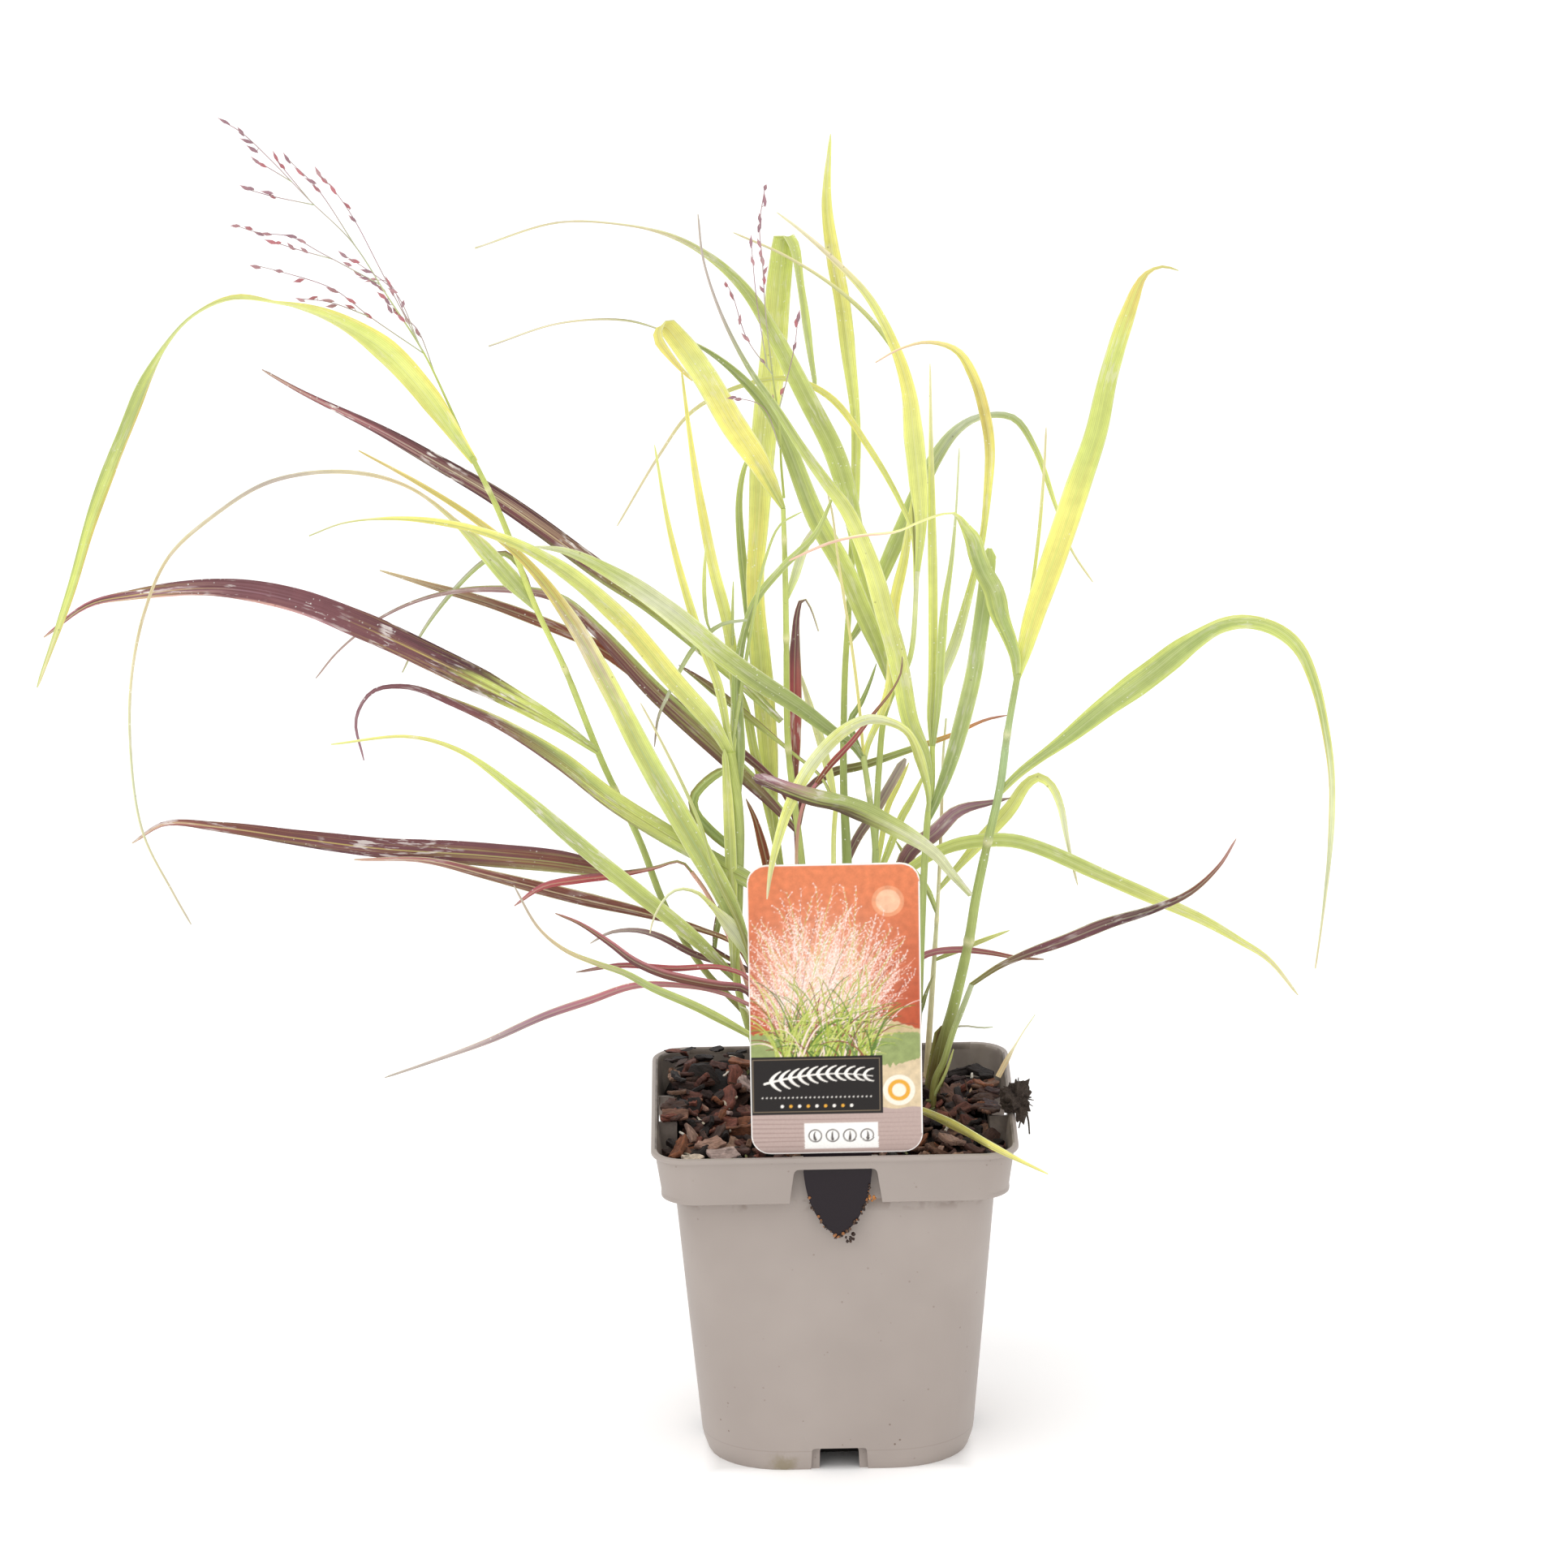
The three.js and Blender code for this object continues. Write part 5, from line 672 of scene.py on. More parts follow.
        row([(-14.7, 292), (-10, 312), (1, 321.5), (16, 325), (36, 331.5), (58, 339), (74, 346),
             (84, 348)], [22, 31, 34, 33, 31], [2, 4.2, 4.4, 3.6, 3, 1.8, 0.9],
            "wine plum olive green orange red"),
    ),
    "pale_leaf_shoot": (
        row([(6, 139), (3, 230), (2.5, 290), (4, 308)], [12, 14, 16.5], [2.6, 2.6, 2.4, 2.2],
            "tan pale lime"),
        row([(3.8, 304), (1, 321), (-3, 338), (-7, 352), (-12, 371)], [16.5, 25, 31, 32],
            [2, 4, 4.4, 3.4, 0.9], "lime pale"),
        row([(3.8, 304), (-3, 320), (-14, 330), (-31, 345), (-45, 357), (-61, 370), (-68, 375)],
            [16.5, 17.5, 17, 16], [1.4, 1.5, 2, 3.6, 4.4, 0.9], "fresh fresh olive plum",
            edges="plum|green"),
    ),
    "purple_shoot_right": (
        row([(25, 140), (29, 200), (30, 252)], [38, 35, 33], [2.8, 2.6, 2.4], "wine rust plum"),
        row([(30, 248), (33, 272), (39, 284), (49, 291), (59, 301), (66, 304), (74, 305.5), (85, 308)],
            [33, 33, 32, 30], [2.4, 5, 7.4, 8.4, 7, 3.8, 0.9], "plum plum lilac plum", scuffed=0.5),
        row([(28.7, 195), (34, 222), (44, 232), (58, 234.5), (73, 233), (88, 230), (100, 229)],
            [35, 34, 32, 31], [2, 2.4, 3.4, 3.4, 2.4, 0.9], "plum rose rust"),
    ),
    "low_leaf_over_rim": (
        row([(25, 140), (30, 156), (36, 160)], [6, 3, 0], [3, 2.8, 2.4], "olive fresh"),
        row([(34, 160), (47, 153), (61, 145.4), (74, 137.6), (87.5, 130), (101, 123)],
            [0, -28, -57, -85, -104, -114], [3, 5.2, 6, 5.6, 3.6, 0.9], "yellow yellow yellow yellow"),
    ),
}

# Leaves with a solid of their own, which clasp a stem.
CLASPING = {
    "left_purple_leaf": row([(-106.5, 334), (-124, 347), (-152, 364), (-185, 382), (-215, 397),
         (-244, 409), (-280, 416), (-322, 413), (-340, 409), (-361, 394)], [-1, -4, -8, -13, -17, -20],
        [3, 8, 12, 13, 13, 12, 10, 7, 3.4, 1],
        "green yellow_green yellow_green dark_plum plum plum plum plum plum plum mauve plum plum rose",
        edges="green fresh yellow_green dark_plum dark_plum dark_plum plum plum plum plum plum plum "
        "rose rose|green yellow_green yellow_green dark_plum plum plum plum mauve pink plum pink "
        "mauve rose rose", veins="olive olive gold plum lilac gold straw", streaked=0.5, scuffed=1,
        ragged=1.6),
    "centre_purple_leaf": row([(-21, 347), (-45, 372), (-79, 403), (-100, 418), (-129, 441),
         (-152, 458), (-176, 473), (-202, 489), (-238, 508), (-256, 519)], [13, 12, 11, 9, 5, 0],
        [3, 7, 8.6, 9, 9, 8, 6, 3, 1], "green fresh olive plum plum plum plum rose tan",
        edges="green plum dark_plum dark_plum plum|green green dark_plum dark_plum plum",
        veins="olive olive tan cream ash ash", streaked=0.45, scuffed=1, ragged=2),
    "purple_edged_leaf": row([(66, 261), (57, 272), (50, 281), (38, 290), (23, 298.6), (8, 305.7),
         (-5, 309), (-21, 315), (-34, 320.5)], [15, 0, -16, -32, -48, -60, -70],
        [2.6, 4.6, 6.6, 9.6, 10.8, 10.2, 8.4, 5.8],
        "fresh pale pale pale pale fresh green green plum lilac", reach=0.06,
        edges="pale pale pale fresh green green mauve lilac|pale pale pale fresh dark_plum dark_plum "
        "dark_plum dark_plum", streaked=0.3, scuffed=0.5, ragged=1.5),
    "right_purple_leaf": row([(65.5, 217), (79, 226), (90, 231), (110, 238), (130, 246), (150, 252),
         (168, 260), (182, 273), (190, 286)], [13, 4, -4, -12, -20],
        [2.2, 3.2, 5.6, 6.4, 4.6, 3.4, 2, 0.9], "olive plum plum dark_plum wine rose", scuffed=0.5),
}

# Each head: its axis, its branches as (route, depth), and the places of its seed cases.
PANICLES = {
    "left_flower_head": (
        row([(-161.8, 478), (-171, 501), (-182, 526), (-198, 553), (-213, 578), (-232, 598),
             (-249, 617), (-262, 630), (-270, 635)], [-4, -8, -10, -12], [1.3, 0.8, 0.5, 0.4],
            "green fresh grey_green ash lilac"),
        [([(-182, 524), (-200, 564), (-212, 589), (-221, 603), (-228, 611)], [-9, -14]),
         ([(-212, 576), (-228, 603), (-241, 617)], [-11, -3]),
         ([(-232, 598), (-244, 614), (-247, 619)], [-12, -8]),
         ([(-240, 606), (-253, 615), (-257, 617)], [-12, -16]),
         ([(-228, 594), (-249, 600), (-262, 604)], [-12, -18]),
         ([(-201, 558), (-227, 573), (-241, 581), (-255, 583), (-267, 587)], [-10, -18]),
         ([(-221, 570), (-235, 574), (-250, 579)], [-13, -6]),
         ([(-181, 521), (-206, 543), (-222, 556), (-247, 565), (-258, 568)], [-10, 6]),
         ([(-208, 544), (-224, 550), (-238, 552)], [-6, -4]),
         ([(-183, 528), (-194, 554), (-208, 566), (-217, 572)], [-10, -18]),
         ([(-177, 513), (-184, 536), (-189, 542), (-197, 559), (-205, 560)], [-8, -4])],
        [(-212.5, 589), (-215, 595), (-221, 603), (-225, 607), (-227.5, 610.5), (-228.5, 603),
         (-231, 607), (-236, 611), (-241.5, 617.5), (-244, 614), (-246.5, 618.5), (-253, 615),
         (-255.5, 616.5), (-257, 622), (-259.5, 626), (-262, 630), (-269.5, 635), (-249, 600),
         (-251, 602), (-259, 604), (-261, 604), (-236.5, 579), (-241, 581), (-252, 582.5),
         (-255.5, 582.5), (-260, 585.5), (-266, 586.5), (-235, 574.5), (-241, 576.5), (-247, 578),
         (-250, 579), (-214.5, 551), (-222.5, 556), (-238, 560.5), (-247, 565), (-257.5, 567.5),
         (-215, 548), (-223.5, 548), (-225, 551), (-232, 552), (-237.5, 551.5), (-217.5, 572),
         (-215.5, 568), (-212.5, 569), (-207, 564.5), (-205, 560), (-197, 559), (-195.5, 555),
         (-190.5, 548.5), (-189, 541.5), (-184.5, 535.5), (-211.2, 563.4), (-207.9, 561), (-204, 558.9),
         (-200.7, 556.1), (-200.2, 553), (-198, 550.6), (-196.8, 546.8), (-194.2, 545.1),
         (-191.8, 542.4), (-195.2, 555), (-223.3, 556.2), (-214.9, 550.6), (-207.1, 543.6)],
    ),
    "centre_flower_head": (
        row([(-18, 454), (-19, 470), (-19.5, 490), (-22, 510), (-25, 542), (-26, 566), (-27, 582),
             (-24, 601)], [13, 3.5, -1, -7], [1.3, 0.8, 0.5, 0.4], "fresh green ash lilac"),
        [([(-22, 508), (-34, 530), (-40, 550), (-43, 556)], [-1, -9]),
         ([(-20, 492), (-12, 525), (-10, 540)], [4, -4]),
         ([(-22, 510), (-29, 548), (-31, 575)], [-1, -10]),
         ([(-19, 472), (-28, 498), (-41, 502)], [4, -10])],
        [(-26.5, 552.7), (-25.3, 557), (-24.7, 561), (-26, 566), (-26.7, 569.5), (-27.4, 574),
         (-26.9, 581.5), (-26.8, 585.5), (-24.4, 594), (-24, 600), (-27, 519), (-34.4, 530),
         (-36.7, 538.6), (-40.4, 550), (-42.8, 555), (-11.8, 525.5), (-10.9, 536.7), (-9.8, 539.6),
         (-17.9, 504.6), (-22.2, 500.3), (-38.4, 501), (-41.3, 502), (-30.5, 566), (-31, 575)],
    ),
}

SLOTS = {
    "green_leaf": [
        "left_flowering_stem", "thread_leaf", "centre_flowering_stem", "tall_leaf_shoot",
        "inner_leafy_stem", "broad_leaf_stem", "right_tall_stem", "right_side_shoot",
    ],
    "yellow_green_leaf": [
        "left_leafy_stem", "front_leaf_shoot", "ribbed_leaf_shoot", "folded_leaf_shoot",
        "right_leafy_stem", "low_leaf_over_rim",
    ],
    "pale_leaf": ["thin_back_stem", "pale_leaf_shoot"],
    "red_leaf": ["red_leaf_shoot_left", "red_curved_shoot"],
    "purple_leaf": [
        "purple_shoot_left_front", "purple_shoot_left_back", "purple_shoot_centre",
        "purple_shoot_right", "left_purple_leaf", "centre_purple_leaf", "purple_edged_leaf",
        "right_purple_leaf",
    ],
    "flower_head": ["left_flower_head", "centre_flower_head"],
}

# ------------------------------------------------------------------ materials


class Look:
    """A material with short ways to add and link its nodes. A value may be plain or a socket."""

    def __init__(self, name, roughness, specular=0.5, coat=0.0, coat_roughness=0.3):
        self.material = bpy.data.materials.new(name)
        self.material.use_nodes = True
        self.nodes = self.material.node_tree.nodes
        self.shader = self.nodes["Principled BSDF"]
        self.shader.inputs["Roughness"].default_value = roughness
        self.shader.inputs["Specular IOR Level"].default_value = specular
        self.shader.inputs["Coat Weight"].default_value = coat
        self.shader.inputs["Coat Roughness"].default_value = coat_roughness
        self.where = self.nodes.new("ShaderNodeTexCoord").outputs["Object"]

    def feed(self, socket, value):
        if hasattr(value, "is_output"):
            self.material.node_tree.links.new(value, socket)
        elif socket.type == "RGBA":
            socket.default_value = (*value, 1)
        else:
            socket.default_value = value

    def node(self, kind, sources, **settings):
        """A new node. sources gives its sockets, by name or number, their values."""
        made = self.nodes.new("ShaderNode" + kind)
        for name, value in settings.items():
            setattr(made, name, value)
        for key, value in sources.items():
            self.feed(made.inputs[key], value)
        return made

    def layer(self, name):
        """A layer that the mesh carries, such as its tint."""
        return self.node("Attribute", {}, attribute_name=name).outputs

    def grain(self):
        return self.node("UVMap", {}, uv_map="grain").outputs["UV"]

    def split(self, vector):
        return self.node("SeparateXYZ", {"Vector": vector}).outputs

    def noise(self, scale, detail=4.0, rough=0.55, vector=None):
        sources = {"Vector": vector or self.where, "Scale": scale, "Detail": detail, "Roughness": rough}
        return self.node("TexNoise", sources).outputs["Fac"]

    def fibres(self, vector, across, lengthwise, detail=3.0, rough=0.55):
        """Noise drawn out along the grain."""
        drawn = self.node("Mapping", {"Vector": vector, "Scale": (across, lengthwise, 1)})
        return self.noise(1.0, detail, rough, drawn.outputs["Vector"])

    def dots(self, scale, size, soft, strength=1.0):
        """Scattered round dots."""
        spread = self.node("TexVoronoi", {"Vector": self.where, "Scale": scale}).outputs["Distance"]
        return self.remap(spread, size, soft, strength, 0.0)

    def remap(self, value, from_low, from_high, to_low=0.0, to_high=1.0):
        sources = {"Value": value, "From Min": from_low, "From Max": from_high,
                   "To Min": to_low, "To Max": to_high}
        return self.node("MapRange", sources).outputs["Result"]

    def maths(self, operation, *values):
        return self.node("Math", dict(enumerate(values)), operation=operation).outputs["Value"]

    def times(self, first, *others):
        for other in others:
            first = self.maths("MULTIPLY", first, other)
        return first

    def scaled(self, colour, factor):
        sources = {0: colour, "Scale": factor}
        return self.node("VectorMath", sources, operation="SCALE").outputs["Vector"]

    def distance_from(self, place_on):
        sources = {0: self.where, 1: place_on}
        return self.node("VectorMath", sources, operation="DISTANCE").outputs["Value"]

    def mix(self, factor, first, second):
        made = self.node("Mix", {}, data_type="RGBA")
        sockets = {(socket.name, socket.type): socket for socket in made.inputs}
        self.feed(sockets["Factor", "VALUE"], factor)
        self.feed(sockets["A", "RGBA"], first)
        self.feed(sockets["B", "RGBA"], second)
        return next(socket for socket in made.outputs if socket.type == "RGBA")

    def finish(self, colour, height, strength, distance):
        """The material, with its colour and a bump from a height."""
        sources = {"Height": height, "Strength": strength, "Distance": distance}
        self.feed(self.shader.inputs["Base Color"], colour)
        self.feed(self.shader.inputs["Normal"], self.node("Bump", sources).outputs["Normal"])
        return self.material


RIB_PITCH = 0.00082
MIDRIB = (0.00018, 0.0004)


def leaf_material(name, roughness=0.42, rib_shade=0.09, specks=0.6):
    """Leaf skin: fine ribs with painted shade in their grooves and painted light on their tops, streaks
    and scuffs along it, a pale midrib, mottling, and droplets painted as near-white glints.
    """
    look = Look(name, roughness, 0.28)
    tint, vein, grain = look.layer("tint"), look.layer("vein"), look.grain()
    off_middle = look.split(grain)["X"]
    ribs = look.maths("SINE", look.times(off_middle, 2 * math.pi / RIB_PITCH))
    lanes = look.fibres(grain, 1500, 9)
    bands = look.fibres(grain, 430, 7, 2.0)
    height = look.maths("ADD", look.times(ribs, 0.35), lanes)
    # Painted shade and light: the colour follows the relief, darker in the grooves between the ribs and
    # lanes and lighter on their tops; the bands add streaks of the leaf's own tone.
    relief_shade_and_tone = look.remap(height, 0.1, 0.9, 1 - rib_shade, 1 + rib_shade)
    relief_shade_and_tone = look.times(relief_shade_and_tone, look.remap(bands, 0.35, 0.65, 0.94, 1.06))
    blotch = look.remap(look.noise(150, 5), 0.3, 0.7, 0.92, 1.07)
    colour = look.scaled(tint["Color"], look.times(relief_shade_and_tone, blotch))
    mixed = look.maths("ADD", look.times(lanes, 0.55), look.times(bands, 0.45))
    streak = look.times(look.remap(mixed, 0.5, 0.64), tint["Alpha"])
    colour = look.mix(streak, colour, vein["Color"])
    middle = look.remap(look.maths("ABSOLUTE", off_middle), *MIDRIB, 0.55, 0.0)
    colour = look.mix(middle, colour, vein["Color"])
    dash = look.remap(look.fibres(grain, 700, 90), 0.52, 0.6)
    worn = look.remap(look.noise(34, 3), 0.48, 0.6)
    colour = look.mix(look.times(dash, worn, vein["Alpha"]), colour, linear("#ece4e0"))
    # Painted highlight: droplets drawn as near-white dots, the glint of water, which also raise the
    # bump.
    patch = look.remap(look.noise(41, 2), 0.5, 0.62)
    droplet_glint = look.times(look.dots(380, 0.11, 0.17), patch, specks)
    colour = look.mix(droplet_glint, colour, (0.93, 0.93, 0.88))
    colour = look.mix(look.dots(95, 0.035, 0.06, 0.6 * specks), colour, linear("#5b4332"))
    rough = look.remap(blotch, 0.92, 1.07, roughness - 0.06, roughness + 0.08)
    look.feed(look.shader.inputs["Roughness"], rough)
    return look.finish(colour, look.maths("ADD", height, droplet_glint), 0.35, 0.00012)


SMEAR = (-0.026, -0.063, 0.002)
SEAM_HEIGHT = 0.0102


def plastic_material(name):
    """Moulded plastic: painted shade inside and in the tunnels, a painted shadow with dirt under the
    collar, dusty, with specks of soil, a smear and a mould seam.
    """
    look = Look(name, 0.46, 0.45)
    height = look.split(look.where)["Z"]
    inner = look.layer("inner")["Fac"]
    dirt_and_shade_noise = look.noise(85, 4)
    cloud = look.remap(look.noise(14, 3), 0.3, 0.7)
    colour = look.mix(cloud, linear("#a89d96"), linear("#9e938c"))
    # Painted shade: the inside faces are darkened toward two dark browns, and the tunnels, where inner
    # is above 1, to near black.
    inside_shade = look.mix(look.remap(dirt_and_shade_noise, 0.4, 0.62), linear("#7d7167"), linear("#4f433a"))
    colour = look.mix(look.remap(inner, 0, 1, 0, 0.88), colour, inside_shade)
    colour = look.mix(look.remap(inner, 1, 2), colour, linear("#1c1512"))
    low = look.remap(height, 0.0, 0.05, 0.9, 0.3)
    patch = look.remap(look.noise(60, 2), 0.5, 0.6)
    colour = look.mix(look.times(look.dots(190, 0.07, 0.12), low, patch), colour, linear("#5c4334"))
    smear = look.remap(look.distance_from(SMEAR), 0.003, 0.011, 0.55, 0.0)
    smear = look.times(smear, look.remap(look.noise(130, 5), 0.44, 0.6))
    colour = look.mix(smear, colour, linear("#7d7148"))
    # Painted shadow with patchy dirt: a brown band just under the collar's lower edge.
    under_collar_shade_and_dirt = look.times(look.remap(height, 0.1315, 0.1375), look.remap(height, 0.1386, 0.1378))
    under_collar_shade_and_dirt = look.times(under_collar_shade_and_dirt, look.remap(dirt_and_shade_noise, 0.5, 0.6), 0.55)
    colour = look.mix(under_collar_shade_and_dirt, colour, linear("#5f4c3c"))
    seam = look.maths("ABSOLUTE", look.maths("SUBTRACT", height, SEAM_HEIGHT))
    colour = look.mix(look.remap(seam, 0.0001, 0.0004, 0.3, 0.0), colour, linear("#857a72"))
    return look.finish(colour, look.noise(900, 3), 0.12, 0.0002)


def crumb_material(name, first, second, third, scale):
    """Crumbly earth of three inks."""
    look = Look(name, 0.95, 0.2)
    coarse = look.remap(look.noise(scale, 8, 0.7), 0.35, 0.65)
    fine = look.remap(look.noise(scale * 4.3, 6, 0.7), 0.52, 0.68)
    colour = look.mix(coarse, linear(first), linear(second))
    colour = look.mix(fine, colour, linear(third))
    return look.finish(colour, look.maths("ADD", coarse, fine), 0.8, 0.0012)


def bark_material(name):
    """Tinted bark with fibres along each chip."""
    look = Look(name, 0.62, 0.3)
    fibre = look.fibres(look.grain(), 90, 900, 6, 0.65)
    lumps = look.noise(260, 6, 0.65)
    light = look.maths("ADD", look.remap(fibre, 0.32, 0.68, 0.2, 0.82),
                       look.remap(lumps, 0.34, 0.66, 0.0, 0.56))
    colour = look.scaled(look.layer("tint")["Color"], light)
    return look.finish(colour, look.maths("ADD", fibre, lumps), 0.9, 0.0011)


def card_material(name):
    """Printed card under a thin film: the tint is the print."""
    look = Look(name, 0.4, 0.25, coat=0.08, coat_roughness=0.25)
    dust = look.remap(look.noise(900, 4), 0.3, 0.7, 0.95, 1.04)
    colour = look.scaled(look.layer("tint")["Color"], dust)
    return look.finish(colour, look.noise(300, 3), 0.05, 0.0002)


# ------------------------------------------------------------------ pot

POT = {"rim": 170, "height": 162, "wall": 1.3, "lip": 2.2, "band": 24, "shoulder": 6, "base": 128}
SLOT = {"top": 38, "bottom": 43, "strip": 6.5, "wall": 1.2}
TUNNEL = {"width": 19, "height": 10, "length": 26}
PORCH = {"width": 27, "height": 11.5, "depth": 4.6}
DRAIN = {"diameter": 9, "inset": 47, "circle": 84}
RIM = POT["rim"] / 2
BAND = RIM - POT["lip"] * 2.1
BASE = POT["base"] / 2
BAND_BOTTOM = POT["height"] - POT["band"]
SHOULDER = BAND - POT["shoulder"]
SLOT_TOP = POT["height"] - SLOT["strip"]
SHOULDER_LEDGE = 74
MULCH = {"top": 152, "heap": 12, "pocket": 24.9, "depth": 72.4}
GAP = 0.35


def square_ring(half, radius, z, steps=9):
    """A level square with round corners."""
    points = []
    for quarter in range(4):
        for step in range(steps + 1):
            angle = math.pi / 2 * (quarter + step / steps)
            centre = math.pi / 2 * (quarter + 0.5)
            reach = (half - radius) * math.sqrt(2)
            points.append(Vector((
                math.cos(centre) * reach + math.cos(angle) * radius,
                math.sin(centre) * reach + math.sin(angle) * radius,
                z,
            )))
    return points


# Half width, corner radius and height of each ring up the outside, and then over the lip.
OUTSIDE = [
    (BASE - 3.2, 36, 0), (BASE - 2.6, 37, 0.9), (BASE - 0.5, 39.5, 6.6), (BASE, 40, 8.4),
    (BASE + 5.19, 31, 71.8), (SHOULDER, 22, 137.2), (SHOULDER + 0.5, 21.8, 137.6),
    (BAND - 0.6, 17, 138.0), (BAND + 0.25, 17, 138.5), (BAND + 0.35, 17, 139.6),
    (BAND + 0.1, 17, 140.4), (RIM - 2.0, 16, 158.6), (RIM - 1.5, 16.2, 159.2),
]
LIP = [
    (RIM - 0.4, 16.8, 159.5), (RIM, 17, 160.1), (RIM + 0.05, 17, 160.8), (RIM - 0.25, 16.8, 161.6),
    (RIM - 0.9, 16.2, 162), (RIM - 1.7, 15.6, 162), (RIM - 2.6, 14.9, 161.6),
    (RIM - 3.1, 14.7, 160.6),
]


def inside_at(z, gap=0.0):
    """Half width and corner radius of the pot's inside at a height."""
    inset = POT["wall"] + gap
    levels = [
        (BASE - 3.2, 36, 0), (BASE, 40, 8), (BASE + 5.19, 31, 71.8),
        (SHOULDER, 22, 137.5 + inset), (BAND, 17, 138.5 + inset), (RIM - 1.8, 16, 159.0),
        (RIM - 1.8, 16, 190.0),
    ]
    above = next(i for i in range(1, len(levels)) if levels[i][2] >= z)
    low, high = levels[above - 1], levels[above]
    share = (z - low[2]) / (high[2] - low[2])
    return (low[0] + (high[0] - low[0]) * share - inset,
            max(low[1] + (high[1] - low[1]) * share - inset, 2))


def mesh_of(points, faces):
    """A body to join or cut, from points in mm."""
    mesh = bpy.data.meshes.new("shape")
    mesh.from_pydata([tuple(p * MM) for p in points], [], faces)
    body = bpy.data.objects.new("shape", mesh)
    bpy.context.scene.collection.objects.link(body)
    return body


def ring_body(rings):
    """A closed body through rings of points."""
    size = len(rings[0])
    return mesh_of([p for ring in rings for p in ring], rings_to_faces(len(rings), size))


def prism(outline, front, back, turn=0):
    """A prism from y = front to y = back over an outline of x and z, turned about Z."""
    spin = Matrix.Rotation(math.radians(turn), 3, "Z")
    count = len(outline)
    points = [spin @ Vector((x, front, z)) for x, z in outline]
    points += [spin @ Vector((x, back, z)) for x, z in outline]
    faces = [tuple(range(count)), tuple(range(2 * count - 1, count - 1, -1))]
    faces += [(i, i + count, (i + 1) % count + count, (i + 1) % count) for i in range(count)]
    return mesh_of(points, faces)


def rounded(corners, radius, steps=5):
    """An outline with its corners rounded, given anticlockwise."""
    outline = []
    for i, corner in enumerate(corners):
        here = Vector(corner)
        before = (Vector(corners[i - 1]) - here).normalized()
        after = (Vector(corners[(i + 1) % len(corners)]) - here).normalized()
        for k in range(steps + 1):
            t = k / steps
            start, end = here + before * radius, here + after * radius
            outline.append(tuple(start * (1 - t) ** 2 + here * (2 * t * (1 - t)) + end * t ** 2))
    return outline


def tapered(bottom_width, top_width, bottom, top, radius=0.0):
    """The outline of an opening that is narrower or wider at its top."""
    corners = [(-bottom_width / 2, bottom), (bottom_width / 2, bottom),
               (top_width / 2, top), (-top_width / 2, top)]
    return rounded(corners, radius) if radius else corners


def pocket_outline(extra, bottom, top, radius=0.0):
    """The outline of a label pocket between two heights, made wider by extra on each side."""
    slope = (SLOT["bottom"] - SLOT["top"]) / (SLOT_TOP - BAND_BOTTOM)
    widths = [SLOT["bottom"] + 2 * extra - slope * (z - BAND_BOTTOM) for z in (bottom, top)]
    return tapered(*widths, bottom, top, radius)


def combine(body, others, operation):
    """Joins or cuts a body with others, and removes them."""
    for other in others:
        change = body.modifiers.new("change", "BOOLEAN")
        change.operation = operation
        change.object = other
        change.solver = "EXACT"
        view = bpy.context.evaluated_depsgraph_get()
        made = bpy.data.meshes.new_from_object(body.evaluated_get(view))
        body.modifiers.clear()
        body.data = made
        bpy.data.objects.remove(other)
    return body


def beyond(x, y, half, radius):
    """How far a point is outside a square with round corners."""
    dx, dy = abs(x) - half + radius, abs(y) - half + radius
    return math.hypot(max(dx, 0), max(dy, 0)) + min(max(dx, dy), 0) - radius


def painted_shade_at(point):
    """How much painted shade a point of the pot gets: 2 deep in a tunnel, up to 1 on its inside faces
    above the collar's foot.
    """
    near, wide = min(abs(point.x), abs(point.y)), max(abs(point.x), abs(point.y))
    in_tunnel = point.z < TUNNEL["height"] + 2.5 and near < TUNNEL["width"] / 2 + 0.3
    if in_tunnel and 37 < wide < 59:
        return 2.0
    if point.z < BAND_BOTTOM + 1:
        return 0.0
    if wide > SHOULDER_LEDGE and near < 22.4:
        return 0.0 if point.y < -SHOULDER_LEDGE else 0.9 * (wide < RIM - 2)
    return 0.5 * (beyond(point.x, point.y, *inside_at(point.z)) < 0.25)


def drill(x, y, low, high):
    """What a drain hole takes away."""
    turns = [math.pi / 12 * k for k in range(24)]
    reach = DRAIN["diameter"] / 2
    circle = [(x + reach * math.cos(turn), y + reach * math.sin(turn)) for turn in turns]
    return ring_body([[Vector((a, b, z)) for a, b in circle] for z in (low, high)])


QUARTERS = (0, 90, 180, 270)
INNER_LEVELS = (2, 8, 40, 71.8, 105, 137.5, 139.8, 141.0, 150.0, 159.0)
ABOVE_FLOOR = 0.2
CUT_EDGE = {"pocket": 2.6, "foot": 1.6}


def pot_shell():
    """The pot's wall and floor, before anything joins it or is cut from it."""
    inner = [square_ring(*inside_at(z), z) for z in INNER_LEVELS]
    return ring_body([square_ring(*level) for level in OUTSIDE + LIP] + inner[::-1])


def pot_linings():
    """The inward walls round the label pockets, the porches and the tunnels."""
    wall = POT["wall"]
    walls = []
    for turn in QUARTERS:
        pocket = pocket_outline(SLOT["wall"], 137.6, 159)
        walls.append(prism(pocket, -RIM, -SHOULDER + SLOT["wall"], turn))
        for width, height, back in (
            (PORCH["width"], PORCH["height"], PORCH["depth"]),
            (TUNNEL["width"], TUNNEL["height"], TUNNEL["length"]),
        ):
            outline = tapered(width + 2 * wall, width + 2 * wall, ABOVE_FLOOR, height + wall)
            walls.append(prism(outline, -RIM, back - BASE + wall, turn))
    skin = [square_ring(half - 0.02, radius, z) for half, radius, z in OUTSIDE]
    inward = combine(walls[0], walls[1:], "UNION")
    return combine(inward, [ring_body(skin)], "INTERSECT")


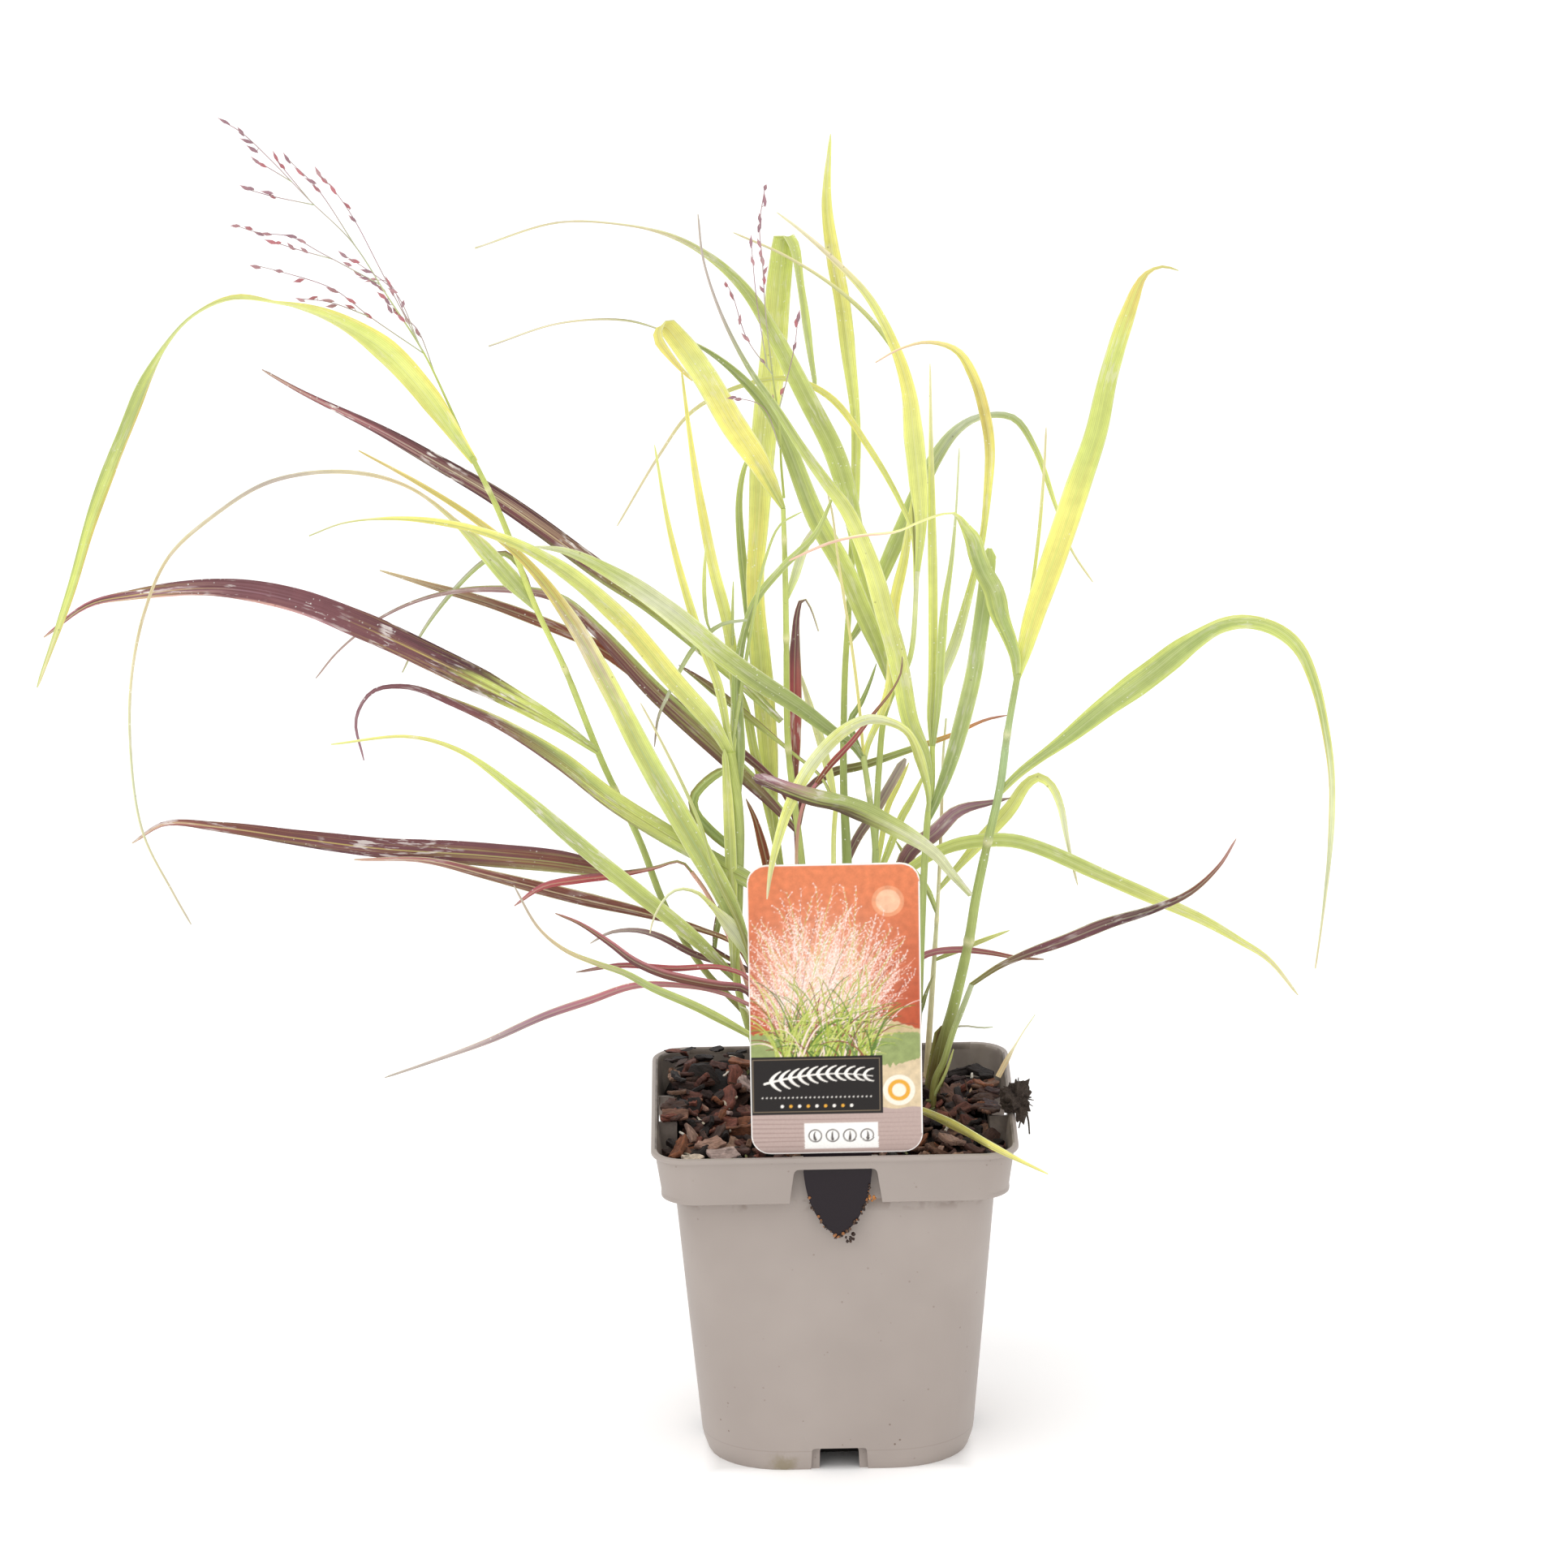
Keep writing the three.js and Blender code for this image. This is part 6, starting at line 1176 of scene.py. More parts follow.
def pot_rooms():
    """What is cut from the pot: pockets, porches, tunnels and drain holes."""
    rooms = []
    for turn in QUARTERS:
        pocket = pocket_outline(0, 134, SLOT_TOP, CUT_EDGE["pocket"])
        rooms.append(prism(pocket, -RIM - 2, -SHOULDER, turn))
        rooms.append(prism(pocket_outline(0, SLOT_TOP - 3, 163), -RIM + 3.4, -SHOULDER, turn))
        for width, top_width, height, back in (
            (PORCH["width"], PORCH["width"] - 1.5, PORCH["height"], PORCH["depth"]),
            (TUNNEL["width"], TUNNEL["width"] - 1, TUNNEL["height"], TUNNEL["length"]),
        ):
            outline = tapered(width, top_width, -2, height, CUT_EDGE["foot"])
            rooms.append(prism(outline, -RIM, back - BASE, turn))
    corner = DRAIN["circle"] / 2 * math.sqrt(0.5)
    for dx, dy in ((1, 1), (1, -1), (-1, 1), (-1, -1)):
        rooms.append(drill(corner * dx, corner * dy, -2, 5))
    for dx, dy in ((1, 0), (-1, 0), (0, 1), (0, -1)):
        rooms.append(drill(DRAIN["inset"] * dx, DRAIN["inset"] * dy, 7, 15))
    return rooms


def make_pot():
    """The nursery pot, with painted shade marked on its inside faces and in its tunnels."""
    pot = pot_shell()
    combine(pot, [pot_linings()], "UNION")
    combine(pot, pot_rooms(), "DIFFERENCE")
    mesh = pot.data
    mesh.name = "pot_fine"
    # The inner layer holds how much painted shade each face gets.
    inner = mesh.attributes.new("inner", "FLOAT", "FACE")
    inner.data.foreach_set("value", [painted_shade_at(face.center / MM) for face in mesh.polygons])
    bpy.data.objects.remove(pot)
    return place("pot", mesh, "pot_plastic", plastic_material("taupe_plastic"), sharp=32)


# ------------------------------------------------------------------ soil and bark


def mulch_height(x, y):
    """The top of the bark, which is heaped towards the left at the back."""
    return MULCH["top"] + MULCH["heap"] * smoothstep(y - x, 30, 150)


def make_soil():
    """The plug of soil, as the CAD node has it."""
    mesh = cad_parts["potting_soil"].data.copy()
    return place("potting_soil", mesh, "potting_soil", crumb_material(
        "potting_mix", "#1d1512", "#33241d", "#5a4634", 700), sharp=20)


def split_sides(ring, parts=30, steps=9):
    """The ring with points added along its four straight sides."""
    points = []
    for i, point in enumerate(ring):
        points.append(point)
        if i % (steps + 1) == steps:
            after = ring[(i + 1) % len(ring)]
            points += [point.lerp(after, k / parts) for k in range(1, parts)]
    return points


def kept_in(point, gap=0.7, pockets=True):
    """Moves a point in from the pot's wall and out of the label pockets."""
    half, radius = inside_at(max(point.z, 139.8), gap)
    x, y = point.x, point.y
    over_by = beyond(x, y, half, radius)
    if over_by > 0:
        cx = math.copysign(min(abs(x), half - radius), x)
        cy = math.copysign(min(abs(y), half - radius), y)
        away = Vector((x - cx, y - cy))
        away *= radius / max(away.length, 1e-6)
        x, y = cx + away.x, cy + away.y
    if pockets and abs(x) < MULCH["pocket"] and abs(y) > MULCH["depth"]:
        y = math.copysign(MULCH["depth"], y)
    if pockets and abs(y) < MULCH["pocket"] and abs(x) > MULCH["depth"]:
        x = math.copysign(MULCH["depth"], x)
    return Vector((x, y, min(point.z, 164)))


# Height, as a share of the thickness, and size of each ring of a flake.
FLAKE_LAYERS = ((-0.5, 0.92), (-0.1, 1.0), (0.38, 0.97), (0.5, 0.9), (0.52, 0.6), (0.5, 0.28))


def flake(shape, length, width, thick, where, lean, ink, pockets=True):
    """A torn flake of bark: a few uneven corners with ragged edges between, and a split skin."""
    count = dice.randint(5, 7)
    start = dice.uniform(0, 6.28)
    corners = []
    for k in range(count):
        angle = start + 2 * math.pi * (k + dice.uniform(-0.33, 0.33)) / count
        reach = dice.uniform(0.8, 1.12)
        c, s = math.cos(angle), math.sin(angle)
        x = math.copysign(abs(c) ** 0.6, c) * length / 2 * reach
        corners.append(Vector((x, math.copysign(abs(s) ** 0.6, s) * width / 2 * reach)))
    outline = []
    for a, b in zip(corners, corners[1:] + corners[:1]):
        across = Vector((a.y - b.y, b.x - a.x)) * 0.07
        for t in (0, 0.3, 0.62, 0.84):
            outline.append(a.lerp(b, t) + across * (dice.uniform(-1, 1) if t else 0))
    size = len(outline)
    seed = dice.uniform(0, 99)
    bow = dice.uniform(-0.08, 0.12) * length
    points = []
    tints = []
    grain = []
    for level, scale in FLAKE_LAYERS:
        for x, y in outline:
            x, y = x * scale, y * scale
            ridge = noise.noise(Vector((x * 0.1, y * 0.9, seed)))
            ridge += 0.6 * noise.noise(Vector((x * 0.5, y * 0.5, seed)))
            z = thick * (level + 0.3 * ridge) + bow * (2 * x / length) ** 2
            points.append(kept_in(lean @ Vector((x, y, z)) + where, pockets=pockets))
            rim_light = 0.16 if level > 0.3 and scale > 0.85 else 0
            light = 1 + 0.22 * ridge + rim_light - (0.2 if level < 0 else 0)
            tints.append(ink * light)
            grain.append(((x + seed) * MM, (y + z) * MM))
    shape.add(points, rings_to_faces(len(FLAKE_LAYERS), size), tints, grain)


BARK_INKS = ("#4c3838", "#4a332a", "#5d413b", "#6a4238", "#755644", "#7f4a3c", "#7b5848", "#8c573c",
             "#3f2d2a", "#55382f", "#2c2422", "#2c2422", "#3a2a26", "#241c1a")
BLEACHED_INKS = ("#b28b7a", "#b79f98", "#a98777", "#9c7a66")
LITTER_INKS = ("#e1d3bd", "#b59a7c", "#8a5b40", "#efe6d8", "#6f7448", "#5f4436")
BLEACHED_SHARE = 0.09
# The bed's near-black ink is painted shade in the gaps between the chips, over the dark of the soil.
SHADED_BED = {"levels": (140.4, 143, 146), "rings": 14, "depth": 5, "waves": 3.5, "ink": "#1d1513"}
# Each layer of chips: how many, the shortest and the longest.
CHIP_LAYERS = ((110, 12, 24), (170, 8, 24), (190, 6, 19))
CHIPS = {"spread": 158, "reach": 78, "lowest": -3, "layer": 2.2, "clear": 66, "pocket": 30}
# Chips that are seen clearly: x, y, length, width, turn and ink.
SLABS = (
    (-52, -60, 15, 12, 0.3, "#b79f98"), (-66, -64, 12, 9, 1.0, "#e1ceba"),
    (-58, -44, 20, 9, 0.8, "#b28b7a"), (55, -46, 16, 9, 2.2, "#a98777"),
    (40, 46, 17, 10, 0.5, "#b79f98"), (-40, 56, 24, 10, 2.7, "#8c573c"),
)


def tilted(*tilts):
    """A random turn about Z, with random tilts, each an axis and its spread, before it."""
    lean = Matrix.Rotation(dice.uniform(0, math.pi), 3, "Z")
    for axis, spread in tilts:
        lean = lean @ Matrix.Rotation(dice.gauss(0, spread), 3, axis)
    return lean


def bark_bed(shape):
    """The uneven bed that the chips lie in, dark as the soil and as painted shade in the gaps between
    them.
    """
    rings = [split_sides(square_ring(*inside_at(z, GAP), z)) for z in SHADED_BED["levels"]]
    for i in range(1, SHADED_BED["rings"] + 1):
        scale = 1 - i / (SHADED_BED["rings"] + 0.5)
        rings.append([
            Vector((p.x * scale, p.y * scale, mulch_height(p.x * scale, p.y * scale) - SHADED_BED["depth"]
                    + SHADED_BED["waves"] * noise.noise(Vector((p.x * scale * 0.09, p.y * scale * 0.09, 3)))))
            for p in rings[2]
        ])
    bed = [kept_in(p) for ring in rings for p in ring]
    grain = [(p.x * MM, p.y * MM) for p in bed]
    faces = rings_to_faces(len(rings), len(rings[0]))
    shape.add(bed, faces, [linear(SHADED_BED["ink"])] * len(bed), grain)


def bark_chips(shape, layer, total, shortest, longest):
    """A layer of chips, one at a random place in each cell of a grid."""
    across = math.ceil(math.sqrt(total))
    for i in range(total):
        x = ((i % across + 0.5 + dice.uniform(-0.5, 0.5)) / across - 0.5) * CHIPS["spread"]
        y = ((i // across + 0.5 + dice.uniform(-0.5, 0.5)) / across - 0.5) * CHIPS["spread"]
        length = dice.uniform(shortest, longest)
        width = max(length * dice.uniform(0.24, 0.62), 3.2)
        limit = CHIPS["reach"] - length * 0.3
        x, y = max(-limit, min(limit, x)), max(-limit, min(limit, y))
        wide = max(abs(x), abs(y))
        if wide > CHIPS["clear"] and min(abs(x), abs(y)) < CHIPS["pocket"]:
            shift = CHIPS["clear"] / wide
            x, y = x * shift, y * shift
        top = mulch_height(x, y) + CHIPS["lowest"] + CHIPS["layer"] * layer + dice.uniform(-1, 1)
        steep = 0.62 if layer else 0.3
        lean = tilted(("X", steep), ("Y", steep * 0.7))
        bleached = dice.random() < BLEACHED_SHARE
        ink = linear(dice.choice(BLEACHED_INKS if bleached else BARK_INKS))
        thick = dice.uniform(1.2, 3.0)
        flake(shape, length, width, thick, Vector((x, y, top)), lean, ink)


def bark_slabs(shape):
    for x, y, length, width, turn, ink in SLABS:
        lean = Matrix.Rotation(turn, 3, "Z") @ Matrix.Rotation(0.25, 3, "X")
        where = Vector((x, y, mulch_height(x, y) + 3.4))
        flake(shape, length, width, 2.6, where, lean, linear(ink))


def bark_in_pockets(shape, count=22):
    """Chips that lie over the tops of the right and the left pocket, by turns."""
    for i in range(count):
        x = (1 - i % 2 * 2) * dice.uniform(70, 77)
        lean = tilted(("X", 0.2))
        where = Vector((x, dice.uniform(-20, 20), 160.6 + dice.uniform(0, 1.2)))
        ink = linear(dice.choice(BARK_INKS))
        flake(shape, dice.uniform(9, 16), dice.uniform(5, 8), 1.6, where, lean, ink, False)


def litter(shape, count=60):
    """Thin pale and dark splinters on top."""
    for _ in range(count):
        x, y = dice.uniform(-70, 70), dice.uniform(-68, 66)
        lean = tilted(("Y", 0.35))
        ink = linear(dice.choice(LITTER_INKS))
        where = Vector((x, y, mulch_height(x, y) + dice.uniform(0.5, 3.4)))
        flake(shape, dice.uniform(3, 10), dice.uniform(0.9, 2.2), 0.9, where, lean, ink)


def make_bark():
    """The layer of bark: a bed, three layers of chips, and what lies on them."""
    shape = Shape()
    bark_bed(shape)
    for layer, (total, shortest, longest) in enumerate(CHIP_LAYERS):
        bark_chips(shape, layer, total, shortest, longest)
    bark_slabs(shape)
    bark_in_pockets(shape)
    litter(shape)
    return shape.finish("bark_mulch", "bark", bark_material("bark_chips"), sharp=24)


# ------------------------------------------------------------------ plant label

LABEL = {"width": 79, "height": 139, "corner": 9, "thickness": 0.8, "bottom": 162.5, "front": -79.9,
         "middle": 1, "cell": 0.4}
SPEAR = {"width": 31.5, "length": 32, "neck": 9}


def over(below, ink, edge):
    """ink over the colour below, where edge is how far the point is outside the shape in mm."""
    return below.lerp(ink, smoothstep(-edge, -0.25, 0.25))


def ground_ink(x, z):
    """The print of the label behind its grass, x from its middle and z from its foot, in mm."""
    up = z / LABEL["height"]
    ink = linear("#b5502f").lerp(linear("#dd8055"), smoothstep(up, 0.5, 1.0))
    haze = math.exp(-((x + 6) / 27) ** 2 - ((z - 88) / 24) ** 2)
    ink = ink.lerp(linear("#f0b595"), 0.75 * haze)
    ink = over(ink, linear("#e59a72"), math.hypot(x - 25, z - 121) - 7.4)
    ink = over(ink, linear("#f2bd9a"), math.hypot(x - 25, z - 121) - 5.6)
    ridge = 62 + 5 * math.sin(x * 0.075 + 0.8) + 1.1 * noise.noise(Vector((x * 0.5, 2, 0)))
    ink = over(ink, linear("#c9b38a"), z - ridge)
    ridge = 54 + 4 * math.sin(x * 0.09 - 1.4) + 1.4 * noise.noise(Vector((x * 0.6, 7, 0)))
    ink = over(ink, linear("#93a065"), z - ridge)
    ridge = 45 + 3 * math.sin(x * 0.11 + 2.2) + 1.8 * noise.noise(Vector((x * 0.7, 5, 0)))
    ink = over(ink, linear("#d8c3a0"), z - ridge)
    return ink * (1 + 0.16 * noise.noise(Vector((x * 0.35, z * 0.35, 1))))


class Print:
    """The inks of the card's front, on a fine grid of points."""

    def __init__(self):
        self.cell = LABEL["cell"]
        self.wide = round(LABEL["width"] / self.cell) + 1
        self.high = round(LABEL["height"] / self.cell) + 1
        self.inks = [
            [ground_ink(self.x_at(k), i * self.cell) for k in range(self.wide)] for i in range(self.high)
        ]

    def x_at(self, k):
        return k * self.cell - LABEL["width"] / 2

    def dab(self, x, z, reach, ink, strength=1.0):
        """A round spot of ink with a soft edge."""
        first = max(int((z - reach) / self.cell), 0)
        last = min(int((z + reach) / self.cell) + 2, self.high)
        left = max(int((x + LABEL["width"] / 2 - reach) / self.cell), 0)
        right = min(int((x + LABEL["width"] / 2 + reach) / self.cell) + 2, self.wide)
        for i in range(first, last):
            for k in range(left, right):
                away = math.hypot(self.x_at(k) - x, i * self.cell - z)
                cover = strength * smoothstep(reach - away, -0.24, 0.24)
                if cover > 0:
                    self.inks[i][k] = self.inks[i][k].lerp(ink, cover)

    def stroke(self, start, bend, end, width, ink, strength=1.0):
        """A tapering stroke along a bent line."""
        length = math.dist(start, bend) + math.dist(bend, end)
        count = max(int(length / 0.3), 2)
        for k in range(count + 1):
            t = k / count
            x = start[0] * (1 - t) ** 2 + bend[0] * 2 * t * (1 - t) + end[0] * t * t
            z = start[1] * (1 - t) ** 2 + bend[1] * 2 * t * (1 - t) + end[1] * t * t
            self.dab(x, z, width / 2 * (1 - 0.75 * t) + 0.04, ink, strength)

    def fill(self, inside, ink):
        """Ink wherever inside, a distance in mm, is below nought."""
        for i in range(self.high):
            for k in range(self.wide):
                edge = inside(self.x_at(k), i * self.cell)
                if edge < 0.3:
                    self.inks[i][k] = over(self.inks[i][k], ink, edge)

    def at(self, x, z):
        k = min(max(round((x + LABEL["width"] / 2) / self.cell), 0), self.wide - 1)
        return self.inks[min(max(round(z / self.cell), 0), self.high - 1)][k]


# How many plumes, sprays on each and blades the printed grass has.
PLUMES, SPRAYS, BLADES = 150, 22, 260


def draw_grass(card):
    """A leaning clump: plumes of fine pale sprays above a dense skirt of blades."""
    pale = [linear(code) for code in ("#f7ddd2", "#f3c8b6", "#fdf1ea", "#e9a58c", "#fbe7dc")]
    green = ("#7f9a3a", "#5d7a2e", "#a9b64a", "#c9cf73", "#8a4a3c", "#4c6a2c", "#b5c25c")
    green = [linear(code) for code in green]
    for i in range(PLUMES):
        lean = -0.85 + 1.5 * i / (PLUMES - 1) + dice.uniform(-0.1, 0.1)
        reach = dice.uniform(44, 88) * (1 - 0.2 * abs(lean))
        root = (-5 + dice.uniform(-19, 19), 43 + dice.uniform(-3, 3))
        top = (root[0] + math.sin(lean) * reach * 0.8, root[1] + math.cos(lean) * reach)
        bend = (root[0] + math.sin(lean) * reach * 0.22, root[1] + reach * 0.6)
        card.stroke(root, bend, top, 0.5, dice.choice(pale[3:] + green[2:5]), 0.7)
        for k in range(SPRAYS):
            t = 0.42 + 0.6 * k / SPRAYS
            foot = (bend[0] + (top[0] - bend[0]) * (2 * t - 1) if t > 0.5 else
                    root[0] + (bend[0] - root[0]) * 2 * t, root[1] + (top[1] - root[1]) * t)
            turn = lean + dice.uniform(-1.0, 1.0)
            long = dice.uniform(2.5, 9) * (1.25 - t) + 1
            end = (foot[0] + math.sin(turn) * long, foot[1] + math.cos(turn) * long)
            ink = dice.choice(pale)
            card.stroke(foot, foot, end, 0.34, ink, 0.75)
            card.dab(end[0], end[1], 0.3, ink, 0.9)
    for _ in range(BLADES):
        lean = dice.uniform(-1.1, 1.1)
        reach = dice.uniform(14, 50) * (1 - 0.3 * abs(lean))
        root = (-5 + dice.uniform(-22, 22), 42 + dice.uniform(-3, 4))
        top = (root[0] + math.sin(lean) * reach * 1.15, root[1] + math.cos(lean) * reach)
        bend = (root[0] + math.sin(lean) * reach * 0.3, root[1] + reach * 0.8)
        card.stroke(root, bend, top, dice.uniform(0.4, 0.9), dice.choice(green + pale[:1]), 0.9)


def draw_foot(card):
    """The lower part: a dark panel with a sprig and a row of dots, and a strip of plain signs."""
    dark, cream, gold = linear("#1b1615"), linear("#f4efe8"), linear("#e5a83a")
    card.fill(lambda x, z: z - 21.5 - 0.5 * math.sin(x * 0.4), linear("#b9a39c"))
    for i in range(9):
        z = 2.2 * i + 1.4
        card.stroke((-39, z), (0, z + dice.uniform(-1, 1)), (39, z), 0.5, linear("#9c857f"), 0.6)
    card.fill(lambda x, z: max(abs(x + 9) - 30.5, abs(z - 33) - 14), dark)
    card.fill(lambda x, z: abs(max(abs(x + 9) - 29.2, abs(z - 33) - 12.7)) - 0.14, linear("#8f7d66"))
    card.stroke((-33, 34), (-8, 41), (17, 37), 0.9, cream)
    for k in range(11):
        x = -30 + 4.3 * k
        z = 34.6 + 4.1 * math.sin((x + 33) * 0.05)
        for way in (-1, 1):
            tip = (x + 4.4, z + way * (4.6 - 0.16 * k))
            card.stroke((x, z), (x + 1.0, z + way * 2.8), tip, 1.7 - 0.05 * k, cream)
    for k in range(26):
        card.dab(-34 + 2 * k, 27.2, 0.34, cream)
    for k in range(9):
        card.dab(-25 + 4 * k, 23, 0.75, gold if k % 2 else cream)
    card.fill(lambda x, z: math.hypot(x - 29, z - 30) - 7.4, linear("#f1ead9"))
    card.fill(lambda x, z: math.hypot(x - 29, z - 30) - 5.2, gold)
    card.fill(lambda x, z: math.hypot(x - 29, z - 30) - 3.2, linear("#f1ead9"))
    card.fill(lambda x, z: max(abs(x - 2) - 17, abs(z - 8.5) - 6.2), linear("#f7f5f1"))
    for k in range(4):
        x = -10 + 8 * k
        card.fill(lambda a, b: abs(math.hypot(a - x, b - 8.5) - 2.9) - 0.3, linear("#5b5452"))
        card.stroke((x, 6.6), (x + 0.6 * k - 0.9, 8.6), (x, 10.4), 1.2, linear("#5b5452"))
    half, tall, corner = LABEL["width"] / 2, LABEL["height"] / 2, LABEL["corner"]

    def rim(x, z):
        return -0.45 - beyond_box(x, z - tall, half, tall, corner)

    card.fill(rim, linear("#f6f3ef"))


def beyond_box(x, z, half, tall, radius):
    """How far a point is outside a box with round corners."""
    dx, dz = abs(x) - half + radius, abs(z) - tall + radius
    return math.hypot(max(dx, 0), max(dz, 0)) + min(max(dx, dz), 0) - radius


def card_half(z):
    """Half the card's width at a height, with its round corners."""
    near = min(z - LABEL["bottom"], LABEL["bottom"] + LABEL["height"] - z)
    corner = LABEL["corner"]
    if near >= corner:
        return LABEL["width"] / 2
    return LABEL["width"] / 2 - corner + math.sqrt(max(corner ** 2 - (corner - near) ** 2, 0))


def sheet(shape, rows, columns, inks, back_ink):
    """A flat closed sheet. rows are (height, left, right); inks gives the front's colour."""
    front, back = LABEL["front"], LABEL["front"] + LABEL["thickness"]
    points = []
    tints = []
    for z, left, right in rows:
        for k in range(columns + 1):
            x = left + (right - left) * k / columns
            points.append(Vector((x, front, z)))
            tints.append(inks(x, z))
    first_back = len(points)
    for z, left, right in rows:
        for x in (left, right):
            points.append(Vector((x, back, z)))
            tints.append(back_ink)
    faces = []
    wide = columns + 1
    for i in range(len(rows) - 1):
        for k in range(columns):
            a = i * wide + k
            faces.append((a, a + 1, a + 1 + wide, a + wide))
        b = first_back + 2 * i
        faces.append((b + 1, b, b + 2, b + 3))
        faces.append((b, i * wide, (i + 1) * wide, b + 2))
        faces.append(((i + 1) * wide - 1, b + 1, b + 3, (i + 2) * wide - 1))
    last = (len(rows) - 1) * wide
    end = first_back + 2 * (len(rows) - 1)
    faces.append((first_back, first_back + 1, *range(wide - 1, -1, -1)))
    faces.append((end + 1, end, *range(last, last + wide)))
    shape.add(points, faces, tints, [(p.x * MM, p.z * MM) for p in points])


def crumb(shape, where, reach, ink):
    """A small uneven lump."""
    points = []
    for i in range(5):
        up = math.pi * (i / 4 - 0.5)
        for k in range(6):
            angle = 2 * math.pi * k / 6 + i
            way = Vector((math.cos(up) * math.cos(angle), math.cos(up) * math.sin(angle), math.sin(up)))
            points.append(where + way * reach * dice.uniform(0.7, 1.15))
    shape.add(points, rings_to_faces(5, 6), [ink * dice.uniform(0.8, 1.2) for _ in points],
              [(0, 0)] * len(points))


def card_rows(count):
    """The card as rows of (height, left, right), from its foot up."""
    rows = []
    for i in range(count + 1):
        z = LABEL["bottom"] + LABEL["height"] * i / count
        rows.append((z, LABEL["middle"] - card_half(z), LABEL["middle"] + card_half(z)))
    return rows


def spear_rows(tip, steps=32):
    """The stake's curved point as rows of (height, left, right), from its tip up."""
    middle, neck = LABEL["middle"], SPEAR["width"] / 2
    high = LABEL["bottom"] - SPEAR["neck"]
    low = high - SPEAR["length"] * 0.6
    rows = []
    for i in range(steps + 1):
        t = i / steps
        z = high * (1 - t) ** 3 + 3 * low * t * (1 - t) ** 2
        z += 3 * (tip + 4) * t * t * (1 - t) + tip * t ** 3
        half = neck * ((1 - t) ** 3 + 3 * 0.92 * t * (1 - t) ** 2 + 3 * 0.42 * t * t * (1 - t)) + 0.02
        rows.append((z, middle - half, middle + half))
    return rows[::-1]


def soil_on_stake(shape, edge, tip):
    """Crumbs of soil along the stake's edges, of bark at its side and of soil at its tip."""
    middle, front = LABEL["middle"], LABEL["front"]
    for _ in range(54):
        z, left, right = edge[dice.randrange(len(edge) - 4)]
        x = dice.choice((left, right)) + dice.uniform(-0.7, 0.7)
        ink = linear(dice.choice(("#4a382e", "#6b5242", "#2f2420", "#a06a42")))
        crumb(shape, Vector((x, front - dice.uniform(0, 0.5), z)), dice.uniform(0.3, 0.9), ink)
    for _ in range(7):
        x = middle + 14.5 + dice.uniform(-1, 2.5)
        where = Vector((x, front + 0.6, 139.5 + dice.uniform(-1, 2)))
        crumb(shape, where, dice.uniform(0.5, 0.9), linear(dice.choice(("#b8783f", "#d29a62"))))
    for _ in range(9):
        where = Vector((middle + dice.uniform(-2, 7), front + 1.4, tip + dice.uniform(-3, 2)))
        crumb(shape, where, dice.uniform(0.5, 1.2), linear(dice.choice(("#4a382e", "#3a2b25"))))


def make_label():
    """The printed card with its dark stake, pushed into the front pocket."""
    shape = Shape()
    card = Print()
    draw_grass(card)
    draw_foot(card)
    middle, bottom = LABEL["middle"], LABEL["bottom"]
    dark = linear("#1b1118")
    sheet(shape, card_rows(card.high - 1), card.wide - 1,
          lambda x, z: card.at(x - middle, z - bottom), linear("#f2efec"))
    neck = SPEAR["width"] / 2
    tip = bottom - SPEAR["neck"] - SPEAR["length"]
    edge = spear_rows(tip)
    sheet(shape, edge + [(bottom - 0.02, middle - neck, middle + neck)], 8, lambda x, z: dark, dark)
    soil_on_stake(shape, edge, tip)
    shape.finish("plant_label", "label_card", card_material("printed_card"), sharp=30)


# ------------------------------------------------------------------ flower heads


def spikelet(shape, where, ahead, length, width, ink, tip):
    """A small pointed seed case of two scales."""
    side = ahead.cross(Vector((0.3, 1, 0.2))).normalized()
    face = side.cross(ahead)
    profile = ((0, 0.14), (0.18, 0.7), (0.4, 1.0), (0.64, 0.64), (0.84, 0.26), (1, 0.03))
    for lean, size in ((0.0, 1.0), (0.22, 0.82)):
        points = []
        tints = []
        for share, wide in profile:
            out = lean * math.sin(share * 3.1) * width
            for k in range(7):
                angle = 2 * math.pi * k / 7
                points.append(
                    where + ahead * (length * size * (share - 0.5))
                    + side * (math.cos(angle) * wide * width * size / 2 + out)
                    + face * (math.sin(angle) * wide * width * size / 2 + out * 0.4)
                )
                tints.append(ink.lerp(tip, smoothstep(share, 0.5, 1)))
        shape.add(points, rings_to_faces(len(profile), 7), tints, [(0, 0)] * len(points))


def make_panicle(node, plan, material):
    """A loose head of fine twigs, with a seed case on a short stalk at each of its places."""
    axis, branches, places = plan
    shape = Shape()
    twigs = [stem(shape, dict(axis), 8)]
    for route, depth in branches:
        line = row(route, depth, [0.6, 0.42, 0.34], "grey_green ash lilac ash")
        start = nearest([p for twig in twigs for p in twig], seen_from_front(route[0], depth[0]))
        twigs.append(thread(shape, line, start))
    joints = [(b, (b - a).normalized()) for twig in twigs for a, b in zip(twig, twig[1:])]
    for x, z in places:
        foot, course = min(joints, key=lambda joint: math.dist(layout_place(joint[0]), (x, z)))
        share = (foot.y - VIEWPOINT.y) / -VIEWPOINT.y
        centre = VIEWPOINT + (Vector((x, 0, z)) - VIEWPOINT) * share
        centre.y += dice.uniform(-1.2, 1.2)
        ahead = course + Vector([dice.uniform(-0.35, 0.35) for _ in range(3)])
        ahead = (ahead + (centre - foot) * 0.15).normalized()
        ink = INKS[dice.choice(("mauve", "lilac", "rose"))] * dice.uniform(0.8, 1.1)
        length, width = dice.uniform(5.2, 6.8), dice.uniform(1.5, 1.9)
        spikelet(shape, centre, ahead, length, width, ink, INKS["mauve"])
        stalk(shape, foot - course * 2.5, centre - ahead * 2.4, INKS["ash"])
    shape.finish(node, "flower_head", material)


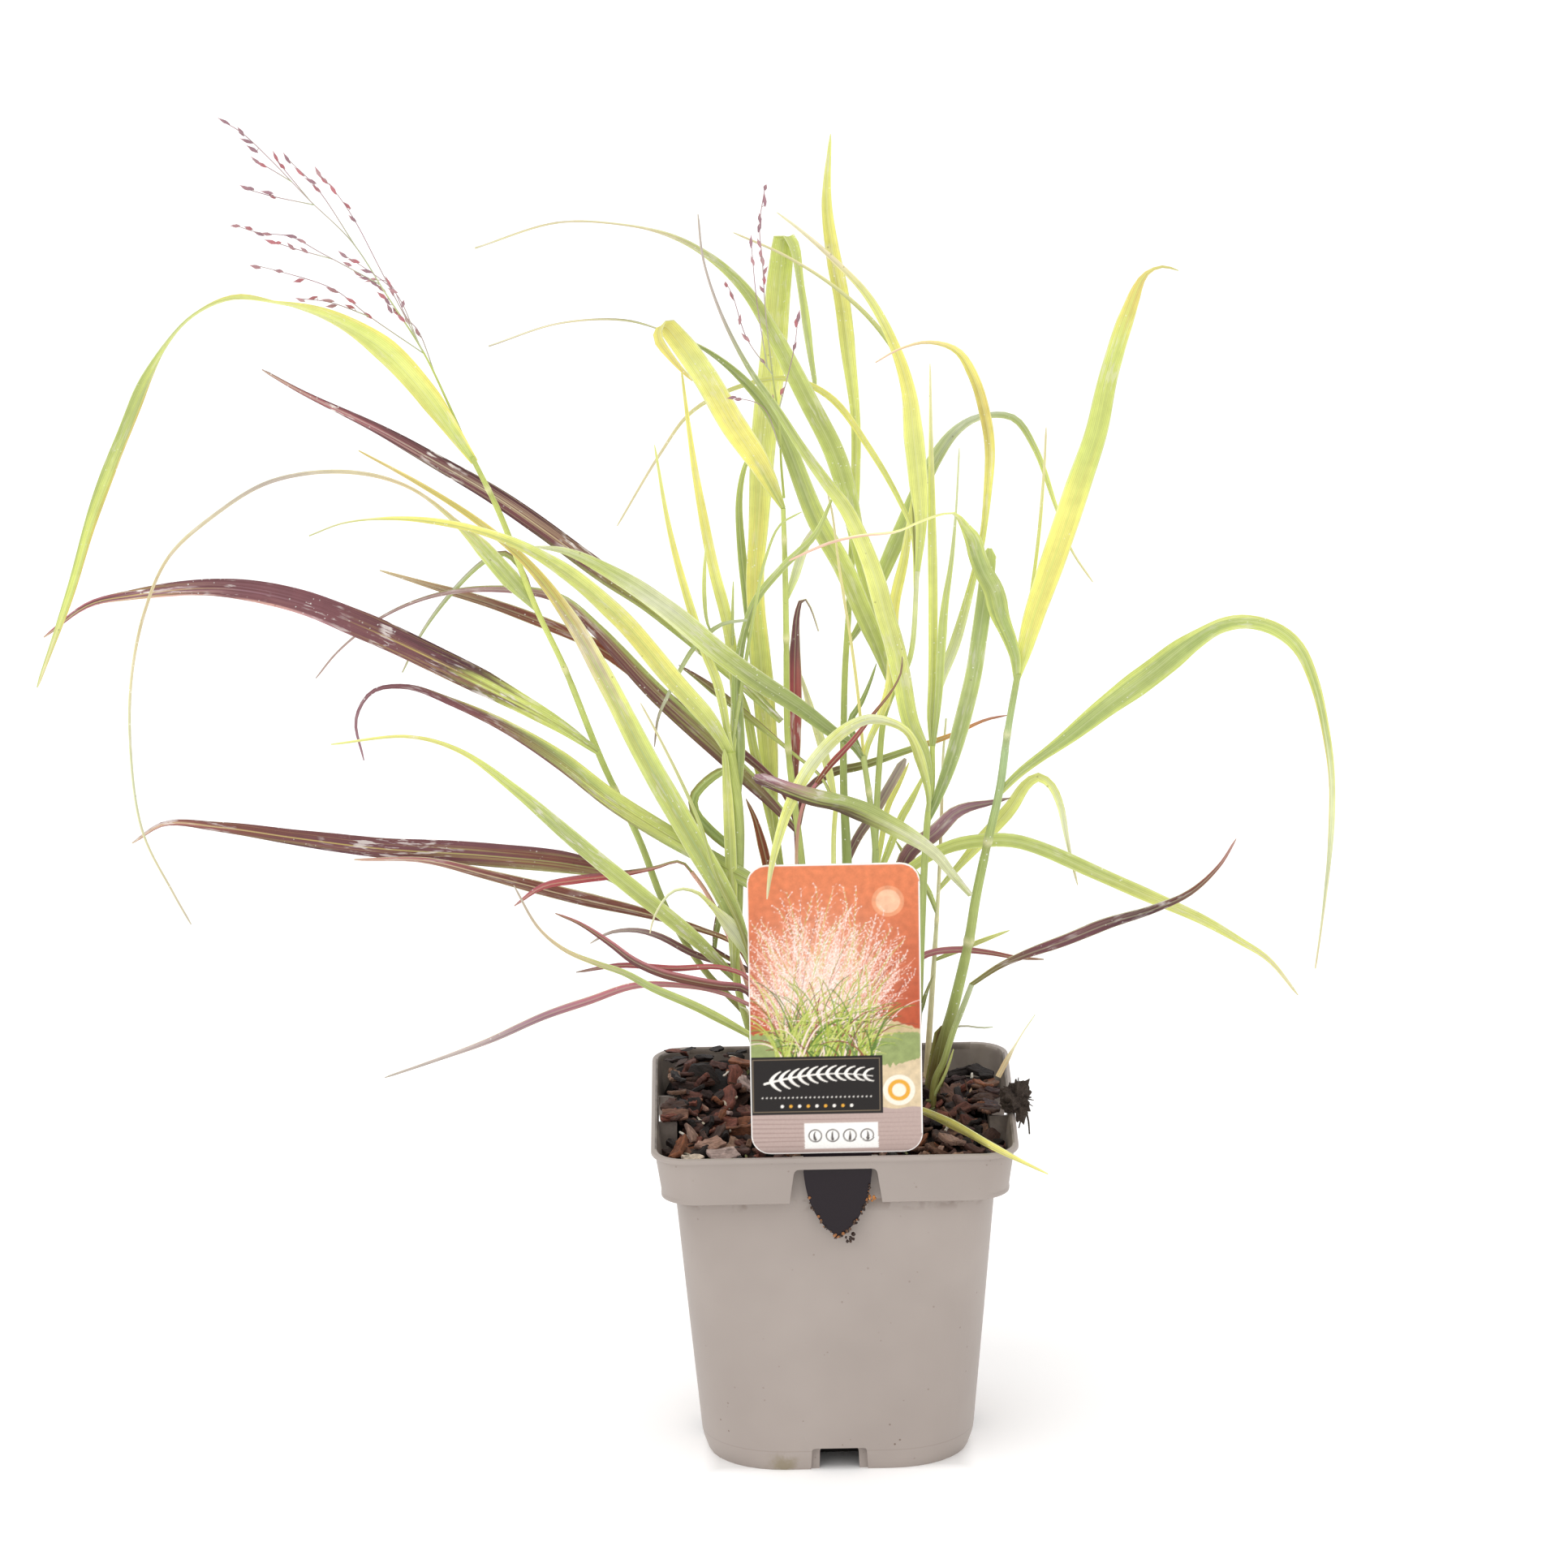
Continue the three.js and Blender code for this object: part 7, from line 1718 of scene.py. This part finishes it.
def stalk(shape, foot, end, ink):
    """A straight hair-thin stalk, sunk a little into what it joins."""
    ahead = (end - foot).normalized() if (end - foot).length > 0.1 else Vector((0, 0, 1))
    side = ahead.cross(Vector((0.3, 1, 0.2))).normalized() * 0.2
    face = ahead.cross(side)
    points = []
    for place_on in (foot - ahead * 0.2, end + ahead * 0.4):
        for k in range(5):
            angle = 2 * math.pi * k / 5
            points.append(place_on + side * math.cos(angle) + face * math.sin(angle))
    shape.add(points, rings_to_faces(2, 5), [ink] * 10, [(0, 0)] * 10)


def thread(shape, line, start):
    """A thin twig."""
    found, length = stations(line, start, 3.0)
    points = []
    tints = []
    grain = []
    inks = inks_of(line["look"])
    for share, point, side, face, width in found:
        for k in range(6):
            angle = 2 * math.pi * k / 6
            across = side * (width / 2 * math.cos(angle))
            points.append(point + across + face * (width / 2 * math.sin(angle)))
            tints.append(along(inks, share))
            grain.append((angle * width * MM, share * length * MM))
    shape.add(points, rings_to_faces(len(found), 6), tints, grain)
    return [point for _, point, *_ in found]


# ------------------------------------------------------------------ loose things on the rim


CLOD = {
    "centre": (86.5, -22, 168), "size": (6.6, 7, 7.8), "columns": 30, "lines": 20,
    "strands": 26, "reach": (8.6, 9, 9),
}
# The clod's roots: course, depth, width and inks.
CLOD_ROOTS = (
    row([(90, 158), (92, 150), (92.5, 143)], [-22, -24], [1.1, 0.7], "wine rust"),
    row([(87.5, 158), (88.5, 151), (87.5, 146)], [-25, -27], [1.0, 0.6], "wine rust"),
    row([(89, 160), (90.5, 153), (90, 149)], [-20, -19], [0.8, 0.5], "wine tan"),
)


def clod_body(centre):
    """An uneven lump."""
    lines, columns = CLOD["lines"], CLOD["columns"]
    wide, deep, tall = CLOD["size"]
    points = []
    for i in range(lines + 1):
        up = math.pi * (i / lines - 0.5)
        for k in range(columns):
            angle = 2 * math.pi * k / columns
            way = Vector((math.cos(up) * math.cos(angle), math.cos(up) * math.sin(angle), math.sin(up)))
            rough = 1 + 0.75 * noise.noise(way * 1.7) + 0.4 * noise.noise(way * 5.0)
            points.append(centre + Vector((way.x * wide, way.y * deep, way.z * tall)) * rough)
    return mesh_of(points, rings_to_faces(lines + 1, columns))


def clod_strand(centre):
    """A bent fibre from the clod's middle to a little outside it."""
    wide, deep, tall = CLOD["reach"]
    way = Vector((dice.gauss(0, 1), dice.gauss(0, 1), dice.gauss(0.1, 1))).normalized()
    end = centre + Vector((way.x * wide, way.y * deep, way.z * tall)) * dice.uniform(0.95, 1.15)
    side = way.orthogonal().normalized() * dice.uniform(0.35, 0.8)
    face = way.cross(side)
    bend = centre.lerp(end, 0.6) + side * dice.uniform(-3, 3)
    points = []
    for place_on, thick in ((centre, 1.2), (bend, 1.0), (end, 0.4)):
        for k in range(6):
            angle = math.pi / 3 * k
            points.append(place_on + (side * math.cos(angle) + face * math.sin(angle)) * thick)
    return mesh_of(points, rings_to_faces(3, 6))


def make_crumb():
    """A clod of soil saddled on the rim, with three roots hanging from it."""
    centre = Vector(CLOD["centre"])
    body = clod_body(centre)
    inside, outside, rim_top = RIM + GAP - 12, RIM + GAP, POT["height"] + GAP
    step = [(inside, 120), (outside, 120), (outside, rim_top), (inside, rim_top)]
    combine(body, [prism(step, -70, 30)], "DIFFERENCE")
    roots = Shape()
    for line in CLOD_ROOTS:
        thread(roots, line, None)
    combine(body, [mesh_of(roots.points, roots.faces)], "UNION")
    for _ in range(CLOD["strands"]):
        combine(body, [clod_strand(centre)], "UNION")
    mesh = body.data
    mesh.name = "soil_crumb_fine"
    bpy.data.objects.remove(body)
    place("soil_crumb", mesh, "potting_soil",
          crumb_material("crumb_earth", "#453b35", "#5d514a", "#8f7f70", 620), sharp=50)


DRY_TWIG = row([(78, 171.6), (81.8, 179), (85.6, 186), (90.1, 193.7), (95.6, 201.9)],
               [-22, -20, -14], [2.6, 2.6, 0.8, 0.6, 0.5], "tan tan cream cream pale")


def make_twig(material):
    """The dry straw beside the clod."""
    shape = Shape()
    blade(shape, DRY_TWIG)
    shape.finish("dry_twig", "dry_straw", material)


# ------------------------------------------------------------------ the whole scene

dice = random.Random(7)
leaf = leaf_material("leaf_skin")
husk = leaf_material("husk_skin", rib_shade=0.08, specks=0.0, roughness=0.6)
slots = {name: slot for slot, names in SLOTS.items() for name in names}
for name, (culm, *leaves) in TILLERS.items():
    shape = Shape()
    walked = stem(shape, culm)
    for each in leaves:
        foot = nearest(walked, seen_from_front(each["route"][0], each["depth"][0]))
        blade(shape, each, None if each.get("free") else foot)
    shape.finish(name, slots[name], leaf)
for name, line in CLASPING.items():
    shape = Shape()
    blade(shape, line)
    shape.finish(name, slots[name], leaf)
for name, plan in PANICLES.items():
    make_panicle(name, plan, husk)
make_twig(husk)
make_pot()
make_soil()
make_bark()
make_label()
make_crumb()

# ------------------------------------------------------------------ stage, light and camera

FLOOR = 30
UNDER_POT = (0.056, 0.064)
floor_mesh = bpy.data.meshes.new("floor")
corners = [(-FLOOR, -FLOOR, 0), (FLOOR, -FLOOR, 0), (FLOOR, FLOOR, 0), (-FLOOR, FLOOR, 0)]
floor_mesh.from_pydata(corners, [], [(0, 1, 2, 3)])
floor = bpy.data.objects.new("floor", floor_mesh)
bpy.context.scene.collection.objects.link(floor)
paper = Look("paper", 0.9)
paper.feed(paper.shader.inputs["Base Color"], (0.94, 0.93, 0.92))
paper.feed(paper.shader.inputs["Emission Color"], (1, 0.99, 0.995))
across = paper.split(paper.where)
reach = paper.maths("MAXIMUM", paper.maths("ABSOLUTE", across["X"]),
                    paper.maths("ABSOLUTE", across["Y"]))
glow = paper.remap(reach, *UNDER_POT, 0.0, 0.2)
paper.feed(paper.shader.inputs["Emission Strength"], glow)
floor_mesh.materials.append(paper.material)

world = bpy.data.worlds.new("studio")
world.use_nodes = True
world.node_tree.nodes["Background"].inputs["Color"].default_value = (1.0, 1.0, 1.0, 1)
world.node_tree.nodes["Background"].inputs["Strength"].default_value = 0.88
bpy.context.scene.world = world
bpy.context.scene.view_settings.view_transform = "Standard"


def soft_sun(name, power, spread, toward):
    lamp = bpy.data.lights.new(name, "SUN")
    lamp.energy = power
    lamp.angle = math.radians(spread)
    holder = bpy.data.objects.new(name, lamp)
    holder.rotation_euler = Vector(toward).to_track_quat("-Z", "Y").to_euler()
    bpy.context.scene.collection.objects.link(holder)


soft_sun("key", 0.75, 60, (0.55, 0.65, -1.0))
soft_sun("fill", 0.25, 70, (-0.7, 0.8, -0.6))

EYE = (-0.04293, -3.7244, 1.39505)
PITCH, YAW, ROLL = 0.2818, -0.0061, 0.0171
LENS, SENSOR = 191.5, 36
cy, sy = math.cos(YAW), math.sin(YAW)
cp, sp = math.cos(PITCH), math.sin(PITCH)
cr, sr = math.cos(ROLL), math.sin(ROLL)
level = Vector((cy, sy, 0))
ahead = Vector((-sy * cp, cy * cp, -sp))
upward = Vector((-sy * sp, cy * sp, cp))
right = level * cr - upward * sr
top = level * sr + upward * cr
camera_data = bpy.data.cameras.new("photo_view")
camera_data.sensor_width = SENSOR
camera_data.lens = LENS
camera_data.clip_start = 0.1
camera_data.clip_end = 100
camera_data.dof.use_dof = False
camera = bpy.data.objects.new("photo_view", camera_data)
camera.matrix_world = Matrix.Translation(EYE) @ Matrix((right, top, -ahead)).transposed().to_4x4()
bpy.context.scene.collection.objects.link(camera)
bpy.context.scene.camera = camera
